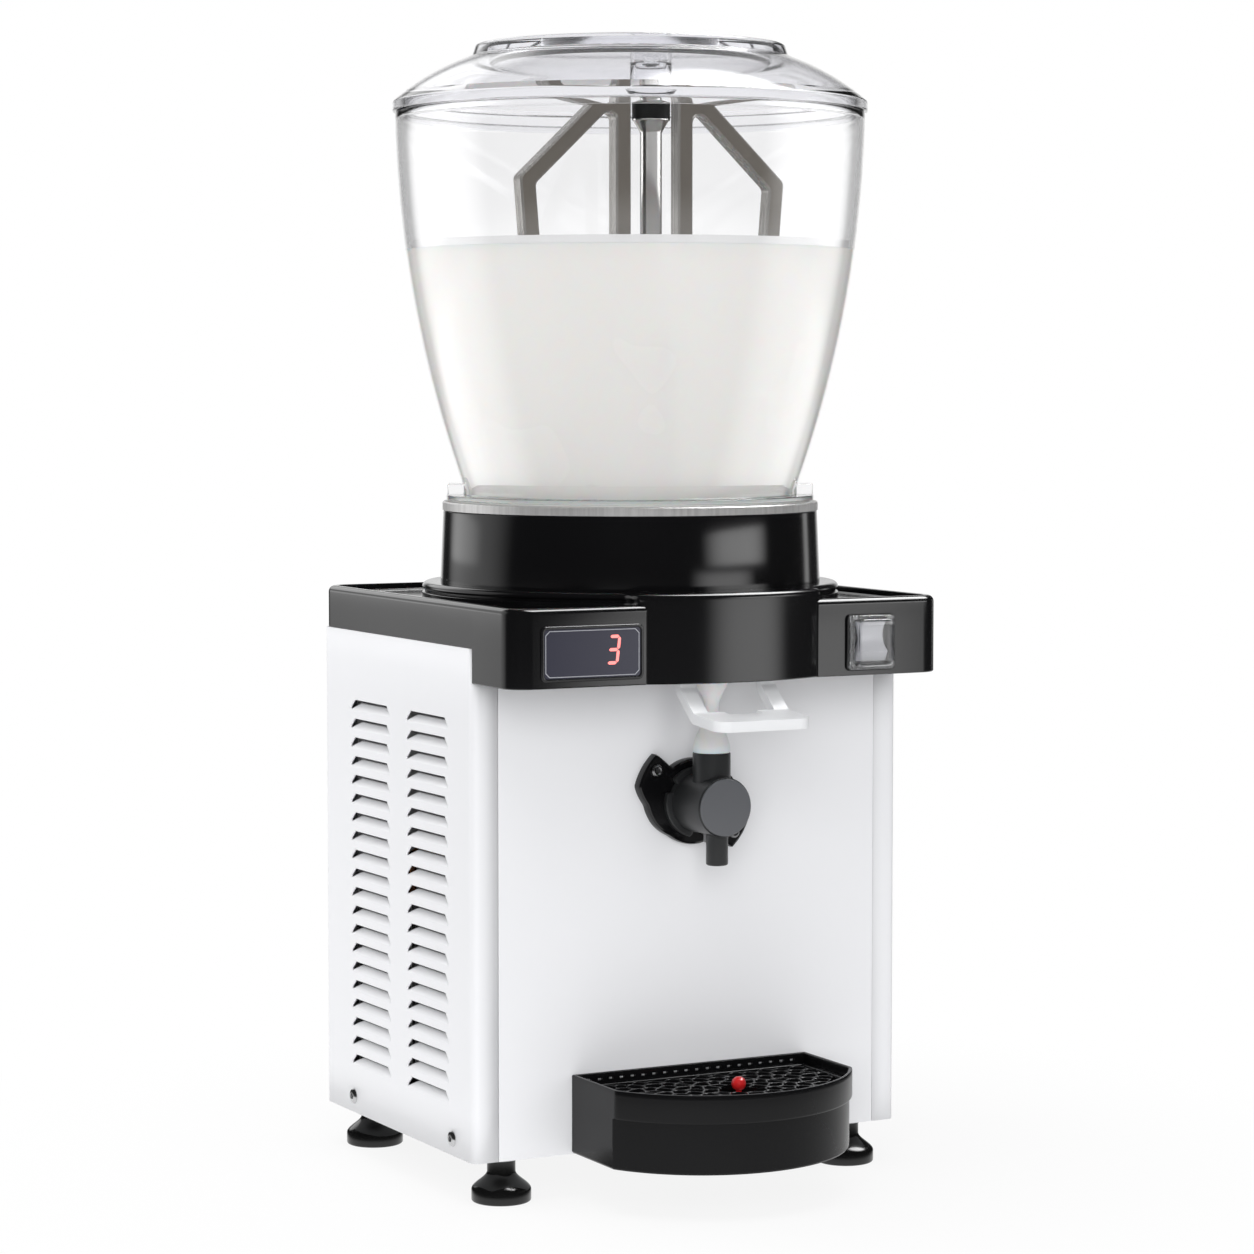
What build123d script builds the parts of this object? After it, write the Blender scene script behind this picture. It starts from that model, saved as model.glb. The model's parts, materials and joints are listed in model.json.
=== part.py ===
from build123d import *
import os
from math import atan2, ceil, cos, degrees, hypot, radians, sin, sqrt

# Countertop ayran dispenser: a refrigerated cabinet with a clear mixing bowl on top,
# a foaming tap and a pull lever on the front, and a drip tray below the tap.
# Millimetres, +Z up, -Y towards the user, origin on the table under the middle of the machine.

# Cabinet and its painted panels
CABINET_WIDTH = 300.0
CABINET_DEPTH = 226.0
CABINET_HEIGHT = 314.0
FOOT_HEIGHT = 28.0
SHEET = 1.0
PANEL_BEND_R = 5.0
PANEL_RETURN = 17.0
PANEL_SEAM = 0.4
TOP_FLANGE = 14.0
FLANGE_END_GAP = 16.0
PAN_SHEET = 1.2
PAN_FLANGE = 24.0

# Louvres pressed into both side panels
LOUVRE_ROWS = 20
LOUVRE_PITCH = 12.15
LOUVRE_LENGTH = 61.0
LOUVRE_RISE = 7.0
LOUVRE_SLOT = 2.0
LOUVRE_DEPTH = 4.5
LOUVRE_SPLAY = 3.0
LOUVRE_TOP_GAP = 44.5
LOUVRE_FRONT_BACK = 65.5
LOUVRE_COLUMN_PITCH = 87.0

# Vents in the rear panel
VENT_ROWS = 8
VENT_PITCH = 14.0
VENT_LENGTH = 120.0
VENT_HEIGHT = 4.0
VENT_TOP_GAP = 60.0

# Screws
SCREW_R = 2.5
SCREW_HEAD_R = 5.0
SCREW_HEAD_HEIGHT = 1.9
SCREW_LENGTH = 9.0
SIDE_SCREW_LIFT = 10.5
SIDE_SCREW_FRONT_BACK = 30.0
SIDE_SCREW_REAR_INSET = 45.0
REAR_SCREW_INSET = 40.0
SCREW_FIT = 0.05

# Levelling feet
FOOT_R = 18.5
FOOT_EDGE_R = 1.5
FOOT_SIDE = 9.0
FOOT_DOME_TOP = 17.5
FOOT_STEM_R = 8.8
FOOT_STUD_R = 4.0
FOOT_STUD_LENGTH = 20.0
FOOT_INSET_X = 27.0
FOOT_INSET_Y = 17.0
BUSH_FLANGE_R = 10.5
BUSH_FLANGE = 2.0
BUSH_R = 8.0
BUSH_RISE = 15.0

# Top cover with its fascia
FASCIA_DROP = 21.0
FASCIA_REACH = 54.0
COVER_RISE = 27.0
COVER_CORNER_R = 14.5
COVER_EDGE_R = 4.0
COVER_WALL = 3.0
COVER_REAR_OVERHANG = 4.0
DECK_RIM = 7.0
DECK_SINK = 4.5
BOSS_R = 146.6
BOSS_REACH = 65.9
BOSS_HALF_WIDTH = 68.0
BOSS_END_R = 6.0
POD_GROOVE_R = 2.0
SHOULDER_R = 132.6
SHOULDER_RISE = 11.0
SHOULDER_EDGE_R = 3.5
COVER_HOLE_R = 110.0
COVER_POST_R = 5.0
COVER_POST_INSET = 27.0
MOUTH_HALF_WIDTH = 40.0
MOUTH_REAR_GAP = 6.0

# Drum, cold plate and what lies under it
DRUM_FOOT_R = 121.0
DRUM_TOP_R = 119.0
DRUM_HEIGHT = 45.5
DRUM_WALL = 3.0
PLATE_R = 119.5
PLATE_BAND = 5.5
PLATE_SHEET = 1.5
COIL_TUBE_R = 3.8
COIL_OUTER_R = 76.0
COIL_STEP = 5.0
COIL_HALF_TURNS = 6
COIL_TAIL = 14.0
COIL_GAP = 0.2
INSULATION_GAP = 1.5
GASKET_INNER_R = 104.5
GASKET_OUTER_R = 114.0
GASKET = 1.0

# Bowl and lid
BOWL_BACK = 80.7
BOWL_HEIGHT = 244.0
BOWL_FOOT_R = 103.0
BOWL_BELLY_SHARE = 0.67325
BOWL_BELLY_RISE = 107.2
BOWL_WALL = 3.0
BOWL_FLANGE_R = 117.0
BOWL_FLANGE = 3.0
BOWL_LUG_WIDTH = 22.0
BOWL_LUG_LENGTH = 12.0
BOWL_LUG_RISE = 7.0
BOWL_LUG_ANGLE = -27.0
LID_R = 150.2
LID_LIP = 1.6
LID_EDGE = 8.5
LID_WALL = 2.5
LID_SKIRT = 4.0
LID_FIT = 0.5
LID_DOME_R = 100.0
LID_DOME_RISE = 35.0
LID_DOME_BULGE = 2.5
LID_RIDGE_WIDTH = 8.0
LID_RIDGE_RISE = 7.0
LID_PLATE_SINK = 9.5
LID_SLEEVE_R = 13.0
LID_SLEEVE_FLARE = 3.0
LID_SLEEVE_GAP = 2.5
LID_VENT_R = 5.0
SEAT_GAP = 0.3

# Agitator
AGITATOR_AHEAD = 28.0
SHAFT_R = 6.9
SHAFT_FIT = 0.05
CAP_R = 12.0
CAP_HEIGHT = 14.5
CAP_ABOVE_RIM = 9.0
COLLAR_HEIGHT = 8.5
HUB_WIDTH = 33.4
HUB_DEPTH = 16.0
HUB_HEIGHT = 13.0
HUB_LIFT = 10.0
SEAL_R = 13.0
SEAL_RISE = 7.5
SEAL_NECK_R = 10.0
SEAL_NECK = 8.0
PADDLE_BAR = 10.5
PADDLE_THICKNESS = 11.5
PADDLE_TOP_WIDTH = 22.0
PADDLE_SHOULDER_DROP = 51.0
PADDLE_TOP_GAP = 22.2
PADDLE_FOOT_GAP = 10.2
PADDLE_FOOT_RISE = 55.0
PADDLE_HEEL = 34.0
PADDLE_CORNER_R = 5.0
PADDLE_BEVEL = 1.2

# Gear motor and the beam that carries it
BEAM_SHEET = 2.0
BEAM_DEPTH = 76.0
BEAM_GAP = 0.5
GEARBOX_WIDTH = 84.0
GEARBOX_DEPTH = 64.0
GEARBOX_HEIGHT = 44.0
GEAR_NOSE_R = 11.0
GEAR_NOSE = 8.0
GEAR_MOTOR_R = 20.0
GEAR_MOTOR_LENGTH = 55.0
DRIVE_DEPTH = 15.0
NOSE_GAP = 0.5

# Outlet and pinch tube
OUTLET_AHEAD = 92.7
OUTLET_R = 7.8
OUTLET_WALL = 1.5
OUTLET_RUN = 52.0
OUTLET_TURN_DROP = 20.0
OUTLET_BEND_R = 9.0
TUBE_AHEAD = 27.0
TUBE_R = 11.5
TUBE_TOP_R = 10.6
TUBE_NECK_HALF_WIDTH = 4.8
TUBE_NECK_HALF_DEPTH = 3.2
TUBE_DOME = 9.0
TUBE_NECK_RISE = 29.0
TUBE_FUNNEL_RISE = 46.0
TUBE_RISE_ABOVE_FASCIA = 24.0
TUBE_SOCKET = 13.0
TUBE_STEPS = 8
TUBE_FIT = 0.1

# Foaming chamber, its flange, impeller and motor
CHAMBER_DROP = 78.5
CHAMBER_R = 18.4
CHAMBER_WALL = 2.5
CHAMBER_REACH = 45.5
CHAMBER_RING_R = 22.0
CHAMBER_RING = 4.0
CHAMBER_LUG_WIDTH = 9.0
CHAMBER_LUGS = 3
STUB_R = 11.7
STUB_RISE = 32.5
NIPPLE_R = 8.0
NIPPLE_RISE = 8.0
NOZZLE_AHEAD = 34.0
NOZZLE_R = 6.8
NOZZLE_WALL = 1.8
NOZZLE_DROP = 36.5
NOZZLE_EDGE_R = 1.5
DRAIN_R = 3.5
DRAIN_AHEAD = 24.0
DRAIN_DROP = 23.5
FLANGE_R = 27.0
FLANGE_PLATE = 6.0
FLANGE_LOBE_R = 41.0
FLANGE_LOBE_START_ANGLE = 128.0
FLANGE_LOBE_END_ANGLE = 165.0
FLANGE_TAIL_R = 33.5
FLANGE_TAIL_MID_R = 30.2
FLANGE_TAIL_START_ANGLE = 182.0
FLANGE_TAIL_END_ANGLE = 231.0
FLANGE_SPIGOT_R = 14.0
FLANGE_SPIGOT = 6.0
TAP_SCREW_R = 2.0
TAP_SCREW_HEAD_R = 3.8
TAP_SCREW_HEAD = 2.4
TAP_SCREW_LENGTH = 10.0
TAP_SCREW_PCD_R = 34.0
TAP_SCREW_ANGLE = 143.0
SEAL_RING_WIDTH = 2.6
SEAL_RING_FIT = 0.05
IMPELLER_R = 13.2
IMPELLER_HUB_R = 6.0
IMPELLER_LENGTH = 16.0
IMPELLER_FRONT_GAP = 5.0
IMPELLER_VANES = 4
VANE = 2.2
DRIVE_R = 4.0
MOTOR_PLATE = 66.0
MOTOR_PLATE_SHEET = 4.0
MOTOR_R = 27.0
MOTOR_LENGTH = 66.0
MOTOR_BORE = 12.0
PANEL_HOLE_R = 7.0

# Lever
LEVER_AXIS_AHEAD = 46.0
LEVER_AXIS_RISE = 14.0
LEVER_HUB_R = 6.0
LEVER_PIN_R = 2.5
LEVER_PIN_FIT = 0.05
LEVER_ARM_INNER = 23.0
LEVER_ARM_WIDTH = 10.0
LEVER_ARM = 7.0
LEVER_KNEE_AHEAD = 44.0
LEVER_KNEE_DROP = 5.0
LEVER_HEEL_AHEAD = 63.0
LEVER_HEEL_DROP = 21.0
LEVER_TIP_AHEAD = 92.0
LEVER_TIP_DROP = 23.5
LEVER_PLATE = 6.0
LEVER_NOTCH_HALF_WIDTH = 11.5
LEVER_NOTCH = 8.0
LEVER_CORNER_R = 9.0
SPRING_R = 4.6
SPRING_LENGTH = 14.0
PIN_EAR = 5.0
PIN_EAR_GAP = 0.4

# Display in the left pod
BEZEL_X = -96.4
BEZEL_WIDTH = 68.5
BEZEL_HEIGHT = 33.5
BEZEL_PROUD = 1.5
BEZEL_CORNER_R = 3.5
WINDOW_WIDTH = 66.5
WINDOW_HEIGHT = 31.5
WINDOW_CORNER_R = 1.0
GLASS = 1.5
GLASS_FIT = 0.1
CASE_WALL = 1.2
CASE_DEPTH = 34.0
POD_CENTRE_RISE = 20.5
BOARD = 1.6
BOARD_BACK = 9.0
DIGIT_BLOCK_WIDTH = 30.0
DIGIT_BLOCK_HEIGHT = 18.0
CUTOUT_FIT = 0.2

# Rocker switch in the right pod
SWITCH_X = 96.8
SWITCH_WIDTH = 34.5
SWITCH_HEIGHT = 35.0
SWITCH_PROUD = 2.0
SWITCH_CORNER_R = 3.0
SWITCH_WALL = 1.8
SWITCH_DEPTH = 30.0
ROCKER_WIDTH = 21.5
ROCKER_HEIGHT = 24.4
ROCKER_REACH = 7.4
ROCKER_DISH = 1.5
ROCKER_TILT = 8.0
ROCKER_AXIS_INSET = 4.0
ROCKER_SIDE_GAP = 0.55
ROCKER_END_GAP = 1.4
ROCKER_PIN_R = 1.5
ROCKER_HEEL = 4.0
BOOT_WALL = 0.8
BOOT_FLANGE = 1.2
BOOT_RISE = 6.5
BOOT_CORNER_R = 4.0
BOOT_MARGIN = 1.6

# Drip tray, grid and float
TRAY_HALF_WIDTH = 83.0
TRAY_REACH = 107.0
TRAY_FRONT_R = 95.0
TRAY_CORNER_R = 9.0
TRAY_HEIGHT = 49.0
TRAY_LIFT = 0.5
TRAY_BAND = 17.5
TRAY_STEP = 1.5
TRAY_WALL = 2.5
TRAY_FLOOR = 3.0
TRAY_GAP = 0.3
GRID_SINK = 6.5
GRID_THICKNESS = 3.0
GRID_LEDGE = 2.5
GRID_FIT = 0.4
GRID_RIM = 3.0
PEBBLE_PITCH = 10.2
PEBBLE_RIB = 1.5
PEBBLE_JITTER = 2.7
TRAY_SLOTS = 20
TRAY_SLOT_PITCH = 7.6
TRAY_SLOT_WIDTH = 3.4
TRAY_SLOT_HEIGHT = 1.4
TRAY_SLOT_DROP = 4.0
TONGUE_WIDTH = 20.0
TONGUE_X = 45.0
TONGUE_LENGTH = 24.0
TONGUE = 3.0
TONGUE_FIT = 0.4
FLOAT_X = 1.0
FLOAT_AHEAD = 60.0
FLOAT_BALL_R = 4.5
FLOAT_BALL_SHOW = 3.6
FLOAT_STEM_R = 1.8
FLOAT_R = 12.0
FLOAT_HEIGHT = 10.0
FLOAT_HOLE_GAP = 0.8

# Refrigeration parts on the base pan
COMPRESSOR_X = 60.0
COMPRESSOR_REAR_GAP = 84.0
COMPRESSOR_R = 52.0
COMPRESSOR_HEIGHT = 130.0
COMPRESSOR_DOME_R = 24.0
COMPRESSOR_PLATE = 112.0
COMPRESSOR_PLATE_SHEET = 3.0
GROMMET_R = 9.0
GROMMET_HEIGHT = 13.0
GROMMET_INSET = 11.0
CONDENSER_SIDE_GAP = 11.0
CONDENSER_THICKNESS = 24.0
CONDENSER_DEPTH = 130.0
CONDENSER_HEIGHT = 140.0
CONDENSER_FINS = 20
CONDENSER_FIN = 0.8
CONDENSER_TUBES = 5
CONDENSER_TUBE_R = 4.0
CONDENSER_END = 2.0
SHROUD_SHEET = 2.0
SHROUD_MARGIN = 4.0
FAN_R = 54.0
FAN_TIP_GAP = 3.0
DUCT_WALL = 2.0
DUCT_DEPTH = 16.0
FAN_BLADES = 5
FAN_BLADE = 1.6
FAN_BLADE_WIDTH = 34.0
FAN_BLADE_PITCH = 24.0
FAN_HUB_R = 16.0
FAN_HUB = 13.0
FAN_SHAFT_R = 2.5
FAN_MOTOR_R = 24.0
FAN_MOTOR_LENGTH = 36.0
FAN_MOTOR_GAP = 4.0
FAN_ARM = 6.0
FAN_ARMS = 3
DRIER_R = 9.0
DRIER_LENGTH = 75.0
DRIER_X = -62.0
DRIER_REAR_GAP = 14.0
DRIER_RISE = 46.0
LIQUID_RISE = 32.0
LINE_R = 4.0
CAPILLARY_R = 1.6
LINE_BEND_R = 10.0
LIQUID_BEND_R = 7.0
DISCHARGE_RISE = 26.0
SUCTION_RISE = 76.0
CAPILLARY_GAP = 19.8
LINE_HOLE_GAP = 2.0
COIL_TAIL_END_DROP = 66.0

# Mains inlet on the rear panel
INLET_X = 70.0
INLET_RISE = 60.0
INLET_FLANGE_WIDTH = 50.0
INLET_FLANGE_HEIGHT = 24.0
INLET_FLANGE = 3.0
INLET_BODY_WIDTH = 29.0
INLET_BODY_HEIGHT = 20.6
INLET_WALL = 2.0
INLET_DEPTH = 22.0
INLET_PIN_WIDTH = 4.0
INLET_PIN = 2.0
INLET_PIN_LENGTH = 14.0

# Heights above the table
PANEL_Z1 = FOOT_HEIGHT + CABINET_HEIGHT
PAN_TOP = FOOT_HEIGHT + PAN_SHEET
FASCIA_Z = PANEL_Z1 - FASCIA_DROP
RIM_Z = PANEL_Z1 + COVER_RISE
DECK_Z = RIM_Z - DECK_SINK
SHOULDER_Z = DECK_Z + SHOULDER_RISE
DRUM_Z = SHOULDER_Z + DRUM_HEIGHT
TANK_Z = DRUM_Z + PLATE_BAND
BOWL_Z = TANK_Z + GASKET
BOWL_TOP = BOWL_Z + BOWL_HEIGHT
LID_Z = BOWL_TOP + SEAT_GAP
LID_EDGE_Z = LID_Z + LID_EDGE
LID_DOME_Z = LID_Z + LID_DOME_RISE
LID_RIDGE_Z = LID_DOME_Z + LID_RIDGE_RISE
LID_PLATE_Z = LID_RIDGE_Z - LID_PLATE_SINK
CAP_Z1 = BOWL_TOP + CAP_ABOVE_RIM
CAP_Z0 = CAP_Z1 - CAP_HEIGHT
HUB_Z0 = TANK_Z + HUB_LIFT
CHAMBER_Z = FASCIA_Z - CHAMBER_DROP
STUB_Z = CHAMBER_Z + STUB_RISE
POD_Z = FASCIA_Z + POD_CENTRE_RISE
LEVER_Z = FASCIA_Z + LEVER_AXIS_RISE
TRAY_Z0 = FOOT_HEIGHT + TRAY_LIFT
TRAY_Z1 = TRAY_Z0 + TRAY_HEIGHT
GRID_Z1 = TRAY_Z1 - GRID_SINK
GRID_Z0 = GRID_Z1 - GRID_THICKNESS
TONGUE_Z = FOOT_HEIGHT + PAN_FLANGE + TONGUE_FIT
COIL_Z = TANK_Z - PLATE_SHEET - COIL_TUBE_R - COIL_GAP
COIL_TAIL_Z = COIL_Z - COIL_TAIL_END_DROP
INSULATION_Z1 = COIL_Z - COIL_TUBE_R - COIL_GAP
COMPRESSOR_Z0 = PAN_TOP + GROMMET_HEIGHT + COMPRESSOR_PLATE_SHEET
COMPRESSOR_Z1 = COMPRESSOR_Z0 + COMPRESSOR_HEIGHT
CONDENSER_Z0 = PAN_TOP + COMPRESSOR_PLATE_SHEET
CONDENSER_Z1 = CONDENSER_Z0 + CONDENSER_HEIGHT
FAN_Z = CONDENSER_Z0 + CONDENSER_HEIGHT / 2

# Places across and along the machine
CABINET_X = CABINET_WIDTH / 2
BOWL_RIM_R = LID_R - LID_LIP
BOWL_BELLY_R = BOWL_FOOT_R + BOWL_BELLY_SHARE * (BOWL_RIM_R - BOWL_FOOT_R)
FRONT_Y = (TRAY_REACH - BOWL_BACK - LID_R) / 2
BACK_Y = FRONT_Y + CABINET_DEPTH
MID_Y = (FRONT_Y + BACK_Y) / 2
BOWL_Y = FRONT_Y + BOWL_BACK
AGITATOR_Y = BOWL_Y - AGITATOR_AHEAD
OUTLET_Y = BOWL_Y - OUTLET_AHEAD
TUBE_Y = FRONT_Y - TUBE_AHEAD
POD_Y = FRONT_Y - FASCIA_REACH
BOSS_Y = FRONT_Y - BOSS_REACH + BOSS_R
COVER_BACK_Y = BACK_Y + COVER_REAR_OVERHANG
LEVER_Y = FRONT_Y - LEVER_AXIS_AHEAD
CHAMBER_Y0 = FRONT_Y - CHAMBER_REACH
CHAMBER_Y1 = FRONT_Y - FLANGE_PLATE
NOZZLE_Y = FRONT_Y - NOZZLE_AHEAD
TRAY_Y = FRONT_Y - TRAY_GAP
FLOAT_Y = FRONT_Y - FLOAT_AHEAD
FOOT_X = CABINET_X - FOOT_INSET_X
FOOT_PLACES = {
    "front_left": (-FOOT_X, FRONT_Y + FOOT_INSET_Y),
    "front_right": (FOOT_X, FRONT_Y + FOOT_INSET_Y),
    "rear_left": (-FOOT_X, BACK_Y - FOOT_INSET_Y),
    "rear_right": (FOOT_X, BACK_Y - FOOT_INSET_Y),
}
SIDE_SCREW_PLACES = (FRONT_Y + SIDE_SCREW_FRONT_BACK, BACK_Y - SIDE_SCREW_REAR_INSET)
SIDE_SCREW_Z = FOOT_HEIGHT + SIDE_SCREW_LIFT
REAR_SCREW_X = CABINET_X - REAR_SCREW_INSET
COMPRESSOR_Y = BACK_Y - COMPRESSOR_REAR_GAP
CONDENSER_X0 = -CABINET_X + CONDENSER_SIDE_GAP
CONDENSER_X1 = CONDENSER_X0 + CONDENSER_THICKNESS
CONDENSER_Y = MID_Y + LOUVRE_FRONT_BACK / 4
SHROUD_X1 = CONDENSER_X1 + SHROUD_SHEET
DUCT_R = FAN_R + FAN_TIP_GAP
FAN_X = SHROUD_X1 + DUCT_DEPTH / 2
FAN_MOTOR_X = FAN_X + FAN_HUB / 2 + FAN_MOTOR_GAP
DRIER_Y = BACK_Y - SHEET - DRIER_REAR_GAP
COIL_OUT = (COIL_OUTER_R, BOWL_Y)
COIL_IN = (COIL_OUTER_R - COIL_HALF_TURNS * COIL_STEP, BOWL_Y)
SUCTION_PLACE = (COIL_OUT[0], COIL_OUT[1] - COIL_TAIL)
CAPILLARY_PLACE = (COIL_IN[0], COIL_IN[1] + COIL_TAIL)

BASE = (Align.CENTER, Align.CENTER, Align.MIN)
CORNER = (Align.MIN, Align.MIN, Align.MIN)


def block(x0, x1, y0, y1, z0, z1):
    """Box between two corners."""
    return Pos(x0, y0, z0) * Box(x1 - x0, y1 - y0, z1 - z0, align=CORNER)


def post(x, y, z0, z1, r):
    """Upright cylinder."""
    return Pos(x, y, z0) * Cylinder(r, z1 - z0, align=BASE)


def rod_y(x, z, y0, y1, r):
    """Cylinder along Y."""
    return Pos(x, y0, z) * Rot(-90, 0, 0) * Cylinder(r, y1 - y0, align=BASE)


def rod_x(y, z, x0, x1, r):
    """Cylinder along X."""
    return Pos(x0, y, z) * Rot(0, 90, 0) * Cylinder(r, x1 - x0, align=BASE)


def slab(sketch, z0, z1):
    """Sketch drawn in plan and raised between two heights."""
    return Pos(0, 0, z0) * extrude(sketch, z1 - z0)


def face_plate(sketch, y0, y1):
    """Sketch drawn in X and Z, with its thickness along Y."""
    return Pos(0, y1, 0) * extrude(Plane.XZ * sketch, y1 - y0)


def side_plate(sketch, x0, x1):
    """Sketch drawn in Y and Z, with its thickness along X."""
    return Pos(x0, 0, 0) * extrude(Plane.YZ * sketch, x1 - x0)


def turned(line, x, y):
    """Solid of revolution about an upright axis, from a closed outline in radius and height."""
    return Pos(x, y, 0) * revolve(make_face(Plane.XZ * line), Axis.Z)


def pipe(points, bend_r, r):
    """Bent tube along straight runs joined by arcs."""
    path = FilletPolyline(*points, radius=bend_r)
    return sweep(Plane(path @ 0, z_dir=path % 0) * Circle(r), path=path)


def mirrored_x(solid):
    """Copy of a solid on the other side of the machine."""
    return mirror(solid, Plane.YZ)


def edges_at(solid, z):
    """Edges of a solid that lie at one height."""
    boxes = [(e, e.bounding_box()) for e in solid.edges()]
    return [e for e, box in boxes if abs(box.min.Z - z) < 1e-4 and box.size.Z < 1e-4]


def bowl_radius(height, inset=0.0):
    """Radius of the bowl's outer wall, less an inset, at a height above the bowl's foot.

    The wall is one arc through the foot, the belly and the rim.
    """
    (r1, z1), (r2, z2), (r3, z3) = bowl_points()
    d = 2 * (r1 * (z2 - z3) + r2 * (z3 - z1) + r3 * (z1 - z2))
    q1, q2, q3 = r1 * r1 + z1 * z1, r2 * r2 + z2 * z2, r3 * r3 + z3 * z3
    cr = (q1 * (z2 - z3) + q2 * (z3 - z1) + q3 * (z1 - z2)) / d
    cz = (q1 * (r3 - r2) + q2 * (r1 - r3) + q3 * (r2 - r1)) / d
    arc_r = hypot(r1 - cr, z1 - cz)
    return cr + sqrt(arc_r**2 - (height - cz) ** 2) - inset


def bowl_points():
    """Radius and height of the three points that set the bowl's wall."""
    return (BOWL_FOOT_R, 0.0), (BOWL_BELLY_R, BOWL_BELLY_RISE), (BOWL_RIM_R, BOWL_HEIGHT)


# Cabinet


def base_pan():
    """Pressed steel pan that carries the refrigeration parts and takes the feet."""
    pan = slab(panel_plan(SHEET), FOOT_HEIGHT, FOOT_HEIGHT + PAN_FLANGE)
    pan -= slab(panel_plan(SHEET + PAN_SHEET), PAN_TOP, FOOT_HEIGHT + PAN_FLANGE)
    for px, py in FOOT_PLACES.values():
        pan -= post(px, py, FOOT_HEIGHT, PAN_TOP, BUSH_R + SCREW_FIT)
    return pan - screw_shanks(SCREW_R + SCREW_FIT)


def foot_bushes():
    """Threaded bushes in the pan, one for each foot."""
    bushes = []
    for px, py in FOOT_PLACES.values():
        bush = post(px, py, FOOT_HEIGHT - BUSH_FLANGE, FOOT_HEIGHT, BUSH_FLANGE_R)
        bush += post(px, py, FOOT_HEIGHT, FOOT_HEIGHT + BUSH_RISE, BUSH_R)
        bush -= post(px, py, 0, FOOT_HEIGHT + BUSH_RISE, FOOT_STUD_R + SHAFT_FIT)
        bushes.append(bush)
    return Compound(bushes)


def foot(place):
    """Levelling foot: broad pad, domed shoulder, stem and threaded stud."""
    stem_top = FOOT_HEIGHT - BUSH_FLANGE - SEAT_GAP
    stud_top = FOOT_HEIGHT + FOOT_STUD_LENGTH
    outline = Polyline((0, 0), (FOOT_R - FOOT_EDGE_R, 0))
    outline += RadiusArc((FOOT_R - FOOT_EDGE_R, 0), (FOOT_R, FOOT_EDGE_R), -FOOT_EDGE_R)
    outline += Line((FOOT_R, FOOT_EDGE_R), (FOOT_R, FOOT_SIDE))
    outline += Spline(
        (FOOT_R, FOOT_SIDE), (FOOT_STEM_R, FOOT_DOME_TOP), tangents=((0, 1), (-0.5, 1))
    )
    outline += Polyline(
        (FOOT_STEM_R, FOOT_DOME_TOP),
        (FOOT_STEM_R, stem_top),
        (FOOT_STUD_R, stem_top),
        (FOOT_STUD_R, stud_top),
        (0, stud_top),
        (0, 0),
    )
    return turned(outline, *place)


def panel_plan(inset):
    """Plan of the cabinet, less an inset, with bent corners."""
    width, depth = CABINET_WIDTH - 2 * inset, CABINET_DEPTH - 2 * inset
    return Pos(0, MID_Y) * RectangleRounded(width, depth, PANEL_BEND_R - inset)


def louvre(y0, y1, z1, depth, rise, skin):
    """Wedge that deepens from its lower edge to its upper edge, with splayed ends."""
    x0 = -CABINET_X
    x1 = x0 + depth
    splay = LOUVRE_SPLAY - skin
    low_a, low_b = (x0, y0, z1 - rise), (x0, y1, z1 - rise)
    top_a, top_b = (x0, y0, z1), (x0, y1, z1)
    deep_a, deep_b = (x1, y0 + splay, z1), (x1, y1 - splay, z1)
    loops = (
        (low_a, low_b, top_b, top_a),
        (top_a, top_b, deep_b, deep_a),
        (low_a, deep_a, deep_b, low_b),
        (low_a, top_a, deep_a),
        (low_b, deep_b, top_b),
    )
    return Solid(Shell([Face(Wire.make_polygon([Vector(*p) for p in loop], close=True)) for loop in loops]))


def left_panel():
    """Side panel with louvres, wrapped round the cabinet's front and rear corners."""
    x0 = -CABINET_X
    strip = block(x0, x0 + PANEL_RETURN, FRONT_Y, BACK_Y, FOOT_HEIGHT, PANEL_Z1)
    panel = slab(panel_plan(0) - panel_plan(SHEET), FOOT_HEIGHT, PANEL_Z1) & strip
    panel += block(
        x0 + SHEET / 2, x0 + SHEET + TOP_FLANGE,
        FRONT_Y + FLANGE_END_GAP, BACK_Y - FLANGE_END_GAP, PANEL_Z1 - SHEET, PANEL_Z1,
    )
    hoods, recesses = [], []
    for column in range(2):
        mid = FRONT_Y + LOUVRE_FRONT_BACK + column * LOUVRE_COLUMN_PITCH
        y0, y1 = mid - LOUVRE_LENGTH / 2, mid + LOUVRE_LENGTH / 2
        for row in range(LOUVRE_ROWS):
            z1 = PANEL_Z1 - LOUVRE_TOP_GAP - row * LOUVRE_PITCH
            hood_rise = LOUVRE_RISE + SHEET - LOUVRE_SLOT
            hood_z1 = z1 - LOUVRE_SLOT
            hoods.append(louvre(y0 - SHEET, y1 + SHEET, hood_z1, LOUVRE_DEPTH + SHEET, hood_rise, SHEET))
            recesses.append(louvre(y0, y1, z1, LOUVRE_DEPTH, LOUVRE_RISE, 0))
    panel = panel + hoods - recesses
    return panel - screw_shanks(SCREW_R + SCREW_FIT)


def front_panel():
    """Flat front sheet with inward returns, the tap's holes and the tray's slots."""
    x = CABINET_X - PANEL_RETURN - PANEL_SEAM
    panel = block(-x, x, FRONT_Y, FRONT_Y + SHEET, FOOT_HEIGHT, PANEL_Z1)
    z0 = FOOT_HEIGHT + PAN_FLANGE + SHEET
    for x0 in (-x, x - SHEET):
        panel += block(x0, x0 + SHEET, FRONT_Y, FRONT_Y + TOP_FLANGE, z0, PANEL_Z1)
    panel -= rod_y(0, CHAMBER_Z, FRONT_Y, FRONT_Y + SHEET, PANEL_HOLE_R)
    for x1, z1 in tap_screw_places():
        panel -= rod_y(x1, z1, FRONT_Y, FRONT_Y + SHEET, TAP_SCREW_R + SCREW_FIT)
    for tongue in tray_tongues(TONGUE_FIT):
        panel -= tongue
    return panel


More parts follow.
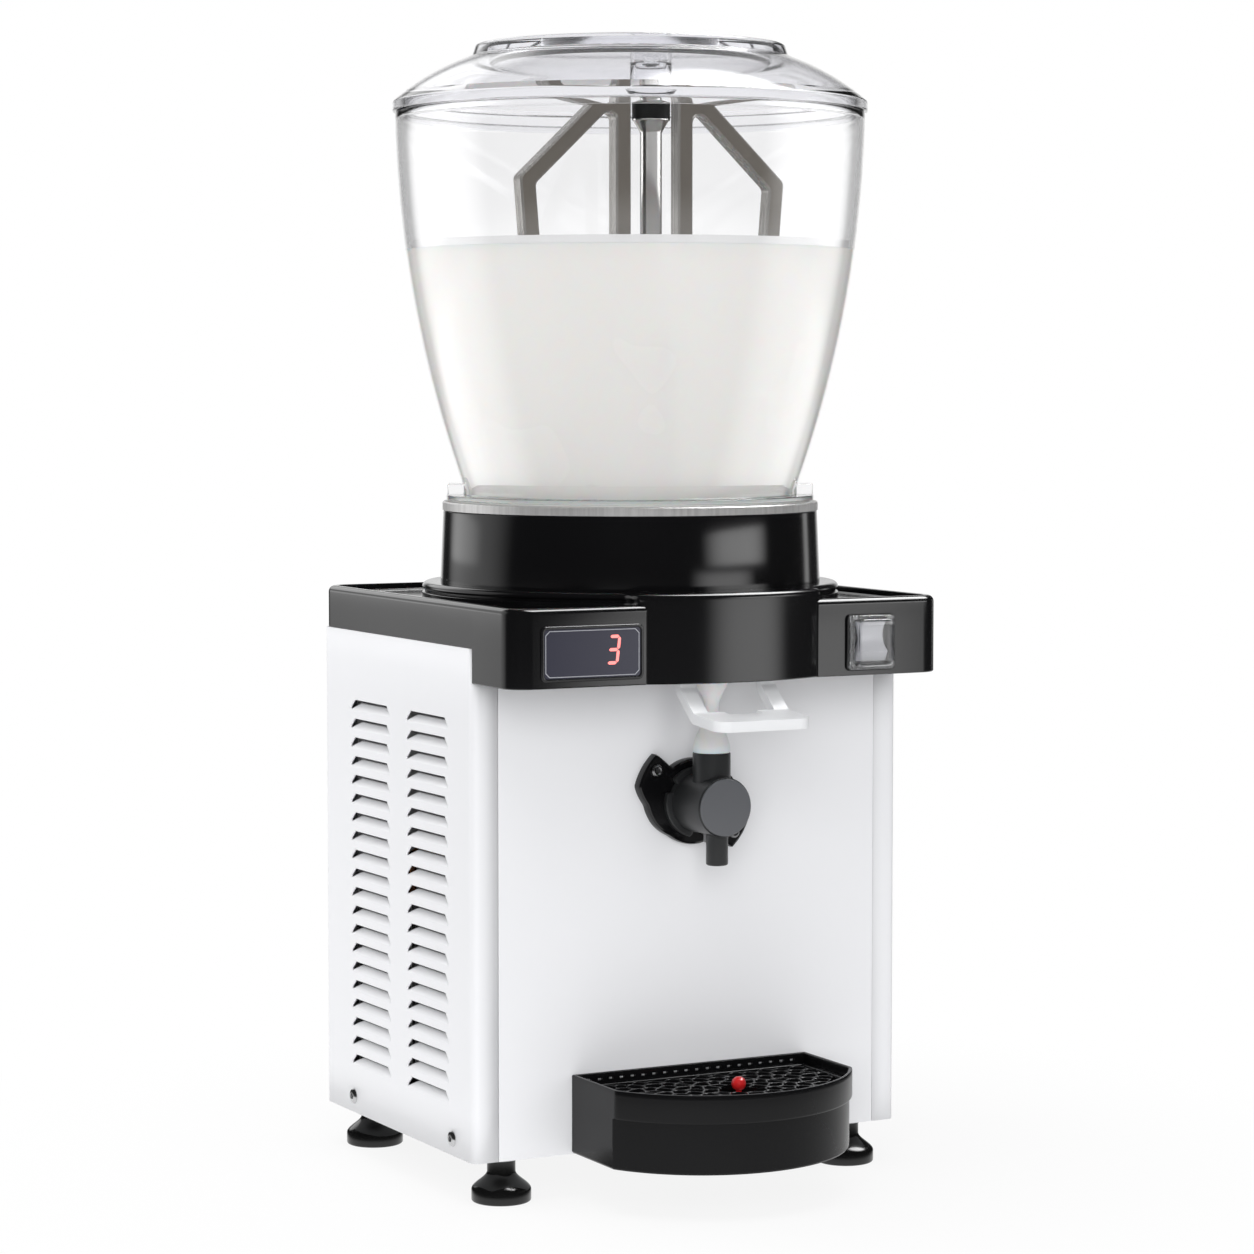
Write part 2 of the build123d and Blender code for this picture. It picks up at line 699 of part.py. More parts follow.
def rear_panel():
    """Flat rear sheet with vents and the cut-out of the mains inlet."""
    x = CABINET_X - PANEL_RETURN - PANEL_SEAM
    panel = block(-x, x, BACK_Y - SHEET, BACK_Y, FOOT_HEIGHT, PANEL_Z1)
    z0 = FOOT_HEIGHT + PAN_FLANGE + SHEET
    for x0 in (-x, x - SHEET):
        panel += block(x0, x0 + SHEET, BACK_Y - TOP_FLANGE, BACK_Y, z0, PANEL_Z1)
    for row in range(VENT_ROWS):
        z1 = PANEL_Z1 - VENT_TOP_GAP - row * VENT_PITCH
        vent = Pos(0, z1) * SlotOverall(VENT_LENGTH, VENT_HEIGHT)
        panel -= face_plate(vent, BACK_Y - SHEET, BACK_Y)
    panel -= face_plate(inlet_sketch(CUTOUT_FIT), BACK_Y - SHEET, BACK_Y)
    return panel - screw_shanks(SCREW_R + SCREW_FIT)


def screw_shanks(r):
    """Shanks of the panel screws, also used to cut their holes."""
    x1 = CABINET_X
    shanks = []
    for y in SIDE_SCREW_PLACES:
        for x0 in (-x1, x1 - SCREW_LENGTH):
            shanks.append(rod_x(y, SIDE_SCREW_Z, x0, x0 + SCREW_LENGTH, r))
    for x in (-REAR_SCREW_X, REAR_SCREW_X):
        shanks.append(rod_y(x, SIDE_SCREW_Z, BACK_Y - SCREW_LENGTH, BACK_Y, r))
    return shanks


def screw_head(r, height):
    """Domed screw head on the plane Z = 0, with a hexagon socket."""
    dome_r = (r * r + height * height) / (2 * height)
    head = Cylinder(r, height, align=BASE) & (Pos(0, 0, height - dome_r) * Sphere(dome_r))
    return head - Pos(0, 0, height / 2) * extrude(RegularPolygon(r / 2, 6), height)


def panel_screws():
    """Button-head screws that hold the side and rear panels to the pan."""
    shanks = screw_shanks(SCREW_R)
    turns = []
    for y in SIDE_SCREW_PLACES:
        turns.append(Pos(-CABINET_X, y, SIDE_SCREW_Z) * Rot(0, -90, 0))
        turns.append(Pos(CABINET_X, y, SIDE_SCREW_Z) * Rot(0, 90, 0))
    for x in (-REAR_SCREW_X, REAR_SCREW_X):
        turns.append(Pos(x, BACK_Y, SIDE_SCREW_Z) * Rot(-90, 0, 0))
    head = screw_head(SCREW_HEAD_R, SCREW_HEAD_HEIGHT)
    return Compound([shank + turn * head for shank, turn in zip(shanks, turns)])


# Top cover and fascia


def cover_plan(inset):
    """Plan of the cover, less an inset."""
    depth = COVER_BACK_Y - POD_Y - 2 * inset
    plan = RectangleRounded(CABINET_WIDTH - 2 * inset, depth, COVER_CORNER_R - inset)
    return Pos(0, (POD_Y + COVER_BACK_Y) / 2) * plan


def cover_post_places():
    """Centres of the posts that stand the cover on the side panels' flanges."""
    x = CABINET_X - COVER_WALL - COVER_POST_R / 2
    return [(sx * x, y) for sx in (-1, 1) for y in (FRONT_Y + COVER_POST_INSET, BACK_Y - COVER_POST_INSET)]


def raise_plan(inset):
    """Plan of the raised ring under the drum with its round boss in front, less an inset."""
    half = BOSS_HALF_WIDTH - inset
    boss = Circle(BOSS_R - inset) & Rectangle(2 * half, BOSS_R, align=(Align.CENTER, Align.MAX))
    return Pos(0, BOWL_Y) * Circle(SHOULDER_R - inset) + Pos(0, BOSS_Y) * boss


def pod_end_x():
    """Place across the machine where the boss's round face meets the pods' flat face."""
    return sqrt(BOSS_R**2 - (BOSS_Y - POD_Y) ** 2)


def top_cover():
    """Moulded cover: pods, boss, sunk deck and raised ring, hollow from below."""
    body = slab(cover_plan(0), FASCIA_Z, RIM_Z)
    body = fillet(edges_at(body, RIM_Z), COVER_EDGE_R)
    body -= slab(cover_plan(DECK_RIM), DECK_Z, RIM_Z)
    plan = raise_plan(0)
    plan = fillet(plan.vertices().filter_by(lambda v: v.Y < BOWL_Y - SHOULDER_R / 2), BOSS_END_R)
    raised = slab(plan, FASCIA_Z, SHOULDER_Z)
    body += fillet(edges_at(raised, SHOULDER_Z), SHOULDER_EDGE_R)
    for x in (-pod_end_x(), pod_end_x()):
        body -= post(x, POD_Y, FASCIA_Z, RIM_Z - COVER_EDGE_R, POD_GROOVE_R)
    body -= block(-CABINET_X, CABINET_X, FRONT_Y, COVER_BACK_Y, FASCIA_Z, PANEL_Z1)
    body -= slab(cover_plan(COVER_WALL), FASCIA_Z, DECK_Z - COVER_WALL)
    body -= slab(raise_plan(COVER_WALL), FASCIA_Z, SHOULDER_Z - COVER_WALL)
    body -= post(0, BOWL_Y, DECK_Z, SHOULDER_Z, COVER_HOLE_R)
    for x, y in cover_post_places():
        body += post(x, y, PANEL_Z1, DECK_Z - COVER_WALL / 2, COVER_POST_R)
    for x in lever_ear_places():
        body += lever_ear(x)
    body -= face_plate(bezel_case_sketch(CUTOUT_FIT), POD_Y, POD_Y + COVER_WALL)
    body -= face_plate(switch_case_sketch(CUTOUT_FIT), POD_Y, POD_Y + COVER_WALL)
    return body


def fascia_floor():
    """Plate under the fascia, with the mouth for the tube and the lever."""
    inset = COVER_WALL + CUTOUT_FIT
    z1 = FASCIA_Z + COVER_WALL
    plan = slab(cover_plan(inset), FASCIA_Z, z1) + slab(raise_plan(inset), FASCIA_Z, z1)
    plan &= block(-CABINET_X, CABINET_X, POD_Y - BOSS_R, FRONT_Y - CUTOUT_FIT, FASCIA_Z, z1)
    half = MOUTH_HALF_WIDTH
    return plan - block(-half, half, POD_Y - BOSS_R, FRONT_Y - MOUTH_REAR_GAP, FASCIA_Z, z1)


# Cold base under the bowl


def pedestal_drum():
    """Tapered drum between the cover and the cold plate, with a seat for the insulation."""
    w = DRUM_WALL
    outline = Polyline(
        (DRUM_FOOT_R, SHOULDER_Z),
        (DRUM_TOP_R, DRUM_Z),
        (DRUM_TOP_R - w, DRUM_Z),
        (DRUM_FOOT_R - w, SHOULDER_Z + w),
        (COVER_HOLE_R, SHOULDER_Z + w),
        (COVER_HOLE_R, SHOULDER_Z),
        close=True,
    )
    return turned(outline, 0, BOWL_Y)


def cold_plate():
    """Stainless floor of the tank with a turned-down band, the outlet hole and the shaft hole."""
    plate = post(0, BOWL_Y, DRUM_Z, TANK_Z, PLATE_R)
    plate -= post(0, BOWL_Y, DRUM_Z, TANK_Z - PLATE_SHEET, PLATE_R - PLATE_SHEET)
    plate -= post(0, OUTLET_Y, DRUM_Z, TANK_Z, OUTLET_R + TUBE_FIT)
    return plate - post(0, AGITATOR_Y, DRUM_Z, TANK_Z, SEAL_NECK_R + TUBE_FIT)


def plate_insulation():
    """Foam block under the cold plate, with ways for the shaft, the outlet and the tubes."""
    z0 = SHOULDER_Z + DRUM_WALL
    foam = post(0, BOWL_Y, z0, INSULATION_Z1, DRUM_TOP_R - DRUM_WALL - INSULATION_GAP)
    foam -= post(0, AGITATOR_Y, z0, INSULATION_Z1, SEAL_NECK_R + INSULATION_GAP)
    foam -= post(0, OUTLET_Y, z0, INSULATION_Z1, OUTLET_R + INSULATION_GAP)
    for x, y in (SUCTION_PLACE, CAPILLARY_PLACE):
        foam -= post(x, y, z0, INSULATION_Z1, COIL_TUBE_R + INSULATION_GAP)
        y0, y1 = y - COIL_TAIL, y + COIL_TAIL
        foam -= block(x - LINE_BEND_R, x + LINE_BEND_R, y0, y1, COIL_Z - COIL_TAIL, INSULATION_Z1)
    return foam


def evaporator_coil():
    """Flat spiral of half turns under the plate, with a tail down from each end."""
    edges = []
    x = COIL_OUTER_R
    for half in range(COIL_HALF_TURNS):
        r = COIL_OUTER_R - half * COIL_STEP
        sign = 1 if half % 2 == 0 else -1
        centre = x - sign * r
        start, end = (x, BOWL_Y, COIL_Z), (centre - sign * r, BOWL_Y, COIL_Z)
        edges.append(ThreePointArc(start, (centre, BOWL_Y + sign * r, COIL_Z), end))
        x = end[0]
    tails = []
    for (x0, y0), (x1, y1) in ((COIL_OUT, SUCTION_PLACE), (COIL_IN, CAPILLARY_PLACE)):
        tail = ((x0, y0, COIL_Z), (x1, y1, COIL_Z), (x1, y1, COIL_TAIL_Z))
        tails.append(FilletPolyline(*tail, radius=LINE_BEND_R))
    path = Wire([*tails[0].edges(), *edges, *tails[1].edges()])
    start = Plane((*SUCTION_PLACE, COIL_TAIL_Z), z_dir=(0, 0, 1))
    return sweep(start * Circle(COIL_TUBE_R), path=path)


def bowl_gasket():
    """Flat rubber ring between the bowl's foot and the plate."""
    return post(0, BOWL_Y, TANK_Z, BOWL_Z, GASKET_OUTER_R) - post(0, BOWL_Y, TANK_Z, BOWL_Z, GASKET_INNER_R)


def agitator_seal():
    """Shaft seal that stands in the plate's hole."""
    z0 = TANK_Z - SEAL_NECK
    seal = post(0, AGITATOR_Y, TANK_Z, TANK_Z + SEAL_RISE, SEAL_R)
    seal += post(0, AGITATOR_Y, z0, TANK_Z, SEAL_NECK_R)
    return seal - post(0, AGITATOR_Y, z0, TANK_Z + SEAL_RISE, SHAFT_R + SHAFT_FIT)


def deck_beam():
    """Steel beam across the cabinet that carries the gear motor."""
    x = CABINET_X - COVER_WALL - BEAM_GAP
    z0, z1 = PANEL_Z1, PANEL_Z1 + BEAM_SHEET
    beam = block(-x, x, AGITATOR_Y - BEAM_DEPTH / 2, AGITATOR_Y + BEAM_DEPTH / 2, z0, z1)
    beam -= post(0, AGITATOR_Y, z0, z1, GEAR_NOSE_R + NOSE_GAP)
    for px, py in cover_post_places():
        beam -= post(px, py, z0, z1, COVER_POST_R + BEAM_GAP)
    beam -= post(*SUCTION_PLACE, z0, z1, LINE_R + LINE_HOLE_GAP)
    return beam - post(*CAPILLARY_PLACE, z0, z1, LINE_R + LINE_HOLE_GAP)


def gear_motor():
    """Reduction gearbox under the beam with its motor behind and a nose round the drive socket."""
    z1 = PANEL_Z1
    y0, y1 = AGITATOR_Y - GEARBOX_DEPTH / 2, AGITATOR_Y + GEARBOX_DEPTH / 2
    box = block(-GEARBOX_WIDTH / 2, GEARBOX_WIDTH / 2, y0, y1, z1 - GEARBOX_HEIGHT, z1)
    box = fillet(box.edges().filter_by(Axis.Z), PADDLE_CORNER_R)
    box += post(0, AGITATOR_Y, z1, z1 + GEAR_NOSE, GEAR_NOSE_R)
    box += rod_y(0, z1 - BEAM_GAP - GEAR_MOTOR_R, y1 - SHEET, y1 + GEAR_MOTOR_LENGTH, GEAR_MOTOR_R)
    return box - post(0, AGITATOR_Y, z1 - DRIVE_DEPTH, z1 + GEAR_NOSE, SHAFT_R + SHAFT_FIT)


# Bowl, lid and agitator


def bowl():
    """Clear bowl: flared wall on a flat flange, open at both ends, with two lugs."""
    (r1, _), (r2, z2), (r3, z3) = bowl_points()
    w = BOWL_WALL
    z0 = BOWL_Z
    outline = ThreePointArc(
        (bowl_radius(BOWL_FLANGE), z0 + BOWL_FLANGE), (r2, z0 + z2), (r3, z0 + z3)
    )
    outline += Line((r3, z0 + z3), (r3 - w, z0 + z3))
    outline += ThreePointArc((r3 - w, z0 + z3), (r2 - w, z0 + z2), (r1 - w, z0))
    outline += Polyline(
        (r1 - w, z0),
        (BOWL_FLANGE_R, z0),
        (BOWL_FLANGE_R, z0 + BOWL_FLANGE),
        (bowl_radius(BOWL_FLANGE), z0 + BOWL_FLANGE),
    )
    body = turned(outline, 0, BOWL_Y)
    for turn in (0, 180):
        lug = block(
            BOWL_FLANGE_R - BOWL_LUG_LENGTH, BOWL_FLANGE_R - BOWL_WALL / 2,
            -BOWL_LUG_WIDTH / 2, BOWL_LUG_WIDTH / 2, z0 + BOWL_FLANGE / 2, z0 + BOWL_FLANGE + BOWL_LUG_RISE,
        )
        body += Pos(0, BOWL_Y, 0) * Rot(0, 0, BOWL_LUG_ANGLE + turn) * lug
    return body


def lid():
    """Clear domed lid: thick edge, skirt inside the bowl, dome, raised ridge and sunk plate."""
    w = LID_WALL
    skirt_r = bowl_radius(BOWL_HEIGHT - LID_SKIRT, BOWL_WALL) - LID_FIT
    ridge_r = LID_DOME_R - LID_RIDGE_RISE / 3
    plate_r = ridge_r - LID_RIDGE_WIDTH
    rim_r = LID_R - LID_EDGE / 3
    mid_r = (rim_r + LID_DOME_R) / 2
    mid_z = (LID_EDGE_Z + LID_DOME_Z) / 2
    outline = Polyline(
        (skirt_r, BOWL_TOP - LID_SKIRT),
        (skirt_r, LID_Z),
        (LID_R, LID_Z),
        (LID_R, LID_EDGE_Z - LID_EDGE / 3),
        (rim_r, LID_EDGE_Z),
    )
    outline += ThreePointArc(
        (rim_r, LID_EDGE_Z), (mid_r + LID_DOME_BULGE, mid_z + LID_DOME_BULGE), (LID_DOME_R, LID_DOME_Z)
    )
    outline += Polyline(
        (LID_DOME_R, LID_DOME_Z),
        (ridge_r, LID_RIDGE_Z),
        (plate_r + w, LID_RIDGE_Z),
        (plate_r, LID_PLATE_Z),
        (0, LID_PLATE_Z),
        (0, LID_PLATE_Z - w),
        (plate_r - w, LID_PLATE_Z - w),
        (plate_r + w / 2, LID_RIDGE_Z - w),
        (ridge_r - w / 2, LID_RIDGE_Z - w),
        (LID_DOME_R - w, LID_DOME_Z - w),
    )
    outline += ThreePointArc(
        (LID_DOME_R - w, LID_DOME_Z - w),
        (mid_r + LID_DOME_BULGE - w, mid_z + LID_DOME_BULGE - w),
        (skirt_r - w, LID_EDGE_Z - w),
    )
    outline += Polyline(
        (skirt_r - w, LID_EDGE_Z - w), (skirt_r - w, BOWL_TOP - LID_SKIRT), (skirt_r, BOWL_TOP - LID_SKIRT)
    )
    body = turned(outline, 0, BOWL_Y)
    z0, z1 = CAP_Z1 + LID_SLEEVE_GAP, LID_PLATE_Z - w / 2
    sleeve = Polyline(
        (LID_SLEEVE_R, z1),
        (LID_SLEEVE_R, z0 + LID_SLEEVE_FLARE),
        (LID_SLEEVE_R + LID_SLEEVE_FLARE, z0),
        (LID_SLEEVE_R + LID_SLEEVE_FLARE - w, z0),
        (LID_SLEEVE_R - w, z0 + LID_SLEEVE_FLARE),
        (LID_SLEEVE_R - w, z1),
        close=True,
    )
    body += turned(sleeve, 0, AGITATOR_Y)
    return body - post(0, AGITATOR_Y, z0, LID_PLATE_Z, LID_VENT_R)


def agitator_shaft():
    """Drive shaft with a flared collar under the cap."""
    z0, z1 = PANEL_Z1 - DRIVE_DEPTH + SHEET, CAP_Z0 - COLLAR_HEIGHT
    shaft = post(0, AGITATOR_Y, z0, z1, SHAFT_R)
    return shaft + Pos(0, AGITATOR_Y, z1) * Cone(SHAFT_R, CAP_R, COLLAR_HEIGHT, align=BASE)


def agitator_cap():
    """Screwed cap that closes the shaft's top."""
    cap = post(0, AGITATOR_Y, CAP_Z0, CAP_Z1, CAP_R)
    return chamfer(edges_at(cap, CAP_Z1), PADDLE_BEVEL)


def agitator_hub():
    """Block on the shaft that holds both paddles."""
    x, y = HUB_WIDTH / 2, HUB_DEPTH / 2
    hub = block(-x, x, AGITATOR_Y - y, AGITATOR_Y + y, HUB_Z0, HUB_Z0 + HUB_HEIGHT)
    return hub - post(0, AGITATOR_Y, HUB_Z0, HUB_Z0 + HUB_HEIGHT, SHAFT_R + SHAFT_FIT)


def paddle_points(inset):
    """Corners of the right paddle in X and Z, less an inset all round.

    The outer bar follows the bowl with a named gap at its shoulder and at its foot.
    """
    x0 = HUB_WIDTH / 2
    z1 = CAP_Z1 - SHEET
    shoulder_z = z1 - PADDLE_SHOULDER_DROP
    foot_z = HUB_Z0 + PADDLE_FOOT_RISE
    ahead = AGITATOR_AHEAD + BOWL_WALL
    shoulder_x = bowl_radius(shoulder_z - BOWL_Z) - ahead - PADDLE_TOP_GAP
    foot_x = bowl_radius(foot_z - BOWL_Z) - ahead - PADDLE_FOOT_GAP
    heel_x = foot_x - PADDLE_HEEL
    corners = [
        (x0, HUB_Z0 + SHEET), (heel_x, HUB_Z0 + SHEET), (foot_x, foot_z),
        (shoulder_x, shoulder_z), (x0 + PADDLE_TOP_WIDTH, z1), (x0, z1),
    ]
    return inset_polygon(corners, inset)


def inset_polygon(corners, inset):
    """Corners of a polygon, listed anticlockwise, with each side moved inwards."""
    sides = []
    for (ax, ay), (bx, by) in zip(corners, corners[1:] + corners[:1]):
        length = hypot(bx - ax, by - ay)
        nx, ny = -(by - ay) / length, (bx - ax) / length
        sides.append((nx, ny, nx * ax + ny * ay + inset))
    moved = []
    for (n1x, n1y, d1), (n2x, n2y, d2) in zip(sides[-1:] + sides[:-1], sides):
        det = n1x * n2y - n1y * n2x
        moved.append(((d1 * n2y - d2 * n1y) / det, (d2 * n1x - d1 * n2x) / det))
    return moved


def paddle_right():
    """Loop-shaped paddle: a bar of even width round an open window, with bevelled edges."""
    frame = make_face(Polyline(*paddle_points(0), close=True))
    frame = fillet(frame.vertices()[1:4], PADDLE_CORNER_R)
    window = make_face(Polyline(*paddle_points(PADDLE_BAR), close=True))
    window = fillet(window.vertices(), PADDLE_CORNER_R)
    y0, y1 = AGITATOR_Y - PADDLE_THICKNESS / 2, AGITATOR_Y + PADDLE_THICKNESS / 2
    solid = face_plate(frame - window, y0, y1)
    faces = [f for f in solid.faces() if abs(f.normal_at().Y) > 0.99]
    return chamfer([e for f in faces for e in f.edges()], PADDLE_BEVEL)


# Outlet, pinch tube and foaming tap


def outlet_points():
    """Run of the outlet pipe from the plate to the pinch tube."""
    turn_z = TANK_Z - OUTLET_RUN
    return (
        (0, OUTLET_Y, TANK_Z),
        (0, OUTLET_Y, turn_z),
        (0, TUBE_Y, turn_z - OUTLET_TURN_DROP),
        (0, TUBE_Y, tube_top() - TUBE_SOCKET),
    )


def tube_top():
    """Height of the pinch tube's upper end, inside the boss."""
    return FASCIA_Z + TUBE_RISE_ABOVE_FASCIA


def outlet_spigot():
    """Bent pipe that takes the drink from the tank's floor to the pinch tube."""
    points = outlet_points()
    return pipe(points, OUTLET_BEND_R, OUTLET_R) - pipe(points, OUTLET_BEND_R, OUTLET_R - OUTLET_WALL)


def pinch_tube():
    """Soft tube, drawn in to a flat neck, round at both ends."""
    dome_z, neck_z, funnel_z = STUB_Z + TUBE_DOME, STUB_Z + TUBE_NECK_RISE, STUB_Z + TUBE_FUNNEL_RISE
    tube = post(0, TUBE_Y, STUB_Z, dome_z, TUBE_R) + post(0, TUBE_Y, funnel_z, tube_top(), TUBE_TOP_R)
    for end_z, end_r in ((dome_z, TUBE_R), (funnel_z, TUBE_TOP_R)):
        sections = []
        for k in range(TUBE_STEPS + 1):
            t = k / TUBE_STEPS
            ease = t * t * (3 - 2 * t)
            half_width = end_r + (TUBE_NECK_HALF_WIDTH - end_r) * ease
            half_depth = end_r + (TUBE_NECK_HALF_DEPTH - end_r) * ease
            z = end_z + (neck_z - end_z) * t
            sections.append(Pos(0, TUBE_Y, z) * Ellipse(half_width, half_depth))
        tube += loft(sections, ruled=True)
    tube -= post(0, TUBE_Y, STUB_Z, STUB_Z + NIPPLE_RISE + SEAT_GAP, NIPPLE_R + TUBE_FIT)
    return tube - post(0, TUBE_Y, tube_top() - TUBE_SOCKET, tube_top(), OUTLET_R + TUBE_FIT)


def foaming_chamber():
    """Round chamber with an inlet stub on top, a nozzle below and a bayonet ring behind."""
    w = CHAMBER_WALL
    body = rod_y(0, CHAMBER_Z, CHAMBER_Y0, CHAMBER_Y1, CHAMBER_R)
    body += rod_y(0, CHAMBER_Z, CHAMBER_Y1 - CHAMBER_RING, CHAMBER_Y1, CHAMBER_RING_R)
    body += post(0, TUBE_Y, CHAMBER_Z, STUB_Z, STUB_R)
    body += post(0, TUBE_Y, STUB_Z, STUB_Z + NIPPLE_RISE, NIPPLE_R)
    nozzle_z = CHAMBER_Z - NOZZLE_DROP
    nozzle = post(0, NOZZLE_Y, nozzle_z, CHAMBER_Z, NOZZLE_R)
    body += fillet(edges_at(nozzle, nozzle_z), NOZZLE_EDGE_R)
    body += post(0, FRONT_Y - DRAIN_AHEAD, CHAMBER_Z - DRAIN_DROP, CHAMBER_Z, DRAIN_R)
    body -= rod_y(0, CHAMBER_Z, CHAMBER_Y0 + w, CHAMBER_Y1, CHAMBER_R - w)
    body -= post(0, TUBE_Y, CHAMBER_Z, STUB_Z + NIPPLE_RISE, NIPPLE_R - w)
    body -= post(0, NOZZLE_Y, nozzle_z, CHAMBER_Z, NOZZLE_R - NOZZLE_WALL)
    for lug in range(CHAMBER_LUGS):
        notch = block(
            -CHAMBER_LUG_WIDTH / 2, CHAMBER_LUG_WIDTH / 2, CHAMBER_Y1 - CHAMBER_RING, CHAMBER_Y1,
            CHAMBER_R + SEAT_GAP, CHAMBER_RING_R,
        )
        body -= Pos(0, 0, CHAMBER_Z) * Rot(0, 360 / CHAMBER_LUGS * (lug + 0.5), 0) * notch
    return body


def tap_screw_places():
    """Centres of the two tap screws in X and Z, on opposite lobes."""
    a = radians(TAP_SCREW_ANGLE)
    dx, dz = TAP_SCREW_PCD_R * cos(a), TAP_SCREW_PCD_R * sin(a)
    return (dx, CHAMBER_Z + dz), (-dx, CHAMBER_Z - dz)


def chamber_flange():
    """Lobed socket plate on the front panel that takes the chamber's bayonet."""
    tip = polar(FLANGE_LOBE_R, FLANGE_LOBE_START_ANGLE)
    lobe_mid = polar(FLANGE_LOBE_R, (FLANGE_LOBE_START_ANGLE + FLANGE_LOBE_END_ANGLE) / 2)
    lobe_end = polar(FLANGE_LOBE_R, FLANGE_LOBE_END_ANGLE)
    tail = polar(FLANGE_TAIL_R, FLANGE_TAIL_START_ANGLE)
    tail_mid = polar(FLANGE_TAIL_MID_R, (FLANGE_TAIL_START_ANGLE + FLANGE_TAIL_END_ANGLE) / 2)
    tail_end = polar(FLANGE_R, FLANGE_TAIL_END_ANGLE)
    lobe = make_face(
        Line((0, 0), tip)
        + ThreePointArc(tip, lobe_mid, lobe_end)
        + Line(lobe_end, tail)
        + ThreePointArc(tail, tail_mid, tail_end)
        + Line(tail_end, (0, 0))
    )
    plan = Circle(FLANGE_R) + lobe + Rot(0, 0, 180) * lobe
    plate = face_plate(Pos(0, CHAMBER_Z) * plan, CHAMBER_Y1, FRONT_Y)
    plate += rod_y(0, CHAMBER_Z, CHAMBER_Y1 - FLANGE_SPIGOT, CHAMBER_Y1, FLANGE_SPIGOT_R)
    plate -= rod_y(0, CHAMBER_Z, CHAMBER_Y1 - FLANGE_SPIGOT, FRONT_Y, DRIVE_R + SHAFT_FIT)
    for x, z in tap_screw_places():
        plate -= rod_y(x, z, CHAMBER_Y1, FRONT_Y, TAP_SCREW_R + SCREW_FIT)
    return plate


def polar(r, angle):
    """Point at a radius and an angle in degrees."""
    return r * cos(radians(angle)), r * sin(radians(angle))


def flange_screws():
    """Two screws through the flange and the panel into the motor's plate."""
    head = screw_head(TAP_SCREW_HEAD_R, TAP_SCREW_HEAD)
    screws = []
    for x, z in tap_screw_places():
        shank = rod_y(x, z, CHAMBER_Y1, CHAMBER_Y1 + TAP_SCREW_LENGTH, TAP_SCREW_R)
        screws.append(shank + Pos(x, CHAMBER_Y1, z) * Rot(90, 0, 0) * head)
    return Compound(screws)


def chamber_seal():
    """Rubber ring between the flange's spigot and the chamber."""
    mid = CHAMBER_Y1 - FLANGE_SPIGOT / 2
    y0, y1 = mid - SEAL_RING_WIDTH / 2, mid + SEAL_RING_WIDTH / 2
    ring = rod_y(0, CHAMBER_Z, y0, y1, CHAMBER_R - CHAMBER_WALL - SEAL_RING_FIT)
    return ring - rod_y(0, CHAMBER_Z, y0, y1, FLANGE_SPIGOT_R + SEAL_RING_FIT)


def impeller():
    """Vaned whipping wheel on its drive shaft."""
    y0 = CHAMBER_Y0 + CHAMBER_WALL + IMPELLER_FRONT_GAP
    y1 = y0 + IMPELLER_LENGTH
    wheel = rod_y(0, CHAMBER_Z, y0, y1, IMPELLER_HUB_R)
    wheel += rod_y(0, CHAMBER_Z, y1, FRONT_Y + SHEET + MOTOR_BORE - SEAT_GAP, DRIVE_R)
    vane = block(0, IMPELLER_R, y0, y1, -VANE / 2, VANE / 2)
    for k in range(IMPELLER_VANES):
        wheel += Pos(0, 0, CHAMBER_Z) * Rot(0, 360 / IMPELLER_VANES * k, 0) * vane
    return wheel


def foamer_motor():
    """Motor behind the front panel that spins the impeller."""
    y0 = FRONT_Y + SHEET
    half = MOTOR_PLATE / 2
    motor = block(-half, half, y0, y0 + MOTOR_PLATE_SHEET, CHAMBER_Z - half, CHAMBER_Z + half)
    motor += rod_y(0, CHAMBER_Z, y0 + MOTOR_PLATE_SHEET, y0 + MOTOR_LENGTH, MOTOR_R)
    motor -= rod_y(0, CHAMBER_Z, y0, y0 + MOTOR_BORE, DRIVE_R + SHAFT_FIT)
    for x, z in tap_screw_places():
        motor -= rod_y(x, z, y0, y0 + MOTOR_PLATE_SHEET, TAP_SCREW_R + SCREW_FIT)
    return motor


# Lever


def lever_ear_places():
    """Inner edges of the two ears that hold the lever's pin."""
    outer = LEVER_ARM_INNER + LEVER_ARM_WIDTH + PIN_EAR_GAP
    return outer, -outer - PIN_EAR


def lever_ear(x0):
    """Ear inside the boss, hung from the deck, with the pin's hole."""
    r = LEVER_HUB_R
    ear = block(x0, x0 + PIN_EAR, LEVER_Y - r, LEVER_Y + r, LEVER_Z, SHOULDER_Z - COVER_WALL)
    ear += rod_x(LEVER_Y, LEVER_Z, x0, x0 + PIN_EAR, r)
    return ear - rod_x(LEVER_Y, LEVER_Z, x0, x0 + PIN_EAR, LEVER_PIN_R + LEVER_PIN_FIT)


def lever_pin():
    """Pin through both ears and the lever."""
    x = LEVER_ARM_INNER + LEVER_ARM_WIDTH + PIN_EAR_GAP + PIN_EAR
    return rod_x(LEVER_Y, LEVER_Z, -x, x, LEVER_PIN_R)


def lever_spring():
    """Return spring round the pin between the arms."""
    half = SPRING_LENGTH / 2
    sleeve = rod_x(LEVER_Y, LEVER_Z, -half, half, SPRING_R)
    return sleeve - rod_x(LEVER_Y, LEVER_Z, -half, half, LEVER_PIN_R + LEVER_PIN_FIT)


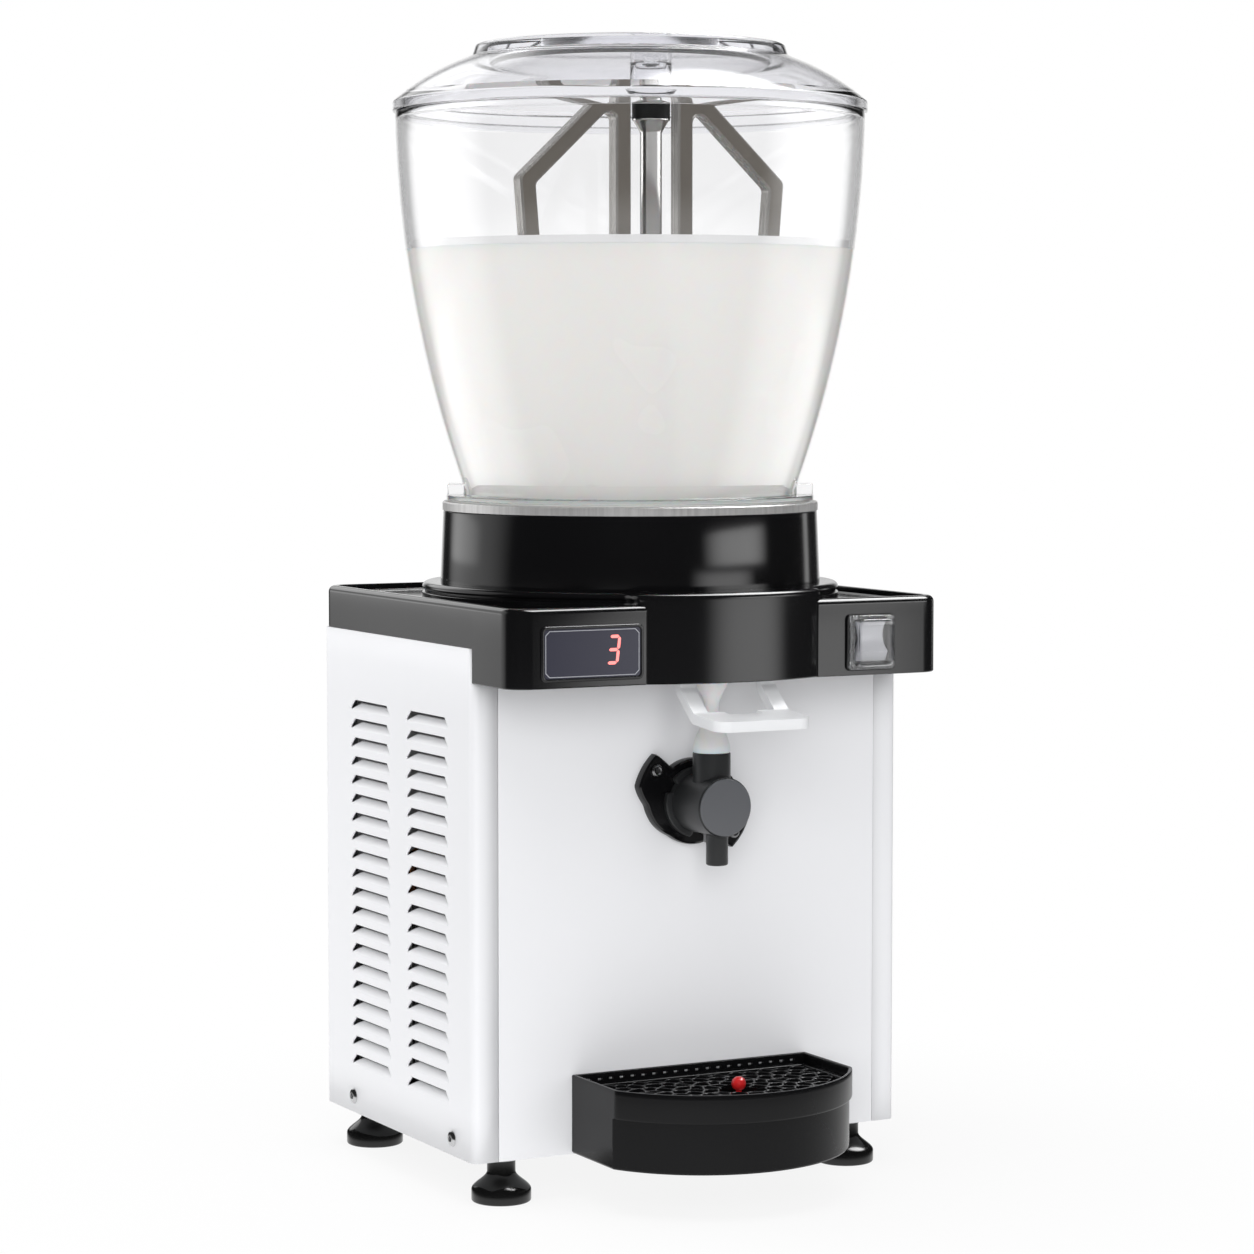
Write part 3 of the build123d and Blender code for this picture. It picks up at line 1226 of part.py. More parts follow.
def lever():
    """Pull lever: two cranked arms from the pin down to a notched finger plate."""
    knee = (FRONT_Y - LEVER_KNEE_AHEAD, FASCIA_Z - LEVER_KNEE_DROP)
    heel = (FRONT_Y - LEVER_HEEL_AHEAD, FASCIA_Z - LEVER_HEEL_DROP)
    tip = (FRONT_Y - LEVER_TIP_AHEAD, FASCIA_Z - LEVER_TIP_DROP)
    pivot = (LEVER_Y, LEVER_Z)
    outer_x = LEVER_ARM_INNER + LEVER_ARM_WIDTH
    arm = bar(pivot, knee, LEVER_ARM) + bar(knee, heel, LEVER_ARM)
    arm += Pos(*pivot) * Circle(LEVER_HUB_R)
    for corner in (knee, heel):
        arm += Pos(*corner) * Circle(LEVER_ARM / 2)
    body = side_plate(arm, LEVER_ARM_INNER, outer_x)
    body += side_plate(arm, -outer_x, -LEVER_ARM_INNER)
    plate = bar(heel, tip, LEVER_PLATE) + Pos(*tip) * Circle(LEVER_PLATE / 2)
    plate = side_plate(plate + Pos(*heel) * Circle(LEVER_PLATE / 2), -outer_x, outer_x)
    front = tip[0] - LEVER_PLATE / 2
    outline = RectangleRounded(2 * outer_x, 2 * (LEVER_Y - front), LEVER_CORNER_R)
    low = tip[1] - LEVER_PLATE
    plate &= slab(Pos(0, LEVER_Y) * outline, low, LEVER_Z)
    half = LEVER_NOTCH_HALF_WIDTH
    plate -= block(-half, half, heel[0] - LEVER_NOTCH, LEVER_Y, low, LEVER_Z)
    body += plate
    return body - rod_x(LEVER_Y, LEVER_Z, -outer_x, outer_x, LEVER_PIN_R + LEVER_PIN_FIT)


def bar(a, b, width):
    """Straight bar of even width between two points of a sketch."""
    length = hypot(b[0] - a[0], b[1] - a[1])
    angle = degrees(atan2(b[1] - a[1], b[0] - a[0]))
    return Pos((a[0] + b[0]) / 2, (a[1] + b[1]) / 2) * Rot(0, 0, angle) * Rectangle(length, width)


# Display


def bezel_case_sketch(margin):
    """Outline of the display's case behind the pod's face, in X and Z."""
    width = WINDOW_WIDTH + 2 * margin
    return Pos(BEZEL_X, POD_Z) * Rectangle(width, WINDOW_HEIGHT + 2 * margin)


def display_bezel():
    """Display frame on the pod's face, with a case behind it."""
    frame = Pos(BEZEL_X, POD_Z) * RectangleRounded(BEZEL_WIDTH, BEZEL_HEIGHT, BEZEL_CORNER_R)
    y0 = POD_Y - BEZEL_PROUD
    bezel = face_plate(frame, y0, POD_Y)
    bezel = chamfer(edges_at_y(bezel, y0), BEZEL_PROUD / 2)
    bezel += face_plate(bezel_case_sketch(0), POD_Y, POD_Y + CASE_DEPTH)
    return bezel - face_plate(bezel_case_sketch(-CASE_WALL), y0, POD_Y + CASE_DEPTH)


def edges_at_y(solid, y):
    """Edges of a solid that lie at one place along Y."""
    boxes = [(e, e.bounding_box()) for e in solid.edges()]
    return [e for e, box in boxes if abs(box.min.Y - y) < 1e-4 and box.size.Y < 1e-4]


def display_glass():
    """Tinted window of the display."""
    inset = CASE_WALL + GLASS_FIT
    width, height = WINDOW_WIDTH - 2 * inset, WINDOW_HEIGHT - 2 * inset
    pane = Pos(BEZEL_X, POD_Z) * RectangleRounded(width, height, WINDOW_CORNER_R)
    y0 = POD_Y - BEZEL_PROUD / 2
    return face_plate(pane, y0, y0 + GLASS)


def controller_board():
    """Circuit board behind the window with its digit block."""
    inset = CASE_WALL + GLASS_FIT
    y0 = POD_Y + BOARD_BACK
    board = face_plate(bezel_case_sketch(-inset), y0, y0 + BOARD)
    digits = Pos(BEZEL_X, POD_Z) * Rectangle(DIGIT_BLOCK_WIDTH, DIGIT_BLOCK_HEIGHT)
    return board + face_plate(digits, POD_Y - BEZEL_PROUD / 2 + GLASS + GLASS_FIT, y0)


# Switch


def switch_case_sketch(margin):
    """Outline of the switch's case behind the pod's face, in X and Z."""
    width = ROCKER_WIDTH + 2 * (ROCKER_SIDE_GAP + SWITCH_WALL + margin)
    height = ROCKER_HEIGHT + 2 * (ROCKER_END_GAP + SWITCH_WALL + margin)
    return Pos(SWITCH_X, POD_Z) * Rectangle(width, height)


def rocker_axis_y():
    """Place of the rocker's axis along Y."""
    return POD_Y + ROCKER_AXIS_INSET


def switch_housing():
    """Switch frame on the pod's face with a case that holds the rocker's pivots."""
    frame = Pos(SWITCH_X, POD_Z) * RectangleRounded(SWITCH_WIDTH, SWITCH_HEIGHT, SWITCH_CORNER_R)
    y0 = POD_Y - SWITCH_PROUD
    housing = face_plate(frame, y0, POD_Y)
    housing += face_plate(switch_case_sketch(0), POD_Y, POD_Y + SWITCH_DEPTH)
    housing -= face_plate(switch_case_sketch(-SWITCH_WALL), y0, POD_Y + SWITCH_DEPTH - SWITCH_WALL)
    half = ROCKER_WIDTH / 2 + ROCKER_SIDE_GAP + SWITCH_WALL
    return housing - rod_x(rocker_axis_y(), POD_Z, SWITCH_X - half, SWITCH_X + half, ROCKER_PIN_R + SHAFT_FIT)


def rocker():
    """Dished rocker with pivot pins, at rest with its upper end pressed."""
    h, r = ROCKER_HEIGHT / 2, ROCKER_REACH
    outline = ThreePointArc((-r, h), (-r + ROCKER_DISH, 0), (-r, -h))
    outline += Polyline(
        (-r, -h), (0, -h + ROCKER_DISH), (ROCKER_HEEL, -ROCKER_HEEL),
        (ROCKER_HEEL, ROCKER_HEEL), (0, h - ROCKER_DISH), (-r, h),
    )
    half = ROCKER_WIDTH / 2
    body = side_plate(make_face(outline), -half, half)
    body += rod_x(0, 0, -half - SWITCH_WALL, half + SWITCH_WALL, ROCKER_PIN_R)
    return Pos(SWITCH_X, rocker_axis_y(), POD_Z) * Rot(-ROCKER_TILT, 0, 0) * body


def switch_boot():
    """Clear splash boot over the rocker, seated on the frame."""
    y1 = POD_Y - SWITCH_PROUD
    width = ROCKER_WIDTH + 2 * (ROCKER_SIDE_GAP + BOOT_MARGIN)
    height = ROCKER_HEIGHT + 2 * (ROCKER_END_GAP + BOOT_MARGIN)
    place = Pos(SWITCH_X, POD_Z)
    inset = 2 * BOOT_WALL
    flange = RectangleRounded(SWITCH_WIDTH - inset, SWITCH_HEIGHT - inset, SWITCH_CORNER_R)
    boot = face_plate(place * flange, y1 - BOOT_FLANGE, y1)
    y0 = y1 - BOOT_FLANGE - BOOT_RISE
    boot += face_plate(place * RectangleRounded(width, height, BOOT_CORNER_R), y0, y1)
    hollow = RectangleRounded(width - inset, height - inset, BOOT_CORNER_R - BOOT_WALL)
    return boot - face_plate(place * hollow, y0 + BOOT_WALL, y1)


# Drip tray


def tray_plan(inset):
    """Plan of the tray, less an inset: straight sides and a round front."""
    half = TRAY_HALF_WIDTH - inset
    r = TRAY_FRONT_R - inset
    centre_y = FRONT_Y - TRAY_REACH + TRAY_FRONT_R
    front = Pos(0, centre_y) * Circle(r)
    sides = Pos(0, TRAY_Y - inset) * Rectangle(2 * half, 2 * TRAY_REACH, align=(Align.CENTER, Align.MAX))
    behind = Rectangle(4 * half, 2 * TRAY_REACH, align=(Align.CENTER, Align.MIN))
    plan = sides & (front + Pos(0, centre_y) * behind)
    corners = [v for v in plan.vertices() if v.Y < TRAY_Y - inset - 1 and abs(abs(v.X) - half) < 1e-3]
    return fillet(corners, TRAY_CORNER_R - inset / 2)


def tray_tongues(margin):
    """Flat tongues behind the tray that slide into the front panel, grown by a margin."""
    m = margin
    for x in (-TONGUE_X, TONGUE_X):
        yield block(
            x - TONGUE_WIDTH / 2 - m, x + TONGUE_WIDTH / 2 + m,
            TRAY_Y - TRAY_STEP - TRAY_WALL / 2, FRONT_Y + TONGUE_LENGTH, TONGUE_Z - m, TONGUE_Z + TONGUE + m,
        )


def drip_tray():
    """Tray with a proud upper band, a ledge for the grid, drain slots and two tongues."""
    step_z = TRAY_Z1 - TRAY_BAND
    tray = slab(tray_plan(TRAY_STEP), TRAY_Z0, step_z) + slab(tray_plan(0), step_z, TRAY_Z1)
    tray -= slab(tray_plan(TRAY_WALL), GRID_Z0, TRAY_Z1)
    tray -= slab(tray_plan(TRAY_WALL + GRID_LEDGE), TRAY_Z0 + TRAY_FLOOR, TRAY_Z1)
    z1 = TRAY_Z1 - TRAY_SLOT_DROP
    slots = []
    for k in range(TRAY_SLOTS):
        x = (k - (TRAY_SLOTS - 1) / 2) * TRAY_SLOT_PITCH
        half = TRAY_SLOT_WIDTH / 2
        slots.append(block(x - half, x + half, TRAY_Y - TRAY_WALL, TRAY_Y, z1, z1 + TRAY_SLOT_HEIGHT))
    return tray - slots + list(tray_tongues(0))


def pebble_seeds():
    """Staggered seed points, each moved a little by a fixed pair of waves."""
    rows = ceil(2 * TRAY_REACH / PEBBLE_PITCH)
    columns = ceil(2 * TRAY_HALF_WIDTH / PEBBLE_PITCH)
    seeds = []
    for j in range(-1, rows):
        for i in range(-columns // 2 - 1, columns // 2 + 2):
            x = (i + 0.5 * (j % 2)) * PEBBLE_PITCH * 1.1
            y = TRAY_Y - j * PEBBLE_PITCH * 0.8
            wave = 12.9898 * i + 78.233 * j
            seeds.append((x + PEBBLE_JITTER * sin(wave * 1.7), y + PEBBLE_JITTER * sin(wave * 2.3 + 1)))
    return seeds


def nearest_cell(seed, seeds):
    """Polygon of the points nearer to one seed than to any other, clipped seed by seed."""
    reach = 2 * PEBBLE_PITCH
    x, y = seed
    cell = [(x - reach, y - reach), (x + reach, y - reach), (x + reach, y + reach), (x - reach, y + reach)]
    for ox, oy in seeds:
        dx, dy = ox - x, oy - y
        gap = hypot(dx, dy)
        if 0 < gap < 2 * reach:
            limit = gap / 2 - PEBBLE_RIB / 2
            cell = clip(cell, (x, y), (dx / gap, dy / gap), limit)
    return cell


def clip(cell, origin, normal, limit):
    """Part of a polygon within a limit along a normal from an origin."""
    def height(p):
        return (p[0] - origin[0]) * normal[0] + (p[1] - origin[1]) * normal[1] - limit

    kept = []
    for a, b in zip(cell, cell[1:] + cell[:1]):
        ha, hb = height(a), height(b)
        if ha <= 0:
            kept.append(a)
        if ha * hb < 0:
            t = ha / (ha - hb)
            kept.append((a[0] + t * (b[0] - a[0]), a[1] + t * (b[1] - a[1])))
    return kept


def grid_holes():
    """Rounded pebble holes that lie wholly inside the grid's outline, apart from the float's hole."""
    seeds = pebble_seeds()
    half = TRAY_HALF_WIDTH - TRAY_WALL - GRID_FIT - GRID_RIM
    r = TRAY_FRONT_R - TRAY_WALL - GRID_FIT - GRID_RIM
    centre_y = FRONT_Y - TRAY_REACH + TRAY_FRONT_R
    float_r = FLOAT_BALL_R + FLOAT_HOLE_GAP + PEBBLE_RIB
    holes = []
    for seed in seeds:
        cell = nearest_cell(seed, seeds)
        mids = [((a[0] + b[0]) / 2, (a[1] + b[1]) / 2) for a, b in zip(cell, cell[1:] + cell[:1])]
        inside = all(
            abs(x) < half and y < TRAY_Y - TRAY_WALL - GRID_FIT - GRID_RIM
            and (y > centre_y or hypot(x, y - centre_y) < r)
            and hypot(x - FLOAT_X, y - FLOAT_Y) > float_r
            for x, y in cell
        )
        if inside and len(mids) > 3:
            holes.append(Wire([Spline(*mids, periodic=True)]))
    holes.append(Wire([Edge.make_circle(FLOAT_BALL_R + FLOAT_HOLE_GAP, Plane((FLOAT_X, FLOAT_Y, 0)))]))
    return holes


def drip_grid():
    """Pebble grid that lies on the tray's ledge."""
    outline = tray_plan(TRAY_WALL + GRID_FIT).faces()[0].outer_wire()
    return slab(Face(outline, grid_holes()), GRID_Z0, GRID_Z1)


def float_indicator():
    """Float with a red ball that rises through the grid when the tray fills."""
    z0 = TRAY_Z0 + TRAY_FLOOR + SEAT_GAP
    ball_z = GRID_Z1 + FLOAT_BALL_SHOW
    body = post(FLOAT_X, FLOAT_Y, z0, z0 + FLOAT_HEIGHT, FLOAT_R)
    body += post(FLOAT_X, FLOAT_Y, z0, ball_z, FLOAT_STEM_R)
    return body + Pos(FLOAT_X, FLOAT_Y, ball_z) * Sphere(FLOAT_BALL_R)


# Refrigeration


def compressor():
    """Hermetic compressor: domed can on a foot plate."""
    half = COMPRESSOR_PLATE / 2
    x, y, z0 = COMPRESSOR_X, COMPRESSOR_Y, COMPRESSOR_Z0
    can = post(x, y, z0, COMPRESSOR_Z1, COMPRESSOR_R)
    can = fillet(edges_at(can, COMPRESSOR_Z1), COMPRESSOR_DOME_R)
    return can + block(x - half, x + half, y - half, y + half, z0 - COMPRESSOR_PLATE_SHEET, z0)


def compressor_grommets():
    """Rubber mounts under the compressor's plate."""
    offset = COMPRESSOR_PLATE / 2 - GROMMET_INSET
    z0 = PAN_TOP
    mounts = []
    for dx in (-offset, offset):
        for dy in (-offset, offset):
            mounts.append(post(COMPRESSOR_X + dx, COMPRESSOR_Y + dy, z0, z0 + GROMMET_HEIGHT, GROMMET_R))
    return Compound(mounts)


def condenser():
    """Fin pack on straight tubes between two end plates, behind the left louvres."""
    y0, y1 = CONDENSER_Y - CONDENSER_DEPTH / 2, CONDENSER_Y + CONDENSER_DEPTH / 2
    z0, z1 = CONDENSER_Z0, CONDENSER_Z1
    core = block(CONDENSER_X0, CONDENSER_X1, y0, y0 + CONDENSER_END, z0, z1)
    pieces = [block(CONDENSER_X0, CONDENSER_X1, y1 - CONDENSER_END, y1, z0, z1)]
    pitch = (CONDENSER_DEPTH - CONDENSER_END) / (CONDENSER_FINS + 1)
    for k in range(1, CONDENSER_FINS + 1):
        y = y0 + CONDENSER_END / 2 + k * pitch
        pieces.append(block(CONDENSER_X0, CONDENSER_X1, y - CONDENSER_FIN / 2, y + CONDENSER_FIN / 2, z0, z1))
    x = (CONDENSER_X0 + CONDENSER_X1) / 2
    for k in range(CONDENSER_TUBES):
        z = z0 + (k + 0.5) * CONDENSER_HEIGHT / CONDENSER_TUBES
        pieces.append(rod_y(x, z, y0, y1, CONDENSER_TUBE_R))
    return core + pieces


def fan_shroud():
    """Upright plate against the condenser with a round duct for the fan."""
    half = CONDENSER_DEPTH / 2 + SHROUD_MARGIN
    z1 = CONDENSER_Z1 + SHROUD_MARGIN
    plate = block(CONDENSER_X1, SHROUD_X1, CONDENSER_Y - half, CONDENSER_Y + half, PAN_TOP, z1)
    plate += rod_x(CONDENSER_Y, FAN_Z, SHROUD_X1, SHROUD_X1 + DUCT_DEPTH, DUCT_R + DUCT_WALL)
    return plate - rod_x(CONDENSER_Y, FAN_Z, CONDENSER_X1, SHROUD_X1 + DUCT_DEPTH, DUCT_R)


def cooling_fan():
    """Bladed fan with its shaft."""
    x0 = FAN_X - FAN_HUB / 2
    fan = rod_x(CONDENSER_Y, FAN_Z, x0, x0 + FAN_HUB, FAN_HUB_R)
    fan += rod_x(CONDENSER_Y, FAN_Z, x0, FAN_MOTOR_X + FAN_HUB, FAN_SHAFT_R)
    blade = Pos(0, 0, FAN_HUB_R - SHEET) * Box(
        FAN_BLADE, FAN_BLADE_WIDTH, FAN_R - FAN_HUB_R, align=(Align.CENTER, Align.CENTER, Align.MIN)
    )
    for k in range(FAN_BLADES):
        turn = Rot(360 / FAN_BLADES * k, 0, 0) * Rot(0, 0, FAN_BLADE_PITCH)
        fan += Pos(FAN_X, CONDENSER_Y, FAN_Z) * turn * blade
    return fan & rod_x(CONDENSER_Y, FAN_Z, x0 - FAN_HUB, FAN_MOTOR_X + FAN_HUB, FAN_R)


def fan_motor():
    """Fan motor on three arms that stand on the shroud."""
    x0 = FAN_MOTOR_X
    motor = rod_x(CONDENSER_Y, FAN_Z, x0, x0 + FAN_MOTOR_LENGTH, FAN_MOTOR_R)
    leg_r = DUCT_R + DUCT_WALL + SHEET
    for k in range(FAN_ARMS):
        arm = block(x0, x0 + FAN_ARM, -FAN_ARM / 2, FAN_ARM / 2, FAN_MOTOR_R - SHEET, leg_r + FAN_ARM)
        arm += block(SHROUD_X1, x0 + FAN_ARM, -FAN_ARM / 2, FAN_ARM / 2, leg_r, leg_r + FAN_ARM)
        motor += Pos(0, CONDENSER_Y, FAN_Z) * Rot(360 / FAN_ARMS * (k + 0.5), 0, 0) * arm
    return motor - rod_x(CONDENSER_Y, FAN_Z, x0, x0 + FAN_HUB + SEAT_GAP, FAN_SHAFT_R + SHAFT_FIT)


def condenser_port_x():
    """Place of the condenser's ports across the machine."""
    return (CONDENSER_X0 + CONDENSER_X1) / 2


def filter_drier():
    """Drier with the liquid line that feeds it from the condenser."""
    z0 = PAN_TOP + DRIER_RISE
    low_z = PAN_TOP + LIQUID_RISE
    x, y1 = condenser_port_x(), CONDENSER_Y + CONDENSER_DEPTH / 2
    points = ((x, y1, low_z), (x, DRIER_Y, low_z), (DRIER_X, DRIER_Y, low_z), (DRIER_X, DRIER_Y, z0))
    line = pipe(points, LIQUID_BEND_R, LINE_R)
    return line + post(DRIER_X, DRIER_Y, z0, z0 + DRIER_LENGTH, DRIER_R)


def capillary_tube():
    """Thin tube from the drier to the evaporator's inner end."""
    z0 = PAN_TOP + DRIER_RISE + DRIER_LENGTH
    z1 = PANEL_Z1 - GEARBOX_HEIGHT - CAPILLARY_GAP
    x, y = CAPILLARY_PLACE
    points = ((DRIER_X, DRIER_Y, z0), (DRIER_X, DRIER_Y, z1), (x, y, z1), (x, y, COIL_TAIL_Z))
    return pipe(points, LINE_BEND_R, CAPILLARY_R)


def discharge_line():
    """Hot gas line from the compressor to the condenser's top."""
    z1 = COMPRESSOR_Z1 + DISCHARGE_RISE
    x0 = COMPRESSOR_X - COMPRESSOR_DOME_R / 2
    x1 = condenser_port_x()
    y = COMPRESSOR_Y
    points = ((x0, y, COMPRESSOR_Z1), (x0, y, z1), (x1, y, z1), (x1, y, CONDENSER_Z1))
    return pipe(points, LINE_BEND_R, LINE_R)


def suction_line():
    """Cold gas line from the evaporator's outer end back to the compressor."""
    x1, y1 = SUCTION_PLACE
    x0, y0 = COMPRESSOR_X + COMPRESSOR_DOME_R / 2, COMPRESSOR_Y
    z1 = COMPRESSOR_Z1 + SUCTION_RISE
    points = ((x0, y0, COMPRESSOR_Z1), (x0, y0, z1), (x1, y1, z1), (x1, y1, COIL_TAIL_Z))
    return pipe(points, LINE_BEND_R, LINE_R)


def inlet_sketch(margin):
    """Outline of the mains inlet's body, in X and Z."""
    width, height = INLET_BODY_WIDTH + 2 * margin, INLET_BODY_HEIGHT + 2 * margin
    return Pos(INLET_X, FOOT_HEIGHT + INLET_RISE) * Rectangle(width, height)


def power_inlet():
    """Mains inlet with a flange outside the rear panel, a socket and three blades."""
    z = FOOT_HEIGHT + INLET_RISE
    y1 = BACK_Y + INLET_FLANGE
    y0 = y1 - INLET_DEPTH
    flange = Pos(INLET_X, z) * RectangleRounded(INLET_FLANGE_WIDTH, INLET_FLANGE_HEIGHT, SWITCH_CORNER_R)
    inlet = face_plate(flange, BACK_Y, y1) + face_plate(inlet_sketch(0), y0, BACK_Y)
    inlet -= face_plate(inlet_sketch(-INLET_WALL), y0 + INLET_WALL, y1)
    w, t = INLET_PIN_WIDTH / 2, INLET_PIN / 2
    side_x = 1.75 * INLET_PIN_WIDTH
    for x, dz in ((0, INLET_PIN), (-side_x, -INLET_PIN), (side_x, -INLET_PIN)):
        px = INLET_X + x
        pin_y0, pin_y1 = y0 + INLET_WALL / 2, y0 + INLET_WALL + INLET_PIN_LENGTH
        inlet += block(px - w, px + w, pin_y0, pin_y1, z + dz - t, z + dz + t)
    return inlet


NODES = {
    "base_pan": base_pan,
    "foot_bushes": foot_bushes,
    "left_panel": left_panel,
    "right_panel": lambda: mirrored_x(left_panel()),
    "front_panel": front_panel,
    "rear_panel": rear_panel,
    "panel_screws": panel_screws,
    "top_cover": top_cover,
    "fascia_floor": fascia_floor,
    "pedestal_drum": pedestal_drum,
    "cold_plate": cold_plate,
    "plate_insulation": plate_insulation,
    "evaporator_coil": evaporator_coil,
    "bowl_gasket": bowl_gasket,
    "agitator_seal": agitator_seal,
    "deck_beam": deck_beam,
    "gear_motor": gear_motor,
    "bowl": bowl,
    "lid": lid,
    "agitator_shaft": agitator_shaft,
    "agitator_cap": agitator_cap,
    "agitator_hub": agitator_hub,
    "paddle_right": paddle_right,
    "paddle_left": lambda: mirrored_x(paddle_right()),
    "outlet_spigot": outlet_spigot,
    "pinch_tube": pinch_tube,
    "foaming_chamber": foaming_chamber,
    "chamber_flange": chamber_flange,
    "flange_screws": flange_screws,
    "chamber_seal": chamber_seal,
    "impeller": impeller,
    "foamer_motor": foamer_motor,
    "lever": lever,
    "lever_pin": lever_pin,
    "lever_spring": lever_spring,
    "display_bezel": display_bezel,
    "display_glass": display_glass,
    "controller_board": controller_board,
    "switch_housing": switch_housing,
    "switch_boot": switch_boot,
    "rocker": rocker,
    "drip_tray": drip_tray,
    "drip_grid": drip_grid,
    "float_indicator": float_indicator,
    "compressor": compressor,
    "compressor_grommets": compressor_grommets,
    "condenser": condenser,
    "fan_shroud": fan_shroud,
    "cooling_fan": cooling_fan,
    "fan_motor": fan_motor,
    "filter_drier": filter_drier,
    "capillary_tube": capillary_tube,
    "discharge_line": discharge_line,
    "suction_line": suction_line,
    "power_inlet": power_inlet,
}
for corner, place in FOOT_PLACES.items():
    NODES["foot_" + corner] = lambda place=place: foot(place)

os.makedirs("parts", exist_ok=True)
for name, make in NODES.items():
    export_step(make(), f"parts/{name}.step")
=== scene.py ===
"""Ayran dispenser on a white stage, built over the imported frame.

Every new piece is a surface worked out with numpy in millimetres in the row frame, and
turned into a mesh in metres with its object at the origin.
"""

from __future__ import annotations

import json
import logging
import math
from dataclasses import dataclass
from enum import Enum

import bpy
import numpy as np
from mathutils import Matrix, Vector

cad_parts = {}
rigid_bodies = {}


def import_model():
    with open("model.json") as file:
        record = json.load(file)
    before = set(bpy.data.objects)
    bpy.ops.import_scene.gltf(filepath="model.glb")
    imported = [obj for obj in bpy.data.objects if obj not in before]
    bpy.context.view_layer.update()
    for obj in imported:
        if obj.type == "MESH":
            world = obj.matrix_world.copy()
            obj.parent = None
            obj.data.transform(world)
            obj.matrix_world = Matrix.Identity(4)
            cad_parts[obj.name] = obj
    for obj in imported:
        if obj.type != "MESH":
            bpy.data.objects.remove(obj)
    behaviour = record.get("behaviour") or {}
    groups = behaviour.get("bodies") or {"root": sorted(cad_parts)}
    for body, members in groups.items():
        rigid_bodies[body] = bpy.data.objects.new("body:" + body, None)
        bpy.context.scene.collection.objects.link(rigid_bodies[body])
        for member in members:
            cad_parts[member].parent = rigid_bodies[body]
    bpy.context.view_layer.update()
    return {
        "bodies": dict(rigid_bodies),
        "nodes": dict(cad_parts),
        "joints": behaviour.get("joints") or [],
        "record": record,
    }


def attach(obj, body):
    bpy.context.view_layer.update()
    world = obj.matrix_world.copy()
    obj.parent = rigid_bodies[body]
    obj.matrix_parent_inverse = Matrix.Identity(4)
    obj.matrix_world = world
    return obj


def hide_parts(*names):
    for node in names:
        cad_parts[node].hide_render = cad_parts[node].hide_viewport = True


LOG = logging.getLogger("ayran")
Array = np.ndarray
Socket = bpy.types.NodeSocket
MM = 0.001

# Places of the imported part, in millimetres
FRONT_Y, BACK_Y = -61.95, 164.05
HALF_X = 150.0
FOOT_Z, PANEL_TOP = 28.0, 342.0
FASCIA_Z, RIM_Z, DECK_Z, SHOULDER_Z = 321.0, 369.0, 364.5, 375.5
POD_Y, COVER_BACK_Y = -115.95, 168.05
BOWL_Y, AGITATOR_Y = 18.75, -9.25
BOWL_AXIS = (0.0, BOWL_Y)
DRUM_Z, TANK_Z, BOWL_Z, BOWL_TOP = 421.0, 426.5, 427.5, 671.5
POD_Z = 341.5
CHAMBER_Z, CHAMBER_Y0, CHAMBER_Y1 = 242.5, -107.45, -67.95
TUBE_Y, NOZZLE_Y = -88.95, -95.95
LEVER_Y, LEVER_Z = -107.95, 335.0
FLOAT_X, FLOAT_Y = 1.0, FRONT_Y - 60

# The bowl's outer radius at its foot, belly and rim, and their heights above the foot
BOWL_RADII = (103.0, 133.7, 148.6)
BOWL_HEIGHTS = (0.0, 107.2, 244.0)

# Segments of what is turned about the bowl's axis
BOWL_STEPS = 192


# Surfaces


@dataclass
class Surface:
    """A mesh in millimetres: points and the corner numbers of its faces."""

    points: Array
    faces: list[list[int]]

    def joined(self, *others: Surface) -> Surface:
        """This surface and others as one, with the others' corner numbers moved up.

        Args:
            others: surfaces to add.

        Returns:
            One surface with all the points and faces.
        """
        points, faces, start = [self.points], list(self.faces), len(self.points)
        for other in others:
            points.append(other.points)
            faces.extend([[c + start for c in face] for face in other.faces])
            start += len(other.points)
        return Surface(np.concatenate(points), faces)

    def outward(self) -> Surface:
        """The closed surface with faces turned outwards.

        The enclosed volume is the sum over triangles of a . (b x c) / 6; if it is
        negative, every face is reversed.

        Returns:
            This surface, or one with its faces reversed.
        """
        corners = np.array([[f[0], f[k], f[k + 1]] for f in self.faces for k in range(1, len(f) - 1)])
        a, b, c = (self.points[corners[:, k]] for k in range(3))
        if np.einsum("ij,ij->i", a, np.cross(b, c)).sum() < 0:
            return Surface(self.points, [face[::-1] for face in self.faces])
        return self


def quads(rows: int, columns: int, wrap_rows: bool = False, wrap_columns: bool = True) -> Array:
    """Corner numbers of a grid's quads, row by row.

    Args:
        rows: number of rows of points.
        columns: points in each row.
        wrap_rows: join the last row to the first.
        wrap_columns: join the last column to the first.

    Returns:
        An array of four corner numbers per quad.
    """
    i = np.arange(rows if wrap_rows else rows - 1)[:, None]
    j = np.arange(columns if wrap_columns else columns - 1)[None, :]
    row, next_row = i * columns, (i + 1) % rows * columns
    after = (j + 1) % columns
    corners = np.broadcast_arrays(row + j, row + after, next_row + after, next_row + j)
    return np.stack(corners, -1).reshape(-1, 4)


def skin(rings: Array, loop: bool = False) -> Surface:
    """Closed skin over rings of points.

    Ring i, point j is joined to ring i + 1, point j. A loop joins the last ring to the
    first; otherwise both end rings are closed with fans to their mean points.

    Args:
        rings: array of rings, points and three coordinates.
        loop: join the last ring to the first.

    Returns:
        The closed surface with faces outwards.
    """
    rows, columns, _ = rings.shape
    faces = quads(rows, columns, wrap_rows=loop).tolist()
    points = rings.reshape(-1, 3)
    if not loop:
        centres = np.stack([rings[0].mean(0), rings[-1].mean(0)])
        a = np.arange(columns)
        b = (a + 1) % columns
        last = (rows - 1) * columns
        first_fan = np.stack([b, a, np.full(columns, len(points))], -1)
        last_fan = np.stack([last + a, last + b, np.full(columns, len(points) + 1)], -1)
        faces += first_fan.tolist() + last_fan.tolist()
        points = np.concatenate([points, centres])
    return Surface(points, faces).outward()


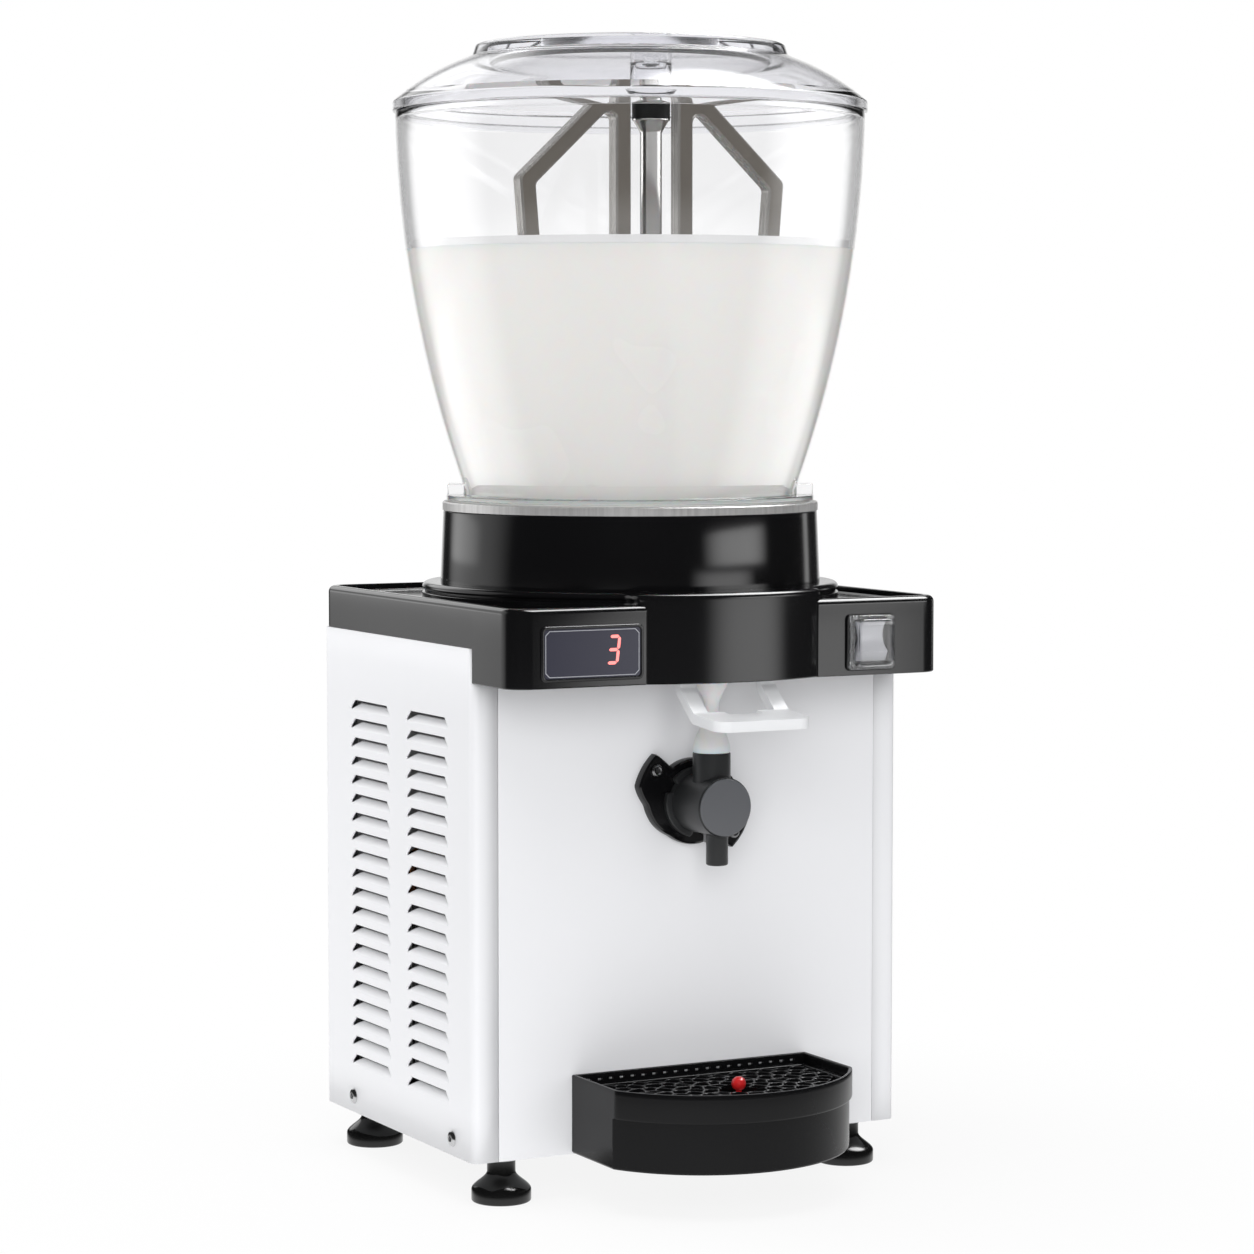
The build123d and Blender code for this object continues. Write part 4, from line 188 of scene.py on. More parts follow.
def full_turn(steps: int) -> Array:
    """Angles of a full turn in equal steps, from 0."""
    return np.linspace(0, 2 * np.pi, steps, endpoint=False)


def units(a: Array) -> Array:
    """Unit vectors (cos a, sin a) at angles."""
    return np.stack([np.cos(a), np.sin(a)], -1)


def arc(centre: tuple[float, float], r: float, start: float, end: float, steps: int = 8) -> Array:
    """Points on an arc: centre + r (cos a, sin a) with a from start to end in degrees."""
    a = np.radians(np.linspace(start, end, steps + 1))
    return np.array(centre, float) + r * units(a)


def rounded(corners: list[tuple[float, float, float]], loop: bool = True, steps: int = 5) -> Array:
    """Polyline with round corners.

    Each corner (u, v, r) with r > 0 becomes an arc of radius r that touches both sides:
    its centre lies on the bisector, r / sin(half angle) from the corner.

    Args:
        corners: places and radii.
        loop: treat the corners as a closed polygon.
        steps: segments in each arc.

    Returns:
        The points of the line.
    """
    places = np.array([c[:2] for c in corners], float)
    count = len(places)
    line = []
    for k, (_, _, r) in enumerate(corners):
        p = places[k]
        if r <= 0 or (not loop and k in (0, count - 1)):
            line.append(p[None])
            continue
        a, b = places[k - 1] - p, places[(k + 1) % count] - p
        a, b = a / np.linalg.norm(a), b / np.linalg.norm(b)
        half = math.acos(float(np.clip(a @ b, -1, 1))) / 2
        bisector = (a + b) / np.linalg.norm(a + b)
        centre = p + bisector * r / math.sin(half)
        u, v = p + a * r / math.tan(half) - centre, p + b * r / math.tan(half) - centre
        turn = math.atan2(u[0] * v[1] - u[1] * v[0], u @ v)
        t = np.linspace(0, turn, steps + 1)[:, None]
        line.append(centre + u * np.cos(t) + np.array([-u[1], u[0]]) * np.sin(t))
    return np.concatenate(line)


class Axis(Enum):
    """Direction of a turned or stacked surface."""

    X = 0
    Y = 1
    Z = 2


def in_space(flat: Array, height: Array, axis: Axis) -> Array:
    """Points of a plane across an axis, put in space at heights along it.

    X takes (y, z), Y takes (x, z) and Z takes (x, y).
    """
    height = np.broadcast_to(height, flat.shape[:-1])
    return np.insert(flat, axis.value, 0, axis=-1) + height[..., None] * np.eye(3)[axis.value]


def turned(
    profile: Array,
    centre: tuple[float, float],
    axis: Axis = Axis.Z,
    loop: bool = False,
    steps: int = 128,
) -> Surface:
    """Profile of radius and height turned round an axis.

    The point at angle a is centre + r (cos a, sin a) across the axis, at its height.

    Args:
        profile: radii and heights.
        centre: place of the axis in the plane across it.
        axis: direction of the axis.
        loop: the profile is a closed ring section.
        steps: segments round the axis.

    Returns:
        The closed surface.
    """
    flat = np.array(centre, float) + profile[:, None, :1] * units(full_turn(steps))
    return skin(in_space(flat, profile[:, 1:2], axis), loop)


def stacked(outlines: list[Array], heights: list[float], axis: Axis, loop: bool = False) -> Surface:
    """Skin over plane outlines of equal length, each at its height along an axis."""
    flat = np.stack(outlines)
    return skin(in_space(flat, np.array(heights, float)[:, None], axis), loop)


def between(outer: Array, inner: Array, section: list[tuple[float, float]], axis: Axis) -> Surface:
    """Ring section carried round a frame.

    A section point (t, h) lies at outer (1 - t) + inner t, at height h along the axis.
    """
    outlines = [outer * (1 - t) + inner * t for t, _ in section]
    return stacked(outlines, [h for _, h in section], axis, loop=True)


def inset(outline: Array, distance: float, loop: bool = True) -> Array:
    """Outline moved to its left by a distance along its mitred normals.

    The normal at a point is the sum of its two sides' unit normals, lengthened so that
    each side moves by the whole distance.

    Args:
        outline: points of the line.
        distance: how far it moves.
        loop: the outline is closed.

    Returns:
        The moved points, as many as before.
    """
    ahead = np.roll(outline, -1, 0) - outline
    back = outline - np.roll(outline, 1, 0)
    if not loop:
        ahead[-1], back[0] = back[-1], ahead[0]
    n1, n2 = (np.stack([-d[:, 1], d[:, 0]], -1) / np.linalg.norm(d, axis=1)[:, None] for d in (ahead, back))
    mean = n1 + n2
    return outline + distance * 2 * mean / np.einsum("ij,ij->i", mean, mean)[:, None]


def box_outline(half_u: float, half_v: float, r: float, centre: tuple[float, float], steps: int = 5) -> Array:
    """Rounded rectangle, anticlockwise."""
    corners = [(half_u, -half_v, r), (half_u, half_v, r), (-half_u, half_v, r), (-half_u, -half_v, r)]
    return rounded(corners, steps=steps) + np.array(centre, float)


def bricks(lows: Array, highs: Array) -> Surface:
    """Boxes between pairs of corners.

    Args:
        lows: each box's corner of least coordinates.
        highs: the opposite corners.

    Returns:
        One surface with six faces for each box.
    """
    around = [[0, 0], [1, 0], [1, 1], [0, 1]]
    picks = np.array([[*corner, level] for level in (0, 1) for corner in around])
    lows, highs = np.atleast_2d(lows), np.atleast_2d(highs)
    points = np.where(picks[None], highs[:, None], lows[:, None]).reshape(-1, 3)
    ends = [[0, 3, 2, 1], [4, 5, 6, 7]]
    sides = np.array(ends + [[k, (k + 1) % 4, (k + 1) % 4 + 4, k + 4] for k in range(4)])
    faces = (sides[None] + 8 * np.arange(len(lows))[:, None, None]).reshape(-1, 4)
    return Surface(points, faces.tolist())


def smooth_step(x: Array | float, low: float, high: float) -> Array:
    """t t (3 - 2 t), where t goes from 0 at low to 1 at high."""
    t = np.clip((np.asarray(x, float) - low) / (high - low), 0, 1)
    return t * t * (3 - 2 * t)


def hexagon(r: float, a: Array) -> Array:
    """Radius at each angle of a hexagon with its corners at r.

    It is r cos 30 / cos b, where b is the angle from the nearest side's middle.
    """
    return r * np.cos(np.pi / 6) / np.cos((a + np.pi / 6) % (np.pi / 3) - np.pi / 6)


def bowl_radius(height: Array | float) -> Array:
    """Outer radius of the bowl at a height above its foot: one arc through foot, belly and rim.

    The arc's centre lies as far from the belly and from the rim as from the foot, which are
    two linear equations.

    Args:
        height: one or more heights.

    Returns:
        The radius at each height.
    """
    r, z = np.array(BOWL_RADII), np.array(BOWL_HEIGHTS)
    chords = np.stack([r - r[0], z - z[0]], -1)[1:]
    squares = (r**2 + z**2 - r[0] ** 2 - z[0] ** 2)[1:]
    centre = np.linalg.solve(2 * chords, squares)
    size = math.hypot(r[0] - centre[0], z[0] - centre[1])
    return centre[0] + np.sqrt(size**2 - (np.asarray(height, float) - centre[1]) ** 2)


# Finishes


class Pattern(Enum):
    """How a finish varies over a piece."""

    MOTTLED = "mottled"
    BRUSHED = "brushed"
    PEEL = "peel"


class Groups:
    """Shader node groups that several finishes share."""

    def __init__(self) -> None:
        """Starts with no group made."""
        self.made: dict[str, bpy.types.NodeTree] = {}

    def get(self, pattern: Pattern) -> bpy.types.NodeTree:
        """The node group for a pattern, made at first use.

        Args:
            pattern: which pattern.

        Returns:
            A group with sockets Scale, Colour A, Colour B, Rough A, Rough B in, and
            Colour, Roughness and Height out.
        """
        if pattern.value not in self.made:
            self.made[pattern.value] = self._make(pattern)
        return self.made[pattern.value]

    def _make(self, pattern: Pattern) -> bpy.types.NodeTree:
        """A new group: noise blends the two colours and the two roughnesses.

        Args:
            pattern: which pattern.

        Returns:
            The new group.
        """
        tree = bpy.data.node_groups.new(f"{pattern.value}_finish", "ShaderNodeTree")
        face = tree.interface
        for name, kind, way in (
            ("Scale", "NodeSocketFloat", "INPUT"),
            ("Colour A", "NodeSocketColor", "INPUT"),
            ("Colour B", "NodeSocketColor", "INPUT"),
            ("Rough A", "NodeSocketFloat", "INPUT"),
            ("Rough B", "NodeSocketFloat", "INPUT"),
            ("Colour", "NodeSocketColor", "OUTPUT"),
            ("Roughness", "NodeSocketFloat", "OUTPUT"),
            ("Height", "NodeSocketFloat", "OUTPUT"),
        ):
            face.new_socket(name, in_out=way, socket_type=kind)
        nodes, links = tree.nodes, tree.links
        source, sink = nodes.new("NodeGroupInput"), nodes.new("NodeGroupOutput")
        place = nodes.new("ShaderNodeTexCoord")
        stretch = nodes.new("ShaderNodeMapping")
        stretch.inputs["Scale"].default_value = (1, 1, 0.02) if pattern is Pattern.BRUSHED else (1, 1, 1)
        links.new(place.outputs["Object"], stretch.inputs["Vector"])
        fine = nodes.new("ShaderNodeTexNoise")
        fine.inputs["Detail"].default_value = 3.0 if pattern is Pattern.PEEL else 5.0
        links.new(stretch.outputs["Vector"], fine.inputs["Vector"])
        links.new(source.outputs["Scale"], fine.inputs["Scale"])
        broad = nodes.new("ShaderNodeTexNoise")
        broad.inputs["Scale"].default_value = 7.0
        broad.inputs["Detail"].default_value = 2.0
        links.new(place.outputs["Object"], broad.inputs["Vector"])
        spread = nodes.new("ShaderNodeMapRange")
        spread.inputs["From Min"].default_value = 0.3
        spread.inputs["From Max"].default_value = 0.7
        links.new((fine if pattern is Pattern.BRUSHED else broad).outputs["Fac"], spread.inputs["Value"])
        tint = nodes.new("ShaderNodeMix")
        tint.data_type = "RGBA"
        links.new(spread.outputs["Result"], tint.inputs["Factor"])
        links.new(source.outputs["Colour A"], tint.inputs["A"])
        links.new(source.outputs["Colour B"], tint.inputs["B"])
        rough = nodes.new("ShaderNodeMix")
        links.new(spread.outputs["Result"], rough.inputs["Factor"])
        links.new(source.outputs["Rough A"], rough.inputs["A"])
        links.new(source.outputs["Rough B"], rough.inputs["B"])
        links.new(tint.outputs["Result"], sink.inputs["Colour"])
        links.new(rough.outputs["Result"], sink.inputs["Roughness"])
        links.new(fine.outputs["Fac"], sink.inputs["Height"])
        return tree


GROUPS = Groups()


@dataclass(frozen=True)
class Finish:
    """A procedural surface finish.

    Colour and roughness run between two values by the pattern's noise, whose fine part
    also sets the bump's height.
    """

    name: str
    colour: tuple[float, float, float]
    shade: float = 0.94
    rough: tuple[float, float] = (0.3, 0.36)
    metallic: float = 0.0
    pattern: Pattern = Pattern.MOTTLED
    scale: float = 120.0
    bump: float = 0.0
    coat: float = 0.0
    clear: float = 0.0
    ior: float = 1.5
    glow: float = 0.0
    flesh: float = 0.0
    specular: float = 0.5
    alpha: float = 1.0

    def material(self) -> bpy.types.Material:
        """The Blender material, made once.

        Returns:
            A material with one Principled shader fed by the pattern's group.
        """
        made = bpy.data.materials.get(f"finish_{self.name}")
        if made is not None:
            return made
        made = bpy.data.materials.new(f"finish_{self.name}")
        made.use_nodes = True
        nodes, links = made.node_tree.nodes, made.node_tree.links
        shader = nodes["Principled BSDF"]
        group = nodes.new("ShaderNodeGroup")
        group.node_tree = GROUPS.get(self.pattern)
        group.inputs["Scale"].default_value = self.scale
        group.inputs["Colour A"].default_value = (*self.colour, 1.0)
        group.inputs["Colour B"].default_value = (*(c * self.shade for c in self.colour), 1.0)
        group.inputs["Rough A"].default_value, group.inputs["Rough B"].default_value = self.rough
        links.new(group.outputs["Colour"], shader.inputs["Base Color"])
        links.new(group.outputs["Roughness"], shader.inputs["Roughness"])
        if self.bump > 0:
            bump = nodes.new("ShaderNodeBump")
            bump.inputs["Distance"].default_value = self.bump * MM
            links.new(group.outputs["Height"], bump.inputs["Height"])
            links.new(bump.outputs["Normal"], shader.inputs["Normal"])
        shader.inputs["Metallic"].default_value = self.metallic
        shader.inputs["IOR"].default_value = self.ior
        shader.inputs["Coat Weight"].default_value = self.coat
        shader.inputs["Transmission Weight"].default_value = self.clear
        shader.inputs["Specular IOR Level"].default_value = self.specular
        shader.inputs["Alpha"].default_value = self.alpha
        shader.inputs["Subsurface Weight"].default_value = self.flesh
        shader.inputs["Subsurface Scale"].default_value = 0.01
        if self.glow > 0:
            links.new(group.outputs["Colour"], shader.inputs["Emission Color"])
            shader.inputs["Emission Strength"].default_value = self.glow
        if self.clear == 1.0:
            self.let_light_through(made.node_tree)
        return made

    def let_light_through(self, tree: bpy.types.NodeTree) -> None:
        """Lets lamp light pass straight through the clear piece, less its tint.

        Args:
            tree: the material's node tree.
        """
        kinds = ("LightPath", "BsdfTransparent", "MixShader")
        path, film, mix = (tree.nodes.new(f"ShaderNode{kind}") for kind in kinds)
        film.inputs["Color"].default_value = (*self.colour, 1.0)
        tree.links.new(path.outputs["Is Shadow Ray"], mix.inputs["Fac"])
        tree.links.new(tree.nodes["Principled BSDF"].outputs["BSDF"], mix.inputs[1])
        tree.links.new(film.outputs["BSDF"], mix.inputs[2])
        tree.links.new(mix.outputs["Shader"], tree.nodes["Material Output"].inputs["Surface"])


def peel(
    name: str,
    colour: tuple[float, float, float],
    shade: float,
    rough: tuple[float, float],
    scale: float,
    bump: float,
    specular: float = 0.5,
) -> Finish:
    """Sprayed or moulded finish with a fine orange peel, its bump's height in millimetres."""
    return Finish(name, colour, shade, rough, 0.0, Pattern.PEEL, scale, bump, specular=specular)


def brushed(
    name: str,
    colour: tuple[float, float, float],
    shade: float,
    rough: tuple[float, float],
    metallic: float,
    scale: float,
    bump: float = 0.0,
) -> Finish:
    """Brushed finish, drawn out upwards, its bump's height in millimetres."""
    return Finish(name, colour, shade, rough, metallic, Pattern.BRUSHED, scale, bump)


PAINT = peel("white_powder_coat", (0.855, 0.86, 0.88), 0.985, (0.34, 0.42), 700, 0.012)
# Near-black finish of the side panels' inner faces: painted shade, which makes the louvre slots look black
# inside.
PAINTED_SHADE_LINING = peel("painted_shade_lining", (0.004, 0.004, 0.0042), 0.8, (0.5, 0.6), 500, 0.02)
GLOSS = peel("gloss_black", (0.004, 0.004, 0.0045), 0.7, (0.10, 0.16), 260, 0.003)
COVER = peel("cover_black", (0.004, 0.004, 0.0045), 0.7, (0.13, 0.19), 400, 0.003)
SATIN = peel("satin_black", (0.0045, 0.0045, 0.005), 0.75, (0.2, 0.3), 900, 0.02, 0.23)
CHARCOAL = peel("charcoal", (0.018, 0.019, 0.02), 0.8, (0.36, 0.44), 800, 0.012)
CHARCOAL_FACE = peel("charcoal_face", (0.105, 0.109, 0.118), 0.9, (0.34, 0.4), 800, 0.01)
DRAIN = Finish("drain_grey", (0.19, 0.19, 0.195), 0.85, (0.3, 0.4))
STEEL = brushed("stainless", (0.66, 0.66, 0.67), 0.86, (0.16, 0.26), 1.0, 420.0, 0.002)
# Darker copy of the screw steel for the flange's heads: painted shade, which tones down their reflection.
SHADED_STEEL = brushed("shaded_steel", (0.26, 0.26, 0.265), 0.86, (0.24, 0.34), 1.0, 420.0)
POLISHED = brushed("polished_shaft", (0.46, 0.455, 0.445), 0.85, (0.1, 0.2), 1.0, 300.0)
BAND = brushed("brushed_band", (0.62, 0.615, 0.61), 0.78, (0.3, 0.45), 0.6, 420.0, 0.002)
CAP = Finish("cap_black", (0.006, 0.006, 0.006), 0.8, (0.3, 0.4), specular=0.15)
ZINC = Finish("galvanised", (0.55, 0.56, 0.57), 0.8, (0.34, 0.5), 1.0, scale=60.0)
CLEAR = Finish("clear_plastic", (0.992, 0.992, 0.996), 0.997, (0.015, 0.03), clear=1.0, ior=1.49)
LID_CLEAR = Finish("clear_lid", (0.95, 0.95, 0.97), 0.99, (0.015, 0.03), clear=1.0, ior=1.49)
BOOT = Finish("clear_boot", (0.95, 0.955, 0.965), 0.98, (0.03, 0.06), clear=1.0, ior=1.41)
MILK = Finish("ayran", (0.79, 0.782, 0.762), 0.99, (0.22, 0.3), flesh=0.4, ior=1.35)
FILM = Finish("wet_film", (0.96, 0.96, 0.96), 0.99, (0.2, 0.3), ior=1.35, alpha=0.8)
PADDLE = peel("paddle_grey", (0.17, 0.154, 0.132), 0.85, (0.26, 0.36), 500, 0.01, 0.3)
# Lighter, part-metallic copy of the paddle grey for the paddles' sides and bevels: a painted highlight.
PADDLE_PAINTED_HIGHLIGHT = brushed("paddle_edge", (0.33, 0.318, 0.297), 0.75, (0.2, 0.32), 0.4, 300.0)
LEVER = peel("lever_white", (0.83, 0.84, 0.855), 0.98, (0.3, 0.38), 400, 0.006, 0.3)
SILICONE = Finish("milky_silicone", (0.86, 0.86, 0.87), 0.96, (0.32, 0.42), clear=0.1, flesh=0.5, ior=1.41)
BEZEL = peel("bezel_grey", (0.008, 0.008, 0.009), 0.85, (0.2, 0.28), 900, 0.012)
GLASS = Finish("tinted_window", (0.03, 0.03, 0.047), 0.93, (0.14, 0.2), specular=0.25)
LINE = Finish("window_line", (0.42, 0.43, 0.47), 0.95, (0.3, 0.4))
DIGIT = Finish("lit_segment", (0.97, 0.22, 0.205), 0.9, (0.3, 0.4), glow=1.2)
ROCKER = peel("rocker_grey", (0.4, 0.4, 0.42), 0.9, (0.14, 0.2), 700, 0.008)
RED = Finish("red_float", (0.62, 0.018, 0.02), 0.85, (0.16, 0.22))
RUBBER = peel("black_rubber", (0.014, 0.014, 0.014), 0.8, (0.5, 0.6), 600, 0.02)
FOOT = peel("gloss_foot", (0.005, 0.005, 0.005), 0.8, (0.14, 0.2), 300, 0.004)
WHITE_RUBBER = Finish("white_rubber", (0.7, 0.7, 0.68), 0.95, (0.45, 0.55))
BOARD = Finish("circuit_board", (0.012, 0.09, 0.035), 0.8, (0.3, 0.4))
FOAM = peel("foam", (0.62, 0.56, 0.36), 0.85, (0.8, 0.95), 300, 0.2)
COPPER = Finish("copper", (0.72, 0.34, 0.19), 0.8, (0.22, 0.34), 1.0)
FIN = brushed("fin_aluminium", (0.72, 0.73, 0.74), 0.85, (0.3, 0.42), 1.0, 200.0)
CAN = peel("painted_can", (0.015, 0.015, 0.016), 0.7, (0.3, 0.4), 400, 0.01)

SLOT_FINISHES: dict[str, Finish] = {
    "panel_white": PAINT, "pan_steel": ZINC, "screw_steel": STEEL, "cover_black": COVER, "stainless": STEEL,
    "clear": CLEAR, "gasket_rubber": WHITE_RUBBER, "seal_rubber": RUBBER, "paddle_grey": PADDLE,
    "shaft_steel": POLISHED, "cap_black": CAP, "tap_charcoal": CHARCOAL, "tube_silicone": SILICONE,
    "lever_white": LEVER, "bezel_grey": BEZEL, "display_glass": GLASS, "board_green": BOARD,
    "switch_black": GLOSS, "tray_black": SATIN, "float_red": RED, "foot_black": FOOT, "bush_steel": ZINC,
    "foam": FOAM, "copper": COPPER, "fin_aluminium": FIN, "compressor_black": CAN, "motor_steel": ZINC,
    "fan_black": SATIN, "beam_steel": ZINC, "inlet_black": SATIN,
}


def place_piece(
    name: str,
    surface: Surface,
    finish: Finish,
    body: str,
    nodes: tuple[str, ...] = (),
    sharp: float = 32.0,
) -> bpy.types.Object:
    """Makes an object from a surface and hangs it on its body.

    Args:
        name: the piece's name.
        surface: its mesh in millimetres.
        finish: its finish.
        body: the CAD body that it rides.
        nodes: CAD nodes that it stands for.
        sharp: angle in degrees above which an edge stays sharp.

    Returns:
        The object.
    """
    mesh = bpy.data.meshes.new(name)
    mesh.from_pydata((surface.points * MM).tolist(), [], surface.faces)
    mesh.materials.append(finish.material())
    mesh.shade_smooth()
    mesh.set_sharp_from_angle(angle=math.radians(sharp))
    obj = bpy.data.objects.new(name, mesh)
    bpy.context.scene.collection.objects.link(obj)
    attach(obj, body)
    if nodes:
        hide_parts(*nodes)
    LOG.info("%s rides %s", name, body)
    return obj


def add_solidify(obj: bpy.types.Object, thickness: float, offset: float) -> bpy.types.SolidifyModifier:
    """Gives an open sheet its thickness in millimetres, and hands back the modifier.

    Args:
        obj: the sheet.
        thickness: in millimetres.
        offset: -1 keeps the sheet as the outer face, 0 as the middle.

    Returns:
        The modifier.
    """
    solid = obj.modifiers.new("thickness", "SOLIDIFY")
    solid.thickness, solid.offset = thickness * MM, offset
    return solid


def add_bevel(obj: bpy.types.Object, width: float, segments: int = 3) -> None:
    """Rounds an object's sharp edges by a width in millimetres.

    Args:
        obj: the piece.
        width: in millimetres.
        segments: facets across each round edge.
    """
    bevel = obj.modifiers.new("edges", "BEVEL")
    bevel.width, bevel.segments = width * MM, segments
    bevel.limit_method, bevel.angle_limit = "ANGLE", math.radians(40)


# Sub-assemblies


@dataclass
class Cabinet:
    """Painted side panels with louvres, and their screws."""

    rows: int = 20
    pitch: float = 12.15
    top_gap: float = 44.5
    middles: tuple[float, float] = (65.5, 152.5)
    length: float = 61.0
    rise: float = 7.0
    depth: float = 4.5
    slot: float = 2.0
    splay: float = 3.0
    slant: tuple[float, float] = (4.5, 6.0)
    open_end: float = 7.5
    bend_r: float = 5.0
    lip: float = 17.0
    sheet: float = 1.0
    lean_height: float = 5.0
    screw_height: float = 10.5

    def columns(self) -> tuple[Array, Array]:
        """Plan of a side panel, from the front return round to the rear return.

        Returns:
            Plan points of the left panel and, for each, its place along Y on the flat
            side, or infinity on the bends and returns.
        """
        ease = np.array([-0.6, 0, 0.5, 1.0, 1.5, 2.0, 2.5, 3.0, 3.6, 4.2, 4.8, 5.4])
        sides = [[y + ease, [y + self.length / 2], (y + self.length - ease)[::-1]] for y in self.starts()]
        y0, y1 = FRONT_Y + self.bend_r, BACK_Y - self.bend_r
        flat_y = np.concatenate([[y0 + 0.6], *sides[0], *sides[1], [y1 - 0.6]])
        x0, x1, r = -HALF_X, self.lip - HALF_X, self.bend_r
        front = np.concatenate([[[x1, FRONT_Y], [x0 + r + 0.6, FRONT_Y]], arc((x0 + r, y0), r, 270, 180)])
        rear = np.concatenate([arc((x0 + r, y1), r, 180, 90), [[x0 + r + 0.6, BACK_Y], [x1, BACK_Y]]])
        flat = np.stack([np.full(len(flat_y), x0), flat_y], -1)
        along = np.concatenate([np.full(len(front), np.inf), flat_y, np.full(len(rear), np.inf)])
        return np.concatenate([front, flat, rear]), along

    def starts(self) -> tuple[float, float]:
        """Front ends of the two columns of louvres."""
        first, second = self.middles
        return FRONT_Y + first - self.length / 2, FRONT_Y + second - self.length / 2

    def panel(self) -> Surface:
        """Left panel as an open sheet with pressed louvres and open slots.

        The depth is the lesser of a ramp, which rises straight from the louvre's lower
        edge, and an end wall, which rises by a smooth step over its splay. The quads of
        the opening are left out: the slot along the top, a triangle at the rear end and
        a narrow strip down the front end. Near its top the louvre grows shorter: over the
        lean's height its ends move inwards in proportion to the height.

        Returns:
            The open sheet.
        """
        plan, along = self.columns()
        tops = PANEL_TOP - self.top_gap - self.pitch * np.arange(self.rows)
        slope = [-6.6, -6.1, -5.6, -5.0, -4.4, -3.8, -3.2, -2.6]
        steps = np.array([-self.rise - 0.6, -self.rise, *slope, -self.slot, -0.001, 0.6])
        levels = np.concatenate([[FOOT_Z], (tops[::-1, None] + steps).ravel(), [PANEL_TOP]])
        # Each level's height from its louvre's top, and a far one at the panel's own edges
        away = 20
        drop = np.concatenate([[-away], np.tile(steps, self.rows), [away]])
        t = np.clip((drop + self.rise) / (self.rise - self.slot), 0, 1)
        ramp = np.where(drop <= -self.slot, self.depth * t, 0)
        front, rear = self.end_distances(along)
        end = smooth_step(np.minimum(front, rear), 0, self.splay)
        push = np.minimum(ramp[:, None], self.depth * end[None, :])
        points = np.empty((len(levels), len(plan), 3))
        points[..., 0] = plan[None, :, 0] + push
        lean = np.where(drop <= 0, np.clip(drop / self.lean_height + 1, 0, 1), 0)
        points[..., 1] = plan[None, :, 1] + lean[:, None] * self.end_shift(along)[None, :]
        points[..., 2] = levels[:, None]
        faces = quads(len(levels), len(plan), wrap_columns=False)
        row, column = faces[:, 0] // len(plan), faces[:, 0] % len(plan)
        low = drop[row]
        high = np.where(np.isclose(low, away), away, drop[np.minimum(row + 1, len(drop) - 1)])
        mid = (low + high) / 2
        near, far = (front[column] + front[column + 1]) / 2, (rear[column] + rear[column + 1]) / 2
        inside = (low >= -self.rise) & (low < high) & (high <= 0) & (near > 0) & (far > 0)
        lip = mid > -self.slot
        corner = mid > self.rise * (far / self.open_end - 1)
        hook = (near < 0.6) & (mid > -4.4)
        return Surface(points.reshape(-1, 3), faces[~(inside & (lip | corner | hook))][:, ::-1].tolist())

    def end_distances(self, along: Array) -> tuple[Array, Array]:
        """Distances from the front and the rear end of the louvre that a place lies in.

        Args:
            along: places along Y, infinite off the flat side.

        Returns:
            Both distances, or -1 where there is no louvre.
        """
        front = np.full(len(along), -1.0)
        for y in self.starts():
            front = np.where((along >= y) & (along <= y + self.length), along - y, front)
        return front, np.where(front >= 0, self.length - front, -1.0)

    def end_shift(self, along: Array) -> Array:
        """How far each place moves along Y where its louvre is shortest.

        Args:
            along: places along Y, infinite off the flat side.

        Returns:
            The shift of each place, 0 away from the ends.
        """
        shift = np.zeros(len(along))
        for y in self.starts():
            shift = np.where(np.abs(along - y) < 6, self.slant[0], shift)
            shift = np.where(np.abs(along - y - self.length) < 6, -self.slant[1], shift)
        return shift

    def screws(self) -> Surface:
        """Button heads with hexagon sockets on both sides and the rear.

        A head is rings of hexagons in the socket and of circles outside it, turned to face
        its side.

        Returns:
            All the heads as one surface.
        """
        steps = 48
        a = full_turn(steps)
        socket, one = hexagon(2.2, a), np.ones(steps)
        rows = [(socket, 0.5), (socket, 1.62), (socket * 1.08, 1.78)]
        rows += [(one * r, h) for r, h in ((3.4, 1.72), (4.3, 1.3), (4.85, 0.7), (5, 0.0), (5, -0.6))]
        rings = np.stack([np.stack([r * np.cos(a), r * np.sin(a), np.full(steps, h)], -1) for r, h in rows])
        head = skin(rings)
        to_left = np.array([[0, 0, -1], [0, 1, 0], [1, 0, 0]])
        to_right = np.array([[0, 0, 1], [0, 1, 0], [-1, 0, 0]])
        to_rear = np.array([[1, 0, 0], [0, 0, 1], [0, -1, 0]])
        z = FOOT_Z + self.screw_height
        places = []
        for y in (FRONT_Y + 30, BACK_Y - 45):
            places += [((-HALF_X, y, z), to_left), ((HALF_X, y, z), to_right)]
        places += [((x, BACK_Y, z), to_rear) for x in (-110, 110)]
        heads = [Surface(head.points @ turn.T + np.array(at), head.faces) for at, turn in places]
        return heads[0].joined(*heads[1:])

    def build(self) -> None:
        """Places both panels and the screw heads."""
        left = self.panel()
        right = Surface(left.points * np.array([-1, 1, 1]), [face[::-1] for face in left.faces])
        for name, sheet in (("left_panel", left), ("right_panel", right)):
            obj = place_piece(f"{name}_sheet", sheet, PAINT, "cabinet", (name,), 50)
            # The inner face of each sheet gets the near-black finish: painted shade seen through the louvre
            # slots.
            obj.data.materials.append(PAINTED_SHADE_LINING.material())
            add_solidify(obj, self.sheet, -1.0).material_offset = 1
        place_piece("screw_heads", self.screws(), STEEL, "cabinet", ("panel_screws",))


